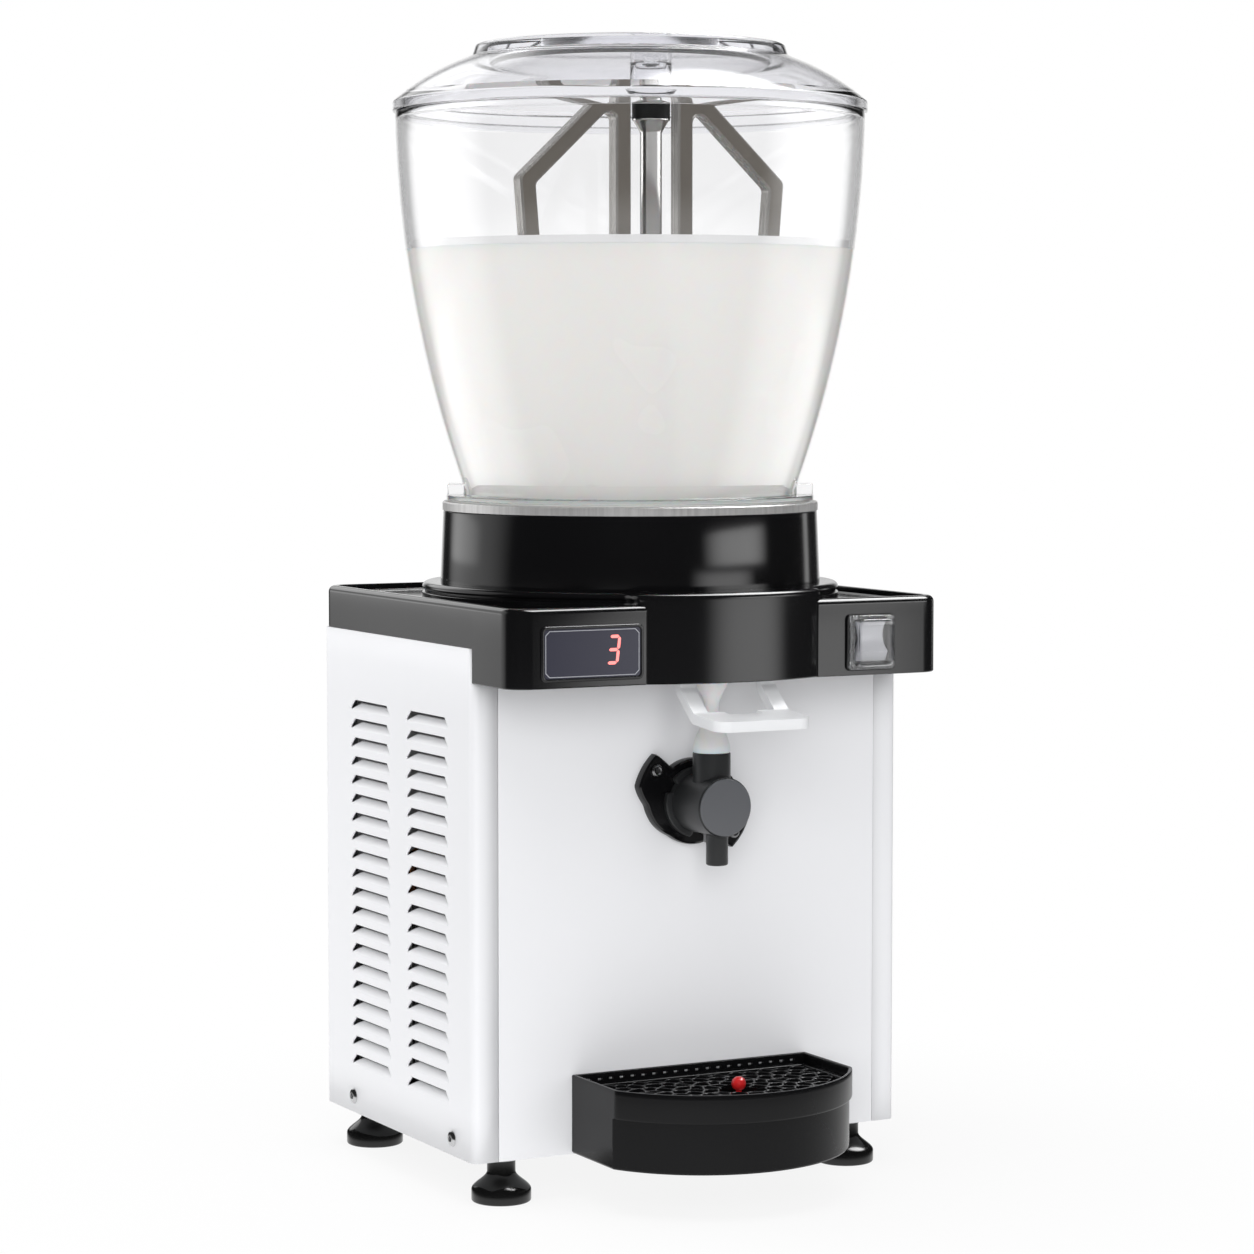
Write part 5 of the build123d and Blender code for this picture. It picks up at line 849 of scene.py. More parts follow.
@dataclass
class Cover:
    """Black moulded top: pods, deck, ring and boss, with the drum and the cold plate."""

    boss_r: float = 146.6
    ring_r: float = 132.6
    boss_gap: float = 58.4
    gap_y: float = -109.0
    boss_half: float = 59.5
    corner_r: float = 14.5
    rim_edge_r: float = 4.0
    ring_edge_r: float = 3.3
    deck_r: float = 125.0
    opening_r: float = 112.0
    thick: float = 3.0
    steps: int = 288

    def shell(self) -> Surface:
        """Skirt, rim and sunk deck carried along the cover's outline.

        A profile point (d, z) lies at the outline moved inwards by d, at height z; the
        deck's inner edge is a circle about the bowl's axis at each point's own angle.

        Returns:
            The closed shell.
        """
        jog, gap, r = 0.02, self.boss_gap, self.corner_r
        right = [
            (gap, self.gap_y, 0), (gap, POD_Y, 2.0), (HALF_X, POD_Y, r), (HALF_X, FRONT_Y - jog, 0),
            (HALF_X, FRONT_Y + jog, 0), (HALF_X, COVER_BACK_Y, r),
        ]
        corners = right + [(-x, y, size) for x, y, size in right[::-1]]
        path = rounded(corners, loop=False, steps=10)
        low = np.where(path[:, 1] < FRONT_Y, FASCIA_Z, PANEL_TOP)
        flat = np.full(len(path), 1.0)
        thick, edge = self.thick, self.rim_edge_r
        rows: list[tuple[float, Array]] = [(thick, (DECK_Z - thick) * flat)]
        rows += [(thick, low), (0.6, low), (0.0, low + 0.6)]
        quarter = np.linspace(0, np.pi / 2, 9)
        rows += [(edge - edge * math.cos(t), (RIM_Z - edge + edge * math.sin(t)) * flat) for t in quarter]
        lip = ((5.6, RIM_Z), (6.6, RIM_Z - 0.35), (7.0, RIM_Z - 1.2), (7.0, DECK_Z + 1), (8.0, DECK_Z))
        rows += [(d, z * flat) for d, z in lip]
        angle = np.arctan2(path[:, 1] - BOWL_Y, path[:, 0])
        circle = self.deck_r * units(angle) + BOWL_AXIS
        lines = [np.column_stack([inset(path, d, loop=False), z]) for d, z in rows]
        lines.append(np.column_stack([circle, DECK_Z * flat]))
        lines.append(np.column_stack([circle, (DECK_Z - thick) * flat]))
        grid = np.stack(lines)
        count, columns = grid.shape[:2]
        faces = quads(count, columns, wrap_rows=True, wrap_columns=False).tolist()
        ring = np.arange(count) * columns
        faces += [ring[::-1].tolist(), (ring + columns - 1).tolist()]
        return Surface(grid.reshape(-1, 3), faces).outward()

    def raised(self) -> Surface:
        """Ring under the drum with its boss.

        The plan's radius steps smoothly from the ring's to the boss's near the front. A
        shallow groove runs round the ring's side and dies out at the boss.

        Returns:
            The closed ring with its boss.
        """
        a = full_turn(self.steps)
        off = np.degrees(np.abs((a + np.pi / 2 + np.pi) % (2 * np.pi) - np.pi))
        boss = 1 - smooth_step(off, 25.0, 30.0)
        r = self.ring_r + (self.boss_r - self.ring_r) * boss
        outline = r[:, None] * units(a) + BOWL_AXIS
        low = np.where(np.abs(outline[:, 0]) < self.boss_half, FASCIA_Z, DECK_Z - 2)
        low = np.where(outline[:, 1] > 0, DECK_Z - 2, low)
        flat = np.full(len(a), 1.0)
        side, thick = 1 - boss, self.thick
        rows = [(thick * flat, (SHOULDER_Z - thick) * flat), (thick * flat, low), (0.6 * flat, low)]
        rows.append((0 * flat, low + 0.6))
        groove = ((0, 368.9), (0.35, 369.3), (1.5, 369.7), (1.5, 370.9), (0.35, 371.3))
        rows += [(d * side, z * flat) for d, z in groove]
        edge, quarter = self.ring_edge_r, np.linspace(0, np.pi / 2, 9)
        rows += [
            ((edge - edge * math.cos(t)) * flat, (SHOULDER_Z - edge + edge * math.sin(t)) * flat)
            for t in quarter
        ]
        unit = inset(outline, 1.0) - outline
        lines = [np.column_stack([outline + unit * d[:, None], z]) for d, z in rows]
        ends = ((123.0, SHOULDER_Z), (self.opening_r, SHOULDER_Z), (self.opening_r, SHOULDER_Z - thick))
        for circle_r, z in ends:
            circle = circle_r * units(a) + BOWL_AXIS
            lines.append(np.column_stack([circle, z * flat]))
        return skin(np.stack(lines), loop=True)

    def drum(self) -> Surface:
        """Tapered drum, a turned ring section with small round edges.

        Returns:
            The closed drum.
        """
        foot_z = SHOULDER_Z - 0.5
        corners = [(121.0, foot_z, 0.3), (119.0, DRUM_Z, 1.2), (116.0, DRUM_Z, 0.3), (118.0, foot_z, 0.3)]
        return turned(rounded(corners), BOWL_AXIS, loop=True, steps=BOWL_STEPS)

    def plate(self) -> Surface:
        """Stainless floor with a turned-down band and a rolled upper edge.

        Returns:
            The closed plate.
        """
        corners = [(119.5, DRUM_Z, 0.3), (119.5, TANK_Z, 1.4), (40.0, TANK_Z, 0), (1.0, TANK_Z, 0)]
        upper = rounded(corners, loop=False)
        lower = np.array([[1.0, TANK_Z - 1.5], [117.5, TANK_Z - 1.5], [118.0, DRUM_Z]])
        return turned(np.concatenate([upper, lower]), BOWL_AXIS, loop=True, steps=BOWL_STEPS)

    def build(self) -> None:
        """Places the cover, the drum and the plate."""
        moulding = self.shell().joined(self.raised())
        place_piece("cover_moulding", moulding, COVER, "cabinet", ("top_cover",), 40)
        place_piece("drum_wall", self.drum(), GLOSS, "cabinet", ("pedestal_drum",))
        place_piece("plate_band", self.plate(), BAND, "cabinet", ("cold_plate",))


@dataclass
class Tank:
    """Clear bowl with the drink, and the lid."""

    level: float = 585.5
    film: float = 5.0
    wall_t: float = 3.0
    edge_r: float = 150.2
    dome_r: float = 147.4
    vent_shift: float = 28.0

    def wall(self) -> Surface:
        """Bowl: a turned ring section between two arcs, with a flange and a round rim.

        Returns:
            The closed wall.
        """
        up, down = np.linspace(6.0, 243.0, 60), np.linspace(243.0, 0.0, 60)
        outer = np.stack([bowl_radius(up), BOWL_Z + up], -1)
        inner = np.stack([bowl_radius(down) - self.wall_t, BOWL_Z + down], -1)
        root, flange_r, flange_z = float(bowl_radius(3)) + 1.2, 117, BOWL_Z + 3
        foot = [(100, BOWL_Z, 0), (flange_r, BOWL_Z, 0.8), (flange_r, flange_z, 0.8), (root, flange_z, 1.0)]
        foot_line = rounded(foot + [(*outer[0], 0)], loop=False)
        edge, top = bowl_radius(243.6), bowl_radius(BOWL_HEIGHTS[2])
        rim = np.array([[edge - 0.4, -0.3], [top - 1.0, 0], [top - 2.0, 0], [edge - 2.6, -0.3]])
        rim = rim + np.array([0, BOWL_TOP])
        profile = np.concatenate([foot_line, outer[1:], rim, inner[:-1]])
        return turned(profile, BOWL_AXIS, loop=True, steps=BOWL_STEPS)

    def lugs(self) -> Surface:
        """Two upright lugs on the flange.

        Returns:
            Both lugs as one surface.
        """
        made = []
        for turn in (-27.0, 153.0):
            a = math.radians(turn)
            outline = box_outline(5.4, 11.0, 1.5, (110.6, 0))
            spin = np.array([[math.cos(a), math.sin(a)], [-math.sin(a), math.cos(a)]])
            flat = outline @ spin + BOWL_AXIS
            middle = flat.mean(0)
            heights = [BOWL_Z + 3.05, BOWL_Z + 9.2, BOWL_Z + 10]
            made.append(stacked([flat, flat, middle + (flat - middle) * 0.9], heights, Axis.Z))
        return made[0].joined(made[1])

    def drink(self) -> Surface:
        """Drink: a turned solid that wets the wall, with a small meniscus at its edge.

        Returns:
            The closed solid.
        """
        h = np.linspace(0.2, self.level - BOWL_Z, 40)
        side = np.stack([bowl_radius(h) - 2.7, BOWL_Z + h], -1)
        edge = np.array([side[-1, 0], self.level])
        meniscus = edge + np.array([[-0.4, 0.2], [-1.5, -0.9], [-4.0, -1.6], [-12, -1.8]])
        foot = [[1.0, BOWL_Z - 0.6], [103.5, BOWL_Z - 0.6]]
        profile = np.concatenate([foot, side, meniscus, [[1.0, self.level - 1.8]]])
        return turned(profile, BOWL_AXIS, steps=BOWL_STEPS)

    def wet_band(self) -> Surface:
        """Thin film that the drink leaves on the wall above its level: a turned ring section.

        Returns:
            The closed band.
        """
        h = np.linspace(self.level - 0.6, self.level + self.film, 8) - BOWL_Z
        wall = np.stack([bowl_radius(h) - 3.05, BOWL_Z + h], -1)
        face = wall[::-1] - np.array([0.35, 0])
        return turned(np.concatenate([wall, face]), BOWL_AXIS, loop=True, steps=BOWL_STEPS)

    def lid(self) -> Surface:
        """Lid: rings about the bowl's axis that slide to the agitator's axis at the vent.

        A profile point (r, z) with a share s is a circle of radius r at height z, whose
        centre lies s times the vent's shift in front of the bowl's axis.

        Returns:
            The closed lid.
        """
        z0 = BOWL_TOP + 0.3
        edge_z, dome_z, ridge_z, plate_z = z0 + 8.5, z0 + 35, z0 + 42, z0 + 32.5
        skirt = float(bowl_radius(240)) - 3.5
        t = np.linspace(0, 1, 14)
        line = np.stack([self.dome_r + (100 - self.dome_r) * t, edge_z + (dome_z - edge_z) * t], -1)
        bulge = 2.5 * 4 * (t * (1 - t))[:, None] * np.array([0.49, 0.87])
        dome = line + bulge
        outer = [(skirt, BOWL_TOP - 4, 0.12), (skirt, z0, 0.5), (self.edge_r, z0, 0.9)]
        outer += [(self.edge_r, edge_z - 2.4, 1.6), (self.dome_r, edge_z, 1.2)]
        ridge = [(*dome[-1], 0), (97.8, ridge_z, 1.6), (92.2, ridge_z, 1.6)]
        ridge += [(89.7, plate_z, 1.5), (80, plate_z, 0)]
        under_z, midway, sleeve_z = plate_z - 2.5, 50.0, 683.0
        top = [[midway, plate_z], [5.6, plate_z], [5.0, plate_z - 0.6], [5.0, plate_z - 2.0]]
        top += [[5.6, under_z], [10.2, under_z]]
        sleeve = [[10.5, plate_z - 3.0], [10.5, sleeve_z + 3], [13.5, sleeve_z + 0.2], [14.6, sleeve_z]]
        sleeve += [[16.0, sleeve_z], [13.2, sleeve_z + 3], [13.0, plate_z - 3.2], [13.6, under_z]]
        under = [[midway, under_z], [87.0, under_z], [88.4, plate_z - 1.6], [91.0, ridge_z - 2.6]]
        under += [[96.4, ridge_z - 2.6], [97.6, dome_z - 2.8]]
        inside = (dome - np.array([1.3, 2.2]))[-2:0:-1]
        skirt_r = skirt - 2.5
        skirt_in = [[skirt_r, edge_z - 3.2], [skirt_r, BOWL_TOP - 3.85], [skirt_r + 0.15, BOWL_TOP - 4.0]]
        about_bowl = [rounded(outer, loop=False), dome[1:-1], rounded(ridge, loop=False)]
        parts = [(piece, 0) for piece in about_bowl]
        parts += [(top, 1), (sleeve, 1), (under, 0), (inside, 0), (skirt_in, 0)]
        profile = np.concatenate([piece for piece, _ in parts])
        slide = np.concatenate([np.full(len(piece), share, float) for piece, share in parts])
        slide[np.isclose(profile[:, 0], midway)] = 0.5
        a = full_turn(BOWL_STEPS)
        rings = np.empty((len(profile), len(a), 3))
        rings[..., 0] = profile[:, :1] * np.cos(a)
        rings[..., 1] = BOWL_Y - self.vent_shift * slide[:, None] + profile[:, :1] * np.sin(a)
        rings[..., 2] = profile[:, 1:2]
        return skin(rings, loop=True)

    def build(self) -> None:
        """Places the bowl, the drink and the lid."""
        place_piece("bowl_wall", self.wall().joined(self.lugs()), CLEAR, "bowl", ("bowl",))
        place_piece("drink", self.drink(), MILK, "bowl", (), 60)
        place_piece("wet_band", self.wet_band(), FILM, "bowl", (), 60)
        place_piece("lid_dome", self.lid(), LID_CLEAR, "lid", ("lid",))


@dataclass
class Agitator:
    """Shaft, cap and the two loop paddles."""

    bar: float = 10.5
    half: float = 5.75
    bevel: float = 1.2
    shaft_r: float = 6.9
    cap_r: float = 12.0
    cap_z: float = 666.0

    def corners(self, less: float) -> list[tuple[float, float, float]]:
        """Corners of the right paddle in X and Z with each side moved inwards.

        Two neighbouring sides n1 . p = d1 and n2 . p = d2 meet at the solution of the
        two equations.

        Args:
            less: how far the sides move.

        Returns:
            Places and corner radii, anticlockwise from the foot of the inner bar.
        """
        ahead, low_z, top_z = 31.0, 437.5, 679.5
        shoulder_z, foot_z = top_z - 51, low_z + 54
        shoulder_x = float(bowl_radius(shoulder_z - BOWL_Z)) - ahead - 22.2
        foot_x = float(bowl_radius(foot_z - BOWL_Z)) - ahead - 10.2
        root, top = 16.7, 38.7
        outer = [(foot_x - 34, low_z), (foot_x, foot_z), (shoulder_x, shoulder_z)]
        p = np.array([(root, low_z), *outer, (top, top_z), (root, top_z)])
        side = np.roll(p, -1, 0) - p
        n = np.stack([-side[:, 1], side[:, 0]], -1) / np.linalg.norm(side, axis=1)[:, None]
        d = np.einsum("ij,ij->i", n, p) + less
        before = np.roll(n, 1, 0), np.roll(d, 1)
        moved = np.linalg.solve(np.stack([before[0], n], 1), np.stack([before[1], d], 1)[..., None])[..., 0]
        radii = (5, 5, 5, 5, 5, 5) if less else (0.9, 5, 5, 5, 2.5, 0.9)
        return [(x, z, r) for (x, z), r in zip(moved.tolist(), radii)]

    def paddle(self) -> Surface:
        """Right paddle: a bevelled bar carried round the loop between two outlines.

        Returns:
            The closed loop.
        """
        b, h = self.bevel / self.bar, self.half
        section = [(0, -h + self.bevel), (b, -h), (1 - b, -h), (1, -h + self.bevel)]
        section += [(t, -v) for t, v in section[::-1]]
        ring = [(t, AGITATOR_Y + v) for t, v in section]
        return between(rounded(self.corners(0)), rounded(self.corners(self.bar)), ring, Axis.Y)

    def shaft(self) -> Surface:
        """Shaft with a flared collar.

        Returns:
            The closed shaft.
        """
        r, z = self.shaft_r, self.cap_z
        collar = [[7.4, z - 7.4], [10.9, z - 1.4], [11.8, z - 0.7], [self.cap_r, z]]
        profile = np.array([[r, 328.0], [r, z - 8.5], *collar])
        return turned(profile, (0, AGITATOR_Y), steps=64)

    def cap(self) -> Surface:
        """Cap with a round upper edge.

        Returns:
            The closed cap.
        """
        top_z = self.cap_z + 14.5
        corners = [(self.cap_r, self.cap_z, 0), (self.cap_r, top_z, 1.6), (0.5, top_z, 0)]
        return turned(rounded(corners, loop=False), (0, AGITATOR_Y), steps=64)

    def build(self) -> None:
        """Places the shaft, the cap and both paddles."""
        right = self.paddle()
        left = Surface(right.points * np.array([-1, 1, 1]), [face[::-1] for face in right.faces])
        place_piece("shaft_bar", self.shaft(), POLISHED, "agitator", ("agitator_shaft",))
        place_piece("shaft_cap", self.cap(), CAP, "agitator", ("agitator_cap",))
        for side, loop in (("right", right), ("left", left)):
            name = f"paddle_{side}"
            obj = place_piece(f"{name}_loop", loop, PADDLE, "agitator", (name,), 24)
            # Sides and bevels, the faces that do not face front or back, get the lighter copy of the paddle
            # grey as a painted highlight.
            obj.data.materials.append(PADDLE_PAINTED_HIGHLIGHT.material())
            normals = np.empty(3 * len(obj.data.polygons), np.float32)
            obj.data.polygons.foreach_get("normal", normals)
            edge = np.abs(normals.reshape(-1, 3)[:, 1]) < 0.95
            obj.data.polygons.foreach_set("material_index", edge.astype(np.int32))


@dataclass
class Tap:
    """Foaming chamber on its lobed flange, the pinch tube and the lever."""

    chamber_r: float = 18.4
    ring_r: float = 22.0
    notch: float = 3.3
    stub_r: float = 11.7
    stub_z: float = 275.0
    nozzle_r: float = 6.8
    nozzle_drop: float = 36.5
    disc_r: float = 17.6
    lobe_start: float = 127.0
    lobe_turn: float = 143.0
    lobe_r: float = 34.0
    lever_half: float = 33.0
    lever_t: float = 6.4

    def chamber(self) -> Surface:
        """Chamber, stub and nozzle, each turned about its own axis.

        The bayonet ring's radius drops in three notches by a smooth step in angle.

        Returns:
            The body, the ring, the stub and the nozzle as one surface.
        """
        y0, y1, body_r = CHAMBER_Y0, CHAMBER_Y1, self.chamber_r
        body_line = [(body_r - 1.2, y0 + 0.6, 0.3), (body_r, y0 + 1.8, 0.6), (body_r, y1, 0)]
        body = turned(rounded(body_line, loop=False), (0, CHAMBER_Z), Axis.Y, steps=96)
        a = full_turn(180)
        off = np.degrees(np.abs((a * 3 + np.pi / 2) % (2 * np.pi) - np.pi)) / 3
        r = self.ring_r - self.notch * (1 - smooth_step(off, 10, 13))
        flat = r[:, None] * units(a)
        outlines = [flat * share + np.array([0, CHAMBER_Z]) for share in (0.93, 0.98, 1, 1)]
        ring = stacked(outlines, [y1 - 4, y1 - 3.8, y1 - 3.2, y1 - 0.1], Axis.Y)
        stub_line = [(self.stub_r, CHAMBER_Z, 0), (self.stub_r, self.stub_z, 0.8), (8.4, self.stub_z, 0)]
        stub = turned(rounded(stub_line, loop=False), (0, TUBE_Y), steps=72)
        tip_z, bore_r = CHAMBER_Z - self.nozzle_drop, 5.0
        nozzle_line = [(bore_r, CHAMBER_Z - 20, 0), (bore_r, tip_z, 0.4)]
        nozzle_line += [(self.nozzle_r, tip_z, 1.3), (self.nozzle_r, CHAMBER_Z, 0)]
        nozzle = turned(rounded(nozzle_line, loop=False), (0, NOZZLE_Y), steps=64)
        return body.joined(ring, stub, nozzle)

    def drain(self) -> Surface:
        """Short drain pipe under the chamber."""
        corners = [(0.4, CHAMBER_Z - 23.5, 0), (3.5, CHAMBER_Z - 23.5, 0.8), (3.5, CHAMBER_Z, 0)]
        return turned(rounded(corners, loop=False), (0, FRONT_Y - 24), steps=40)

    def disc(self) -> Surface:
        """Flat front disc of the chamber with a round edge."""
        corners = [(self.disc_r, CHAMBER_Y0 + 0.9, 0), (self.disc_r, CHAMBER_Y0, 0.8), (0.5, CHAMBER_Y0, 0)]
        return turned(rounded(corners, loop=False), (0, CHAMBER_Z), Axis.Y, steps=96)

    def flange(self) -> Surface:
        """Lobed plate: each half turn has a lobe, then a tail that eases back to the round plate.

        The radius runs straight over the angle between a few corners, and is then smoothed
        by a short running mean.

        Returns:
            The closed plate.
        """
        degrees = np.arange(0, 360, 1.0)
        turns, radii = (0, 3, 38, 55, 80, 104, 180), (27, 41, 41, 33.5, 30.5, 27, 27)
        r = np.interp((degrees - self.lobe_start) % 180, turns, radii)
        r = sum(np.roll(r, k) for k in (-2, -1, 0, 1, 2)) / 5
        a = np.radians(degrees)
        flat = r[:, None] * units(a)
        y = CHAMBER_Y1
        lines = (flat, flat, inset(flat, 0.5), inset(flat, 1.6), 0.5 * flat)
        outlines = [line + np.array([0, CHAMBER_Z]) for line in lines]
        return stacked(outlines, [FRONT_Y - 0.02, y + 2.0, y + 0.7, y, y], Axis.Y)

    def screws(self) -> Surface:
        """Two hexagon-socket heads on the lobes.

        Returns:
            Both heads as one surface.
        """
        steps = 48
        a = full_turn(steps)
        socket, one = hexagon(1.9, a), np.ones(steps)
        rows = [(socket, 0.7), (socket, 2.1)]
        rows += [(one * r, h) for r, h in ((2.5, 2.4), (3.3, 2.2), (3.8, 1.5), (3.8, -0.3))]
        heights = [CHAMBER_Y1 - h for _, h in rows]
        turn = math.radians(self.lobe_turn)
        heads = []
        for reach in (self.lobe_r, -self.lobe_r):
            x, z = reach * math.cos(turn), CHAMBER_Z + reach * math.sin(turn)
            outlines = [np.stack([x + r * np.cos(a), z + r * np.sin(a)], -1) for r, _ in rows]
            heads.append(stacked(outlines, heights, Axis.Y))
        return heads[0].joined(heads[1])

    def tube(self) -> Surface:
        """Pinch tube: ellipses whose half axes ease from round ends to a flat neck.

        Returns:
            The closed tube.
        """
        foot, neck, shoulder = self.stub_z, 304.0, 321.0
        taper, spread = np.linspace(foot + 3, neck, 19), np.linspace(neck + 1, shoulder, 13)
        z = np.concatenate([[foot, foot + 0.4, foot + 2], taper, spread, [330.0, 345.0]])
        down, up = smooth_step(z, foot + 1, neck - 3), smooth_step(-z, -shoulder, -neck)
        pinch = np.where(z < neck, down, up)
        foot_r, top_r, neck_wide, neck_deep = 11.5, 10.6, 4.8, 3.2
        end = np.where(z < neck, foot_r, top_r) - np.where(z < foot + 0.2, 0.5, 0)
        wide, deep = end + (neck_wide - end) * pinch, end + (neck_deep - end) * pinch
        a = full_turn(64)
        rings = np.empty((len(z), 64, 3))
        rings[..., 0] = wide[:, None] * np.cos(a)
        rings[..., 1] = TUBE_Y + deep[:, None] * np.sin(a)
        rings[..., 2] = z[:, None]
        return skin(rings)

    def lever(self) -> Surface:
        """Lever as a sheet: a plan of width and run, bent along the side view's path.

        Quads that fall between the arms or in the tip's notch are left out. The outer
        edge follows a quarter circle near the tip.

        Returns:
            The open sheet.
        """
        corners = [(LEVER_Y, LEVER_Z + 3, 0), (FRONT_Y - 44, FASCIA_Z - 5, 5)]
        corners += [(FRONT_Y - 63, FASCIA_Z - 21, 7), (FRONT_Y - 95, FASCIA_Z - 23.8, 0)]
        path = rounded(corners, loop=False, steps=8)
        run = np.concatenate([[0], np.cumsum(np.linalg.norm(np.diff(path, axis=0), axis=1))])
        heel = run[-1] - 33.0
        notch = heel + np.array([0, 2, 4, 8])
        tip = run[-1] - np.array([9, 8, 6.5, 5, 3.5, 2.2, 1.2, 0.5, 0])
        s = np.unique(np.concatenate([run, notch, tip]).round(3))
        y, z = np.interp(s, run, path[:, 0]), np.interp(s, run, path[:, 1])
        arm, slit, tip_r = 23.0, 11.5, 9.0
        half = np.array([0, 5.5, slit, 17, arm, 26, 29, 31, self.lever_half])
        x = np.concatenate([-half[:0:-1], half])
        left = np.clip(tip_r - (run[-1] - s), 0, tip_r)
        reach = self.lever_half - tip_r + np.sqrt(np.maximum(tip_r**2 - left**2, 0))
        beyond = (np.abs(x) - arm)[None] / (self.lever_half - arm)
        width = arm + beyond * (reach[:, None] - arm)
        scale = np.where(beyond > 0, width / np.maximum(np.abs(x), 1)[None], 1)
        points = np.stack(np.broadcast_arrays(x[None] * scale, y[:, None], z[:, None]), -1)
        faces = quads(len(s), len(x), wrap_columns=False)
        row, column = faces[:, 0] // len(x), faces[:, 0] % len(x)
        mid = np.abs((x[column] + x[column + 1]) / 2)
        run_mid = (s[row] + s[row + 1]) / 2
        gone = ((mid < arm) & (run_mid < heel)) | ((mid < slit) & (run_mid < notch[-1]))
        return Surface(points.reshape(-1, 3), faces[~gone].tolist())

    def hub(self) -> Surface:
        """Round ends of the arms on the pin.

        Returns:
            Both ends as one surface.
        """
        inner, outer = self.lever_half - 10, self.lever_half
        profile = rounded([(2.6, inner, 0), (6, inner, 0.6), (6, outer, 0.6), (2.6, outer, 0)])
        sides = [profile * np.array([1, sign]) for sign in (1, -1)]
        ends = [turned(side, (LEVER_Y, LEVER_Z), Axis.X, loop=True, steps=40) for side in sides]
        return ends[0].joined(ends[1])

    def build(self) -> None:
        """Places the tap, the tube and the lever."""
        place_piece("chamber_body", self.chamber(), CHARCOAL, "cabinet", ("foaming_chamber",))
        place_piece("drain_pipe", self.drain(), DRAIN, "cabinet")
        place_piece("chamber_disc", self.disc(), CHARCOAL_FACE, "cabinet")
        place_piece("flange_plate", self.flange(), GLOSS, "cabinet", ("chamber_flange",))
        # The flange's screw heads take the darker copy of the steel as painted shade.
        place_piece("flange_heads", self.screws(), SHADED_STEEL, "cabinet", ("flange_screws",))
        place_piece("pinch_sleeve", self.tube(), SILICONE, "cabinet", ("pinch_tube",))
        plate = place_piece("lever_plate", self.lever(), LEVER, "lever", ("lever",), 40)
        add_solidify(plate, self.lever_t, 0.0)
        add_bevel(plate, 1.8, 4)
        place_piece("lever_hub", self.hub(), LEVER, "lever")


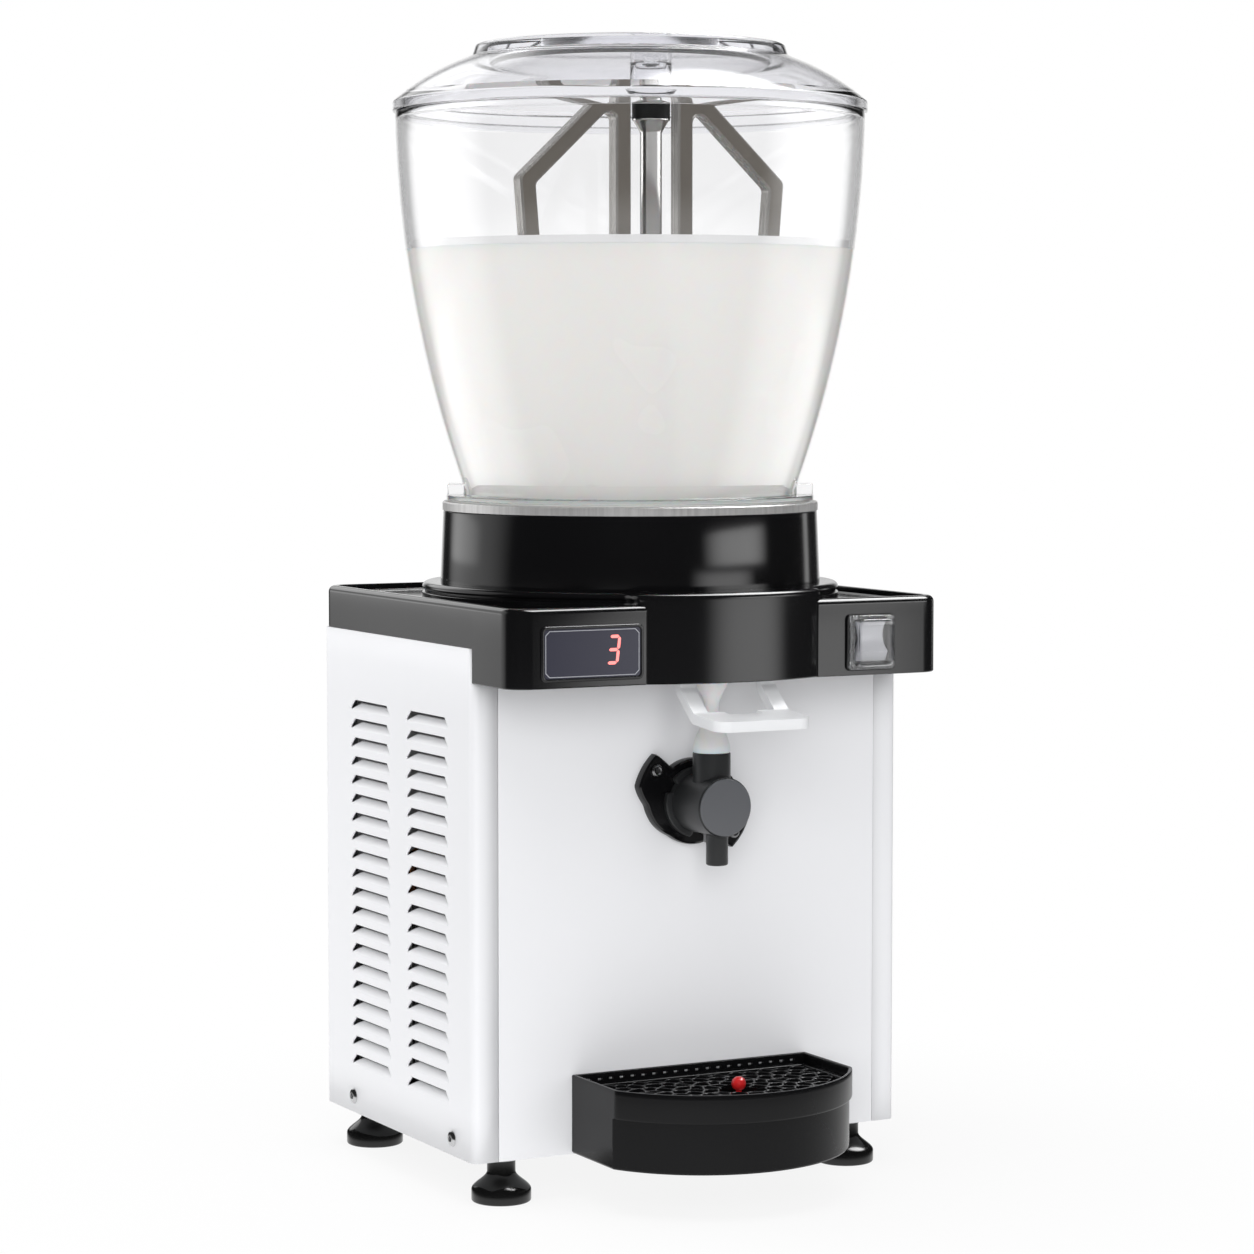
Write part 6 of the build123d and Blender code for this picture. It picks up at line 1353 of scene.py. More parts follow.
@dataclass
class Controls:
    """Display in the left pod and the booted rocker switch in the right one."""

    display_x: float = -96.4
    bezel_half: tuple[float, float] = (34.25, 16.75)
    bezel_rim: float = 2.05
    switch_x: float = 96.8

    def bezel(self) -> Surface:
        """Display frame: a section carried between the outer and the window outline.

        Returns:
            The closed frame.
        """
        place = (self.display_x, POD_Z)
        outer = box_outline(*self.bezel_half, 3.5, place)
        inner = box_outline(*self.within(self.bezel_rim), 2.0, place)
        front = [(0, 0.7), (0.12, 1.2), (0.35, 1.5), (0.7, 1.5), (0.9, 1.3), (1, 0.9)]
        section = [(0, POD_Y + 1), *((t, POD_Y - h) for t, h in front), (1, POD_Y + 3)]
        return between(outer, inner, section, Axis.Y)

    def within(self, less: float) -> tuple[float, float]:
        """Half width and half height of the bezel less an inset."""
        return self.bezel_half[0] - less, self.bezel_half[1] - less

    def case(self) -> Surface:
        """Case of the display behind the pod's face.

        Returns:
            The closed box.
        """
        half_x, half_z = self.within(1.05)
        low = np.array([self.display_x - half_x, POD_Y + 4, POD_Z - half_z])
        return bricks(low, low + np.array([2 * half_x, 30, 2 * half_z]))

    def window(self) -> Surface:
        """Tinted window, set a little below the frame's face.

        Returns:
            The closed pane.
        """
        place = (self.display_x, POD_Z)
        outline = box_outline(*self.within(self.bezel_rim + 0.1), 2.0, place)
        return stacked([outline, outline], [POD_Y - 0.75, POD_Y + 0.75], Axis.Y)

    def outline(self) -> Surface:
        """Thin line with cut corners just inside the window's edge.

        Returns:
            The closed line.
        """

        def ring(half_x: float, half_z: float, cut: float) -> Array:
            """Rectangle about the display's middle with its corners cut off.

            Args:
                half_x: half the width.
                half_z: half the height.
                cut: what each corner loses along both sides.

            Returns:
                The eight corners.
            """
            half = [(half_x, -half_z + cut), (half_x, half_z - cut)]
            half += [(half_x - cut, half_z), (-half_x + cut, half_z)]
            return np.array(half + [(-x, -z) for x, z in half]) + np.array([self.display_x, POD_Z])

        y = POD_Y - 0.75
        section = [(0, y), (0, y - 0.06), (1, y - 0.06), (1, y)]
        outer, inner = self.within(self.bezel_rim + 0.8), self.within(self.bezel_rim + 1.25)
        return between(ring(*outer, 2.6), ring(*inner, 2.4), section, Axis.Y)

    def digit(self) -> Surface:
        """Slanted seven-segment figure three: bars with pointed ends, sheared by a fixed slope.

        A bar ends in points, and its sides start half its thickness further in.

        Returns:
            All five bars as one surface.
        """
        width, height, thick, slope = 6.5, 15.8, 1.9, 0.12
        mids = ((0, 1, False), (0, 0, False), (0, -1, False), (1, 0.5, True), (1, -0.5, True))
        made = []
        for u, v, upright in mids:
            end, half = ((height / 2 if upright else width) - 0.5) / 2, thick / 2
            point = [(end, 0), (end - half, half), (half - end, half)]
            bar = np.array(point + [(-x, -z) for x, z in point])
            flat = (bar[:, ::-1] if upright else bar) + np.array([u * width / 2, v * height / 2])
            flat = flat + flat[:, 1:] * np.array([slope, 0]) + np.array([self.display_x + 14.0, POD_Z + 1.6])
            made.append(stacked([flat, flat], [POD_Y - 0.7, POD_Y - 0.82], Axis.Y))
        return made[0].joined(*made[1:])

    def frame(self) -> Surface:
        """Switch frame.

        Returns:
            The closed frame.
        """
        place = (self.switch_x, POD_Z)
        outer, inner = box_outline(17.25, 17.5, 3.0, place), box_outline(11.3, 13.6, 0.8, place)
        front = [(0, 1.4), (0.06, 1.85), (0.16, 2.0), (0.9, 2.0), (1, 1.6)]
        section = [(0, POD_Y + 1), *((t, POD_Y - h) for t, h in front), (1, POD_Y + 6)]
        return between(outer, inner, section, Axis.Y)

    def switch_case(self) -> Surface:
        """Case of the switch behind the pod's face."""
        low = np.array([self.switch_x - 13, POD_Y + 10, POD_Z - 15.2])
        return bricks(low, low + np.array([26, 20, 30.4]))

    def boot(self) -> Surface:
        """Boot as an open sheet: outlines that step from the flange up to a soft cushion face.

        A row gives an outline's half width, half height, corner radius and place along Y.

        Returns:
            The open sheet.
        """
        place = (self.switch_x, POD_Z)
        flange = [(16.4, 16.7, 2.6, -2.05), (16.4, 16.7, 2.6, -2.9), (15.9, 16.2, 2.4, -3.2)]
        wall = [(14.0, 15.9, 3.0, -3.25), (12.9, 15.0, 3.4, -3.5), (12.8, 14.9, 3.6, -8.2)]
        face = [(12.5, 14.6, 3.6, -9.1), (11.6, 13.7, 3.2, -9.6)]
        face += [(8.0, 10.0, 2.4, -9.75), (3.0, 4.0, 1.0, -9.7)]
        rows = flange + wall + face
        flat = np.stack([box_outline(u, v, r, place, 6) for u, v, r, _ in rows])
        rings = in_space(flat, np.array([POD_Y + row[3] for row in rows])[:, None], Axis.Y)
        columns = rings.shape[1]
        faces = quads(len(rows), columns).tolist()
        last = (len(rows) - 1) * columns
        faces.append([last + k for k in range(columns)])
        return Surface(rings.reshape(-1, 3), faces)

    def rocker(self) -> Surface:
        """Rocker: rings in plan up its height, waisted and dished, with a bevelled lower end.

        Over the dish, both the waist and the dish follow 1 - u u, where u runs from -1 at
        the crest to 1 at the upper edge.

        Returns:
            The closed rocker.
        """
        crest, top, low, reach = -6.6, 11.4, -12.2, 7.4
        u = np.linspace(-1, 1, 15)
        dish = 1 - u**2
        z = np.concatenate([[low, low + 0.3, crest - 0.4], (crest + top) / 2 + u * (top - crest) / 2, [12.2]])
        face = -reach + np.concatenate([[3.8, 3.4, 0.15], 1.6 * dish, [0.7]])
        half = np.concatenate([[10.2, 10.6, 10.75], 10.75 - 2.0 * dish, [10.4]])
        x = np.stack([half, half, half - 0.7, -half + 0.7, -half, -half], -1)
        y = np.stack([np.full(len(z), 4.0), face + 0.7, face, face, face + 0.7, np.full(len(z), 4.0)], -1)
        tilt = math.radians(-8)
        rings = np.empty(x.shape + (3,))
        rings[..., 0] = self.switch_x + x
        rings[..., 1] = POD_Y + 4 + y * math.cos(tilt) - z[:, None] * math.sin(tilt)
        rings[..., 2] = POD_Z + y * math.sin(tilt) + z[:, None] * math.cos(tilt)
        return skin(rings)

    def build(self) -> None:
        """Places the display and the switch."""
        bezel = self.bezel().joined(self.case())
        place_piece("bezel_frame", bezel, BEZEL, "cabinet", ("display_bezel",))
        place_piece("window_pane", self.window(), GLASS, "cabinet", ("display_glass",))
        place_piece("window_line", self.outline(), LINE, "cabinet")
        place_piece("lit_digit", self.digit(), DIGIT, "cabinet")
        frame = self.frame().joined(self.switch_case())
        place_piece("switch_frame", frame, GLOSS, "cabinet", ("switch_housing",))
        boot = place_piece("boot_skin", self.boot(), BOOT, "cabinet", ("switch_boot",), 60)
        add_solidify(boot, 0.8, -1.0)
        place_piece("rocker_face", self.rocker(), ROCKER, "rocker", ("rocker",), 30)


@dataclass
class Tray:
    """Drip tray, its pebble grid and the float."""

    half: float = 83.0
    front_r: float = 95.0
    corner_r: float = 9.0
    centre_y: float = FRONT_Y - 12.0
    rear_y: float = FRONT_Y - 0.3
    pitch: float = 10.2
    jitter: float = 2.7
    rib: float = 1.5
    angles: int = 48
    slots: int = 20
    slot_pitch: float = 7.6
    slot_half: float = 1.7
    slot_low: float = 72.8
    slot_high: float = 74.2
    grid_gap: float = 2.9
    grid_low: float = 68.0
    grid_top: float = 71.0
    grid_border: float = 3.0
    float_room: float = 6.8

    def plan(self, less: float, front_less: float | None = None, corner: float | None = None) -> Array:
        """Tray's plan less an inset: straight sides, a round front and round corners.

        The corner's centre lies a radius inside the side, and the front radius less its
        own from the front arc's centre. The rear line has a point at each slot's edges.

        Args:
            less: inset of the sides and the rear.
            front_less: inset of the front, the same if left out.
            corner: the corner's radius, worked out from the inset if left out.

        Returns:
            The outline, clockwise from the right rear corner.
        """
        h, r = self.half - less, self.front_r - (less if front_less is None else front_less)
        c = max(self.corner_r - less / 2, 1.0) if corner is None else corner
        corner_y = self.centre_y - math.sqrt((r - c) ** 2 - (h - c) ** 2)
        lean = math.degrees(math.atan2(corner_y - self.centre_y, h - c))
        rear = self.rear_y - less
        side = np.array([[h, rear], [h, (rear + corner_y) / 2], [h, corner_y + 0.6]])
        right = np.concatenate([side, arc((h - c, corner_y), c, 0, lean, 8)])
        front = arc((0, self.centre_y), r, lean, -180 - lean, 64)
        rear_line = np.stack([self.slot_edges(), np.full(2 * self.slots, rear)], -1)
        return np.concatenate([right, front[1:-1], right[::-1] * np.array([-1, 1]), rear_line])

    def slot_edges(self) -> Array:
        """Places along X of both edges of every slot in the rear wall."""
        middles = (np.arange(self.slots) - (self.slots - 1) / 2) * self.slot_pitch
        return (middles[:, None] + np.array([-self.slot_half, self.slot_half])).ravel()

    def pan(self) -> Surface:
        """Tray: its plan at insets and heights up the outside, over the rim and down to the floor.

        Below the step, the front's radius is smaller and meets the sides at a crease. The
        slots' quads are left out of both faces of the rear wall, and each slot's four
        walls join the two.

        Returns:
            The closed tray with its slots.
        """
        lower = [(1.8, 28.5), (0.7, 28.8), (0.0, 29.8), (0.0, 59.6)]
        outlines = [self.plan(d, d + 1.8, 2.0) for d, _ in lower]
        lip = [(1.3, 59.75), (0.5, 60.0), (0.12, 60.5), (0.0, 61.2)]
        outlines += [self.plan(0, d) for d, _ in lip]
        upper = [(0, self.slot_low), (0, self.slot_high), (0, 76.6), (0.3, 77.3), (1.0, 77.5), (1.7, 77.4)]
        upper += [(2.3, 77.0), (2.5, 76.3), (2.5, self.slot_high), (2.5, self.slot_low), (2.5, 68.0)]
        upper += [(5.0, 67.9), (5.0, 34.0), (5.6, 32.2), (7.4, 31.5)]
        outlines += [self.plan(d) for d, _ in upper]
        heights = [z for _, z in lower + lip + upper]
        pan = stacked(outlines, heights, Axis.Z)
        columns = len(outlines[0])
        first = (columns - 2 * self.slots + 2 * np.arange(self.slots)).tolist()
        sills = [k for k, z in enumerate(heights) if z in (self.slot_low, self.slot_high)]
        kept = [face for face in pan.faces if not self.in_slot(face, columns, sills, first)]
        low_out, high_out, high_in, low_in = (row * columns for row in sills)
        walls = []
        for c in first:
            for outside, inside in ((low_out, low_in), (high_out, high_in)):
                walls.append([outside + c, outside + c + 1, inside + c + 1, inside + c])
            for k in (c, c + 1):
                walls.append([low_out + k, high_out + k, high_in + k, low_in + k])
        return Surface(pan.points, kept + walls)

    @staticmethod
    def in_slot(face: list[int], columns: int, sills: list[int], first: list[int]) -> bool:
        """Whether a quad lies in one of the slots' openings.

        Args:
            face: the quad's corner numbers.
            columns: points in each outline.
            sills: rows at the slots' lower and upper edges.
            first: places of the slots' first edges in a row.

        Returns:
            True if it is part of an opening.
        """
        rows, places = {c // columns for c in face}, {c % columns for c in face}
        if rows not in ({sills[0], sills[1]}, {sills[2], sills[3]}) or len(places) != 2:
            return False
        return min(places) in first

    def tongues(self) -> Surface:
        """Two tongues behind the tray."""
        lows = np.array([[x - 10, self.rear_y - 2.7, 52.4] for x in (-45, 45)])
        return bricks(lows, lows + np.array([20, 27, 3]))

    def seeds(self) -> Array:
        """Staggered seed points, each moved a little by a fixed pair of sine waves.

        Returns:
            Places in X and Y.
        """
        depth = self.front_r + FRONT_Y - self.centre_y
        rows, columns = math.ceil(2 * depth / self.pitch), math.ceil(2 * self.half / self.pitch)
        j, i = np.meshgrid(np.arange(-1, rows), np.arange(-columns // 2 - 1, columns // 2 + 2), indexing="ij")
        wave = 12.9898 * i + 78.233 * j
        x = (i + 0.5 * (j % 2)) * self.pitch * 1.1 + self.jitter * np.sin(wave * 1.7)
        y = self.rear_y - j * self.pitch * 0.8 + self.jitter * np.sin(wave * 2.3 + 1)
        return np.stack([x.ravel(), y.ravel()], -1)

    def cells(self) -> tuple[Array, Array]:
        """Cell outlines about the seeds, as radii over a fan of angles.

        A cell's radius at an angle is the least of (gap / 2) / cos(angle - bearing) over
        its neighbours.

        Returns:
            The seeds and their cells' radii.
        """
        seeds = self.seeds()
        gap = seeds[None] - seeds[:, None]
        distance, bearing = np.hypot(gap[..., 0], gap[..., 1]), np.arctan2(gap[..., 1], gap[..., 0])
        a = full_turn(self.angles)
        cosine = np.cos(a[None, None] - bearing[..., None])
        least, far = 0.05, 99.0
        near = (distance[..., None] > 0) & (cosine > least)
        radius = np.where(near, distance[..., None] / 2 / np.maximum(cosine, least), far).min(1)
        return seeds, radius

    def grid(self) -> Surface:
        """Pebble grid: a plate with a round-edged well at every cell.

        A hole's edge lies half a rib inside its cell's border, with its corners softened
        by a running mean. A cell whose hole would cross the rim or the float's place is
        left out.

        Returns:
            The grid without its border.
        """
        seeds, radius = self.cells()
        way = units(full_turn(self.angles))
        less = self.grid_gap + self.grid_border
        hole = np.maximum(radius - self.rib / 2, 0.5)
        smooth = sum(np.roll(hole, k, 1) for k in (-3, -2, -1, 0, 1, 2, 3)) / 7
        hole = np.minimum(hole, smooth)
        edge = seeds[:, None] + hole[..., None] * way
        x, y = edge[..., 0], edge[..., 1]
        fits = (np.abs(x) < self.half - less) & (y < self.rear_y - less)
        fits &= (y > self.centre_y) | (np.hypot(x, y - self.centre_y) < self.front_r - less)
        fits &= np.hypot(x - FLOAT_X, y - FLOAT_Y) > self.float_room
        keep = fits.all(1)
        return self.wells(seeds[keep], radius[keep], hole[keep], way)

    def wells(self, seeds: Array, radius: Array, hole: Array, way: Array) -> Surface:
        """Rings of every open cell from the rib's crest into the hole and under the plate.

        Args:
            seeds: middles of the open cells.
            radius: their borders' radii.
            hole: their holes' radii.
            way: unit vectors of the fan of angles.

        Returns:
            One closed ring for each cell.
        """
        top, low = self.grid_top, self.grid_low
        bend = [(0.0, 0.02), (0.35, 0.02), (0.75, 0.22), (0.95, 0.7), (1.0, 1.2)]
        rows = [(0.0, low), *((t, top - drop) for t, drop in bend), (1.0, low)]
        rings = []
        for t, z in rows:
            reach = radius + (hole - radius) * t
            flat = seeds[:, None] + reach[..., None] * way
            rings.append(np.concatenate([flat, np.full(flat.shape[:2] + (1,), z)], -1))
        grid = np.stack(rings, 1)
        cells, count, columns = grid.shape[:3]
        one = quads(count, columns, wrap_rows=True)
        faces = (one[None] + (np.arange(cells) * count * columns)[:, None, None]).reshape(-1, 4)
        return Surface(grid.reshape(-1, 3), faces.tolist()).outward()

    def rim(self) -> Surface:
        """Border of the grid outside the open cells.

        Returns:
            The closed border.
        """
        low, top, d = self.grid_low, self.grid_top, self.grid_gap
        rows = [(d, low), (d, top - 0.3), (d + 0.3, top)]
        rows += [(d + 3.5, top), (d + 3.9, top - 0.4), (d + 3.9, low)]
        return stacked([self.plan(d) for d, _ in rows], [z for _, z in rows], Axis.Z, loop=True)

    def float_ball(self) -> Surface:
        """Float: disc, stem and ball turned about one axis.

        Returns:
            The closed float.
        """
        ball_z, low, high, stem_r = 74.6, 31.8, 41.8, 1.8
        ball = arc((0, ball_z), 4.5, -62, 88, 24)
        stem = [(0.4, low, 0), (12, low, 1), (12, high, 1), (stem_r, high, 0), (stem_r, ball_z - 4.2, 0)]
        profile = np.concatenate([rounded(stem, loop=False), ball])
        return turned(profile, (FLOAT_X, FLOAT_Y), steps=48)

    def build(self) -> None:
        """Places the tray, the grid and the float."""
        pan, grid, ball = self.pan().joined(self.tongues()), self.grid().joined(self.rim()), self.float_ball()
        place_piece("tray_pan", pan, SATIN, "drip_tray", ("drip_tray",))
        place_piece("pebble_grid", grid, SATIN, "drip_grid", ("drip_grid",), 50)
        place_piece("float_ball", ball, RED, "float_indicator", ("float_indicator",))


@dataclass
class Feet:
    """Four levelling feet."""

    inset_x: float = 27.0
    inset_y: float = 17.0
    pad_r: float = 18.5
    neck_r: float = 8.8
    pad_z: float = 7.4

    def places(self) -> dict[str, tuple[float, float]]:
        """Each foot's name and the place of its axis.

        Returns:
            Places in X and Y under the names.
        """
        x = HALF_X - self.inset_x
        rows = {"front": FRONT_Y + self.inset_y, "rear": BACK_Y - self.inset_y}
        sides = {"left": -x, "right": x}
        return {f"foot_{row}_{side}": (sides[side], rows[row]) for row in rows for side in sides}

    def build(self) -> None:
        """Turns one foot and places it at each corner."""
        z = np.linspace(8.6, 18.6, 14)
        dome = np.stack([self.pad_r - (self.pad_r - self.neck_r) * smooth_step(z, self.pad_z, 18.6), z], -1)
        pad = rounded([(0.5, 0, 0), (self.pad_r, 0, 1.5), (self.pad_r, self.pad_z, 0)], loop=False)
        stud = [[self.neck_r, 25.5], [4, 25.7], [4, 48.0]]
        profile = np.concatenate([pad, dome, stud])
        for name, place in self.places().items():
            place_piece(f"{name}_pad", turned(profile, place, steps=72), FOOT, name, (name,))


class Reach(Enum):
    """Which surfaces a lamp lights."""

    SHINE = "reflections only"
    FILL = "matt surfaces only"


@dataclass(frozen=True)
class Lamp:
    """Rectangular lamp at a bearing from the camera's side, aimed at the machine.

    The bearing is in degrees from the camera's side towards the right of the view; the
    distance, the height above the table and the size are in metres; the radiance is the
    brightness of the lamp's face. Pieces named in "only" are the only ones that it lights.
    """

    name: str
    bearing: float
    distance: float
    height: float
    size: tuple[float, float]
    radiance: float
    reach: Reach = Reach.FILL
    only: tuple[str, ...] = ()


@dataclass(frozen=True)
class Glint:
    """Small light of the world, seen in reflections only.

    Its strength falls off by a smooth ramp of the dot product with its direction.
    """

    way: tuple[float, float, float]
    span: tuple[float, float]
    strength: float


# Power of a rectangular lamp of unit area and unit radiance
UNIT_POWER = 4

# Pieces that the cards for reflections light
MOULDINGS = (
    "cover_moulding", "drum_wall", "bezel_frame", "window_pane", "switch_frame", "boot_skin", "rocker_face",
)
INNER = (
    "plate_band", "shaft_bar", "paddle_right_loop", "paddle_left_loop", "chamber_body", "chamber_disc",
    "lever_plate",
)

# The world's glints and the lamps
GLINTS = (
    Glint((0.465, -0.05, 0.885), (0.9, 0.96), 16.0),
    Glint((0.0, 0.885, 0.465), (0.94, 0.98), 1.6),
)
LAMPS = (
    Lamp("left_card", -108, 1.3, 0.65, (1.9, 1.4), 0.75, Reach.SHINE, MOULDINGS + INNER),
    Lamp("left_low", -118, 1.3, 0.43, (1.0, 0.2), 0.8, Reach.SHINE, MOULDINGS),
    Lamp("right_low", 53.6, 0.5, 0.307, (0.41, 0.13), 2.0, Reach.SHINE, MOULDINGS),
    Lamp("right_high", 63, 0.572, 0.4225, (0.507, 0.1), 3.0, Reach.SHINE, MOULDINGS),
    Lamp("rear_strip", 132, 1.6, 0.4, (0.26, 0.5), 1.0, Reach.SHINE, MOULDINGS + INNER),
    Lamp("bowl_left", -106, 1.3, 0.12, (1.9, 1.45), 1.6, Reach.SHINE, ("bowl_wall",)),
    Lamp("bowl_right", 102, 1.3, 0.12, (2.1, 1.45), 1.7, Reach.SHINE, ("bowl_wall",)),
    Lamp("left_box", -110, 1.3, 0.35, (1.15, 2.0), 1.85),
    Lamp("right_box", 60, 1.45, 0.45, (0.9, 2.0), 0.65),
    Lamp("rear_left", -142, 1.5, 0.55, (0.9, 1.6), 0.5),
    Lamp("rear_right", 118, 1.5, 0.55, (0.9, 1.6), 0.5),
    Lamp("drink_left", -142, 1.5, 0.55, (0.9, 1.6), 0.9, Reach.FILL, ("drink",)),
    Lamp("drink_right", 118, 1.5, 0.55, (0.9, 1.6), 1.0, Reach.FILL, ("drink",)),
    Lamp("top_box", -20, 0.5, 2.0, (1.6, 1.6), 2.8),
    Lamp("front_box", 0, 2.6, 0.9, (2.4, 2.0), 3.3),
)


@dataclass
class Stage:
    """White floor and world, the lamps and the camera."""

    eye: tuple[float, float, float] = (-1.0971, -2.06665, 0.5107)
    yaw: float = 27.7
    pitch: float = 4.01
    lens: float = 106.07
    fill: float = 0.32
    aim: tuple[float, float, float] = (0.0, 0.02, 0.38)
    floor_r: float = 0.62

    def world(self) -> None:
        """Studio all round: white to the camera, and in reflections white behind the machine only.

        The share of white is a smooth ramp of the dot product of the ray's direction and
        the camera's forward direction, wider for rays through clear pieces. Elsewhere there
        is a pale floor below the level, and a pale ceiling for rays through clear pieces.
        Two glints, which round edges pick up as thin lines, show in reflections only. Rays
        that have met a matt surface see an even grey.
        """
        world = bpy.data.worlds.new("studio")
        world.use_nodes = True
        bpy.context.scene.world = world
        tree = world.node_tree
        nodes, links = tree.nodes, tree.links
        nodes.clear()
        path, place = nodes.new("ShaderNodeLightPath"), nodes.new("ShaderNodeTexCoord")
        camera_ray, depth = path.outputs["Is Camera Ray"], path.outputs["Transmission Depth"]
        turn = math.radians(self.yaw)
        facing = self.dot(tree, place, (math.sin(turn), math.cos(turn), 0.0))
        wide = self.ramp(tree, facing, (0.8, 0.97), (0.0, 1.0))
        through = self.maths(tree, "MULTIPLY", wide, path.outputs["Is Transmission Ray"])
        behind = self.ramp(tree, facing, (0.92, 0.985), (0.0, 1.0))
        share = self.maths(tree, "MAXIMUM", behind, through)
        seen = self.maths(tree, "MAXIMUM", share, camera_ray)
        rise = self.dot(tree, place, (0.0, 0.0, 1.0))
        below = self.ramp(tree, rise, (-0.2, -0.11), (0.95, 0.03))
        above = self.ramp(tree, rise, (0.02, 0.35), (0.1, 0.8))
        inside = self.maths(tree, "GREATER_THAN", depth, 0.5)
        sky = nodes.new("ShaderNodeMix")
        sky.data_type = "RGBA"
        sky.inputs["B"].default_value = (1, 1, 1, 1)
        links.new(self.maths(tree, "MULTIPLY_ADD", above, inside, below), sky.inputs["A"])
        links.new(seen, sky.inputs["Factor"])
        ramps = [self.ramp(tree, self.dot(tree, place, g.way), g.span, (0.0, g.strength)) for g in GLINTS]
        outside = self.maths(tree, "LESS_THAN", self.maths(tree, "ADD", camera_ray, depth), 0.5)
        first = self.maths(tree, "MULTIPLY", outside, path.outputs["Is Glossy Ray"])
        lit = nodes.new("ShaderNodeVectorMath")
        links.new(sky.outputs["Result"], lit.inputs[0])
        links.new(self.maths(tree, "MULTIPLY", self.maths(tree, "ADD", *ramps), first), lit.inputs[1])
        studio, fill = nodes.new("ShaderNodeBackground"), nodes.new("ShaderNodeBackground")
        links.new(lit.outputs["Vector"], studio.inputs["Color"])
        fill.inputs["Color"].default_value = (self.fill, self.fill, self.fill * 1.01, 1)
        mix, out = nodes.new("ShaderNodeMixShader"), nodes.new("ShaderNodeOutputWorld")
        links.new(self.maths(tree, "GREATER_THAN", path.outputs["Diffuse Depth"], 0.5), mix.inputs["Fac"])
        links.new(studio.outputs[0], mix.inputs[1])
        links.new(fill.outputs[0], mix.inputs[2])
        links.new(mix.outputs[0], out.inputs["Surface"])

    @staticmethod
    def maths(tree: bpy.types.NodeTree, kind: str, *values: Socket | float) -> Socket:
        """Result of a maths node fed with sockets or plain numbers.

        Args:
            tree: node tree that gets the node.
            kind: the node's operation.
            values: its inputs in order.

        Returns:
            The node's output.
        """
        node = tree.nodes.new("ShaderNodeMath")
        node.operation = kind
        for socket, value in zip(node.inputs, values):
            if isinstance(value, float):
                socket.default_value = value
            else:
                tree.links.new(value, socket)
        return node.outputs[0]

    @staticmethod
    def dot(tree: bpy.types.NodeTree, place: bpy.types.Node, way: tuple[float, float, float]) -> Socket:
        """Dot product of a ray's direction and a fixed one.

        Args:
            tree: node tree that gets the node.
            place: texture coordinates that give the direction.
            way: the fixed direction.

        Returns:
            The node's output.
        """
        node = tree.nodes.new("ShaderNodeVectorMath")
        node.operation = "DOT_PRODUCT"
        node.inputs[1].default_value = way
        tree.links.new(place.outputs["Generated"], node.inputs[0])
        return node.outputs["Value"]

    @staticmethod
    def ramp(
        tree: bpy.types.NodeTree, value: Socket, span: tuple[float, float], out: tuple[float, float]
    ) -> Socket:
        """Smooth step of a value over a span, between two outputs.

        Args:
            tree: node tree that gets the node.
            value: the input.
            span: its values at both ends of the step.
            out: the outputs there.

        Returns:
            The node's output.
        """
        node = tree.nodes.new("ShaderNodeMapRange")
        node.interpolation_type = "SMOOTHSTEP"
        node.inputs["From Min"].default_value, node.inputs["From Max"].default_value = span
        node.inputs["To Min"].default_value, node.inputs["To Max"].default_value = out
        tree.links.new(value, node.inputs["Value"])
        return node.outputs["Result"]

    def floor(self) -> None:
        """White floor that keeps a soft shadow near the machine and ends where it has faded out.

        To the camera it is white with a small matt share that takes the shadow, and which
        fades out by a smooth ramp of the distance from the machine. Light from matt surfaces
        finds less of the white. Reflections look past it to the world's own floor.
        """
        a = full_turn(96)
        rim = self.floor_r * np.stack([np.cos(a), np.sin(a), 0 * a], -1)
        mesh = bpy.data.meshes.new("floor")
        mesh.from_pydata(rim.tolist(), [], [list(range(len(a)))])
        floor = bpy.data.objects.new("floor", mesh)
        bpy.context.scene.collection.objects.link(floor)
        material = bpy.data.materials.new("white_floor")
        material.use_nodes = True
        tree = material.node_tree
        nodes, links = tree.nodes, tree.links
        nodes.clear()
        matt, glow = nodes.new("ShaderNodeBsdfDiffuse"), nodes.new("ShaderNodeEmission")
        matt.inputs["Color"].default_value = (0.88, 0.88, 0.88, 1)
        glow.inputs["Color"].default_value = (1, 1, 1, 1)
        path, place = nodes.new("ShaderNodeLightPath"), nodes.new("ShaderNodeTexCoord")
        away = nodes.new("ShaderNodeVectorMath")
        away.operation = "LENGTH"
        links.new(place.outputs["Object"], away.inputs[0])
        ramp = self.ramp(tree, away.outputs["Value"], (0.15, 0.55), (0.88, 1.0))
        first = self.maths(tree, "LESS_THAN", path.outputs["Diffuse Depth"], 0.5)
        seen = self.maths(tree, "MAXIMUM", first, 0.6)
        share = self.maths(tree, "MULTIPLY", seen, ramp)
        mix, out = nodes.new("ShaderNodeMixShader"), nodes.new("ShaderNodeOutputMaterial")
        links.new(share, mix.inputs["Fac"])
        links.new(matt.outputs[0], mix.inputs[1])
        links.new(glow.outputs[0], mix.inputs[2])
        links.new(mix.outputs[0], out.inputs["Surface"])
        mesh.materials.append(material)
        floor.visible_glossy = False

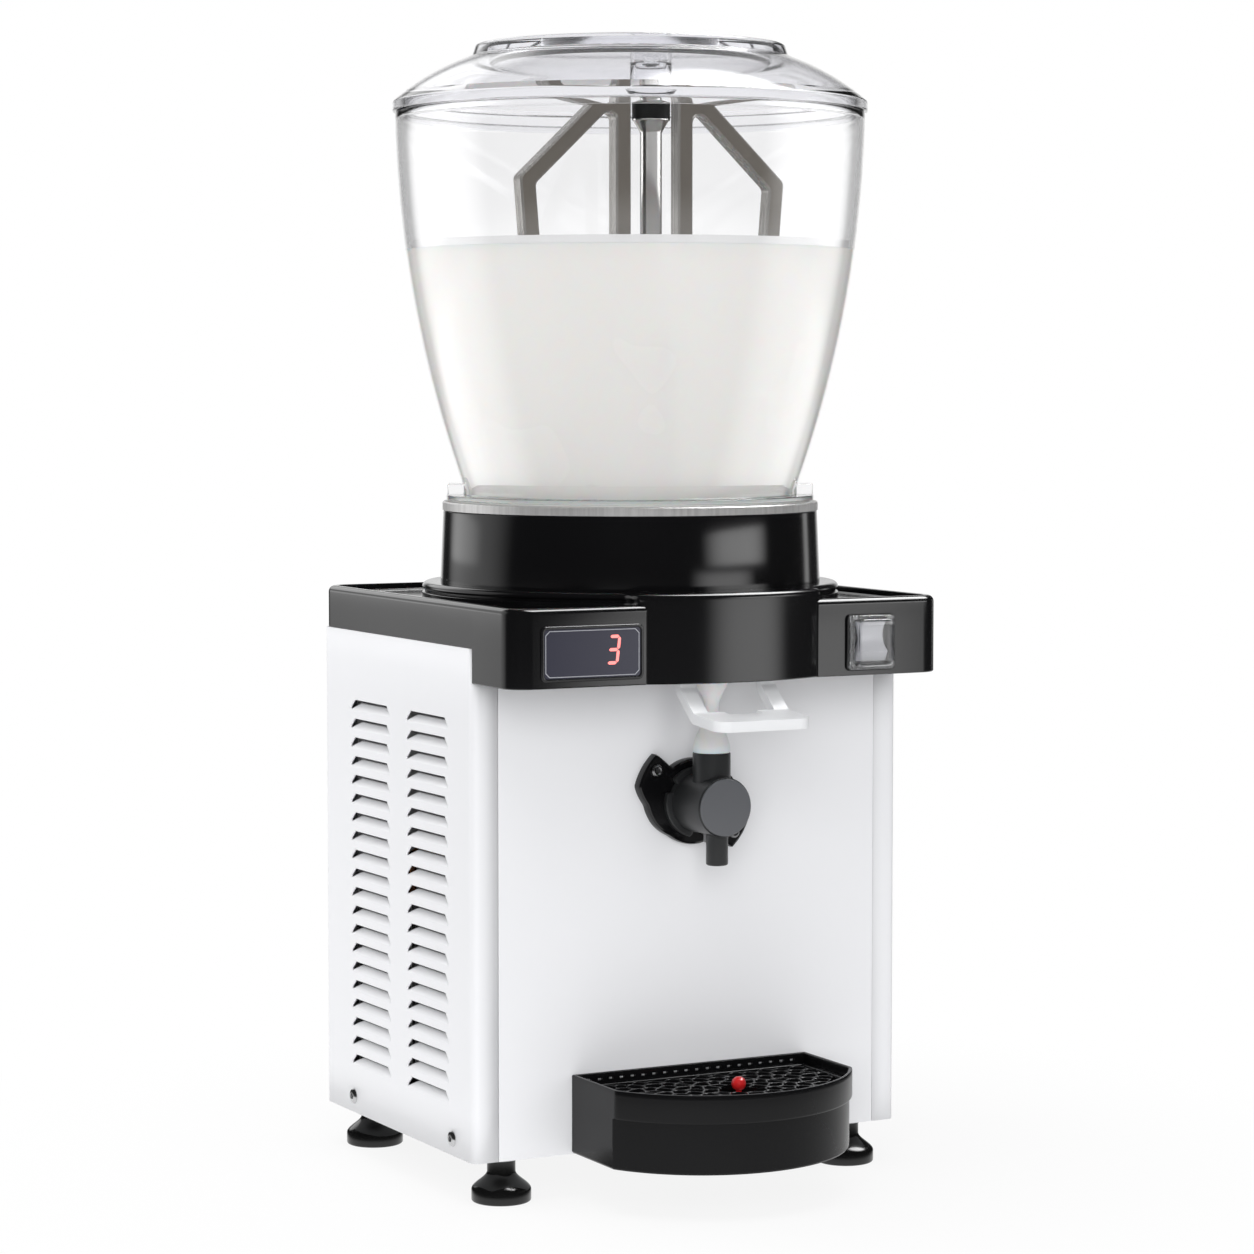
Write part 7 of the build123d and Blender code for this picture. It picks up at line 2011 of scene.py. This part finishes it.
    def lamp(self, lamp: Lamp) -> None:
        """Sets up one lamp.

        Args:
            lamp: its place, size and brightness.
        """
        a = math.radians(-90 - self.yaw + lamp.bearing)
        data = bpy.data.lights.new(lamp.name, "AREA")
        data.shape = "RECTANGLE"
        data.size, data.size_y = lamp.size
        data.energy = lamp.radiance * UNIT_POWER * lamp.size[0] * lamp.size[1]
        self.soften(data)
        obj = bpy.data.objects.new(lamp.name, data)
        place = np.array([lamp.distance * math.cos(a), lamp.distance * math.sin(a), lamp.height])
        ahead = np.array(self.aim) - place
        ahead = ahead / np.linalg.norm(ahead)
        obj.rotation_euler = Vector(ahead.tolist()).to_track_quat("-Z", "Y").to_euler()
        obj.location = place.tolist()
        obj.visible_camera = False
        obj.visible_diffuse = lamp.reach is Reach.FILL
        obj.visible_glossy = obj.visible_transmission = lamp.reach is Reach.SHINE
        if lamp.only:
            lit = bpy.data.collections.new(f"lit_by_{lamp.name}")
            for name in lamp.only:
                lit.objects.link(bpy.data.objects[name])
            obj.light_linking.receiver_collection = lit
        bpy.context.scene.collection.objects.link(obj)

    def soften(self, data: bpy.types.Light) -> None:
        """Lets a lamp's face fade out at its edges: smooth steps of u (1 - u) and v (1 - v).

        Args:
            data: the lamp.
        """
        data.use_nodes = True
        tree = data.node_tree
        face, sides = tree.nodes.new("ShaderNodeNewGeometry"), tree.nodes.new("ShaderNodeSeparateXYZ")
        tree.links.new(face.outputs["Parametric"], sides.inputs[0])
        fades = []
        for side, full in ((sides.outputs[0], 0.25), (sides.outputs[1], 0.1)):
            other = self.maths(tree, "SUBTRACT", 1.0, side)
            fades.append(self.ramp(tree, self.maths(tree, "MULTIPLY", side, other), (0.0, full), (0.0, 1.0)))
        glow = next(node for node in tree.nodes if node.type == "EMISSION")
        tree.links.new(self.maths(tree, "MULTIPLY", *fades), glow.inputs["Strength"])

    def camera(self) -> None:
        """Camera fitted to the photograph's view."""
        data = bpy.data.cameras.new("view")
        data.lens, data.sensor_width = self.lens, 36.0
        data.clip_end = 50.0
        obj = bpy.data.objects.new("view", data)
        obj.location = self.eye
        obj.rotation_euler = (math.radians(90 - self.pitch), 0, math.radians(-self.yaw))
        bpy.context.scene.collection.objects.link(obj)
        bpy.context.scene.camera = obj

    def build(self) -> None:
        """Sets up the whole stage."""
        self.world()
        self.floor()
        for lamp in LAMPS:
            self.lamp(lamp)
        self.camera()
        bpy.context.scene.view_settings.view_transform = "Standard"


def dress_nodes(frame: dict) -> None:
    """Gives every CAD node that still shows the finish of its material slot.

    Args:
        frame: the loaded frame, with its nodes' objects by name.
    """
    for obj in frame["nodes"].values():
        for slot in obj.material_slots:
            key = slot.material.name.split(".")[0] if slot.material else ""
            slot.material = SLOT_FINISHES.get(key, PAINT).material()


def main() -> None:
    """Loads the frame, dresses its nodes, and builds every sub-assembly and the stage."""
    logging.basicConfig(level=logging.INFO)
    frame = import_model()
    dress_nodes(frame)
    for part in (Cabinet(), Cover(), Tank(), Agitator(), Tap(), Controls(), Tray(), Feet(), Stage()):
        LOG.info("building %s", type(part).__name__)
        part.build()
    bpy.context.view_layer.update()


if __name__ == "__main__":
    main()
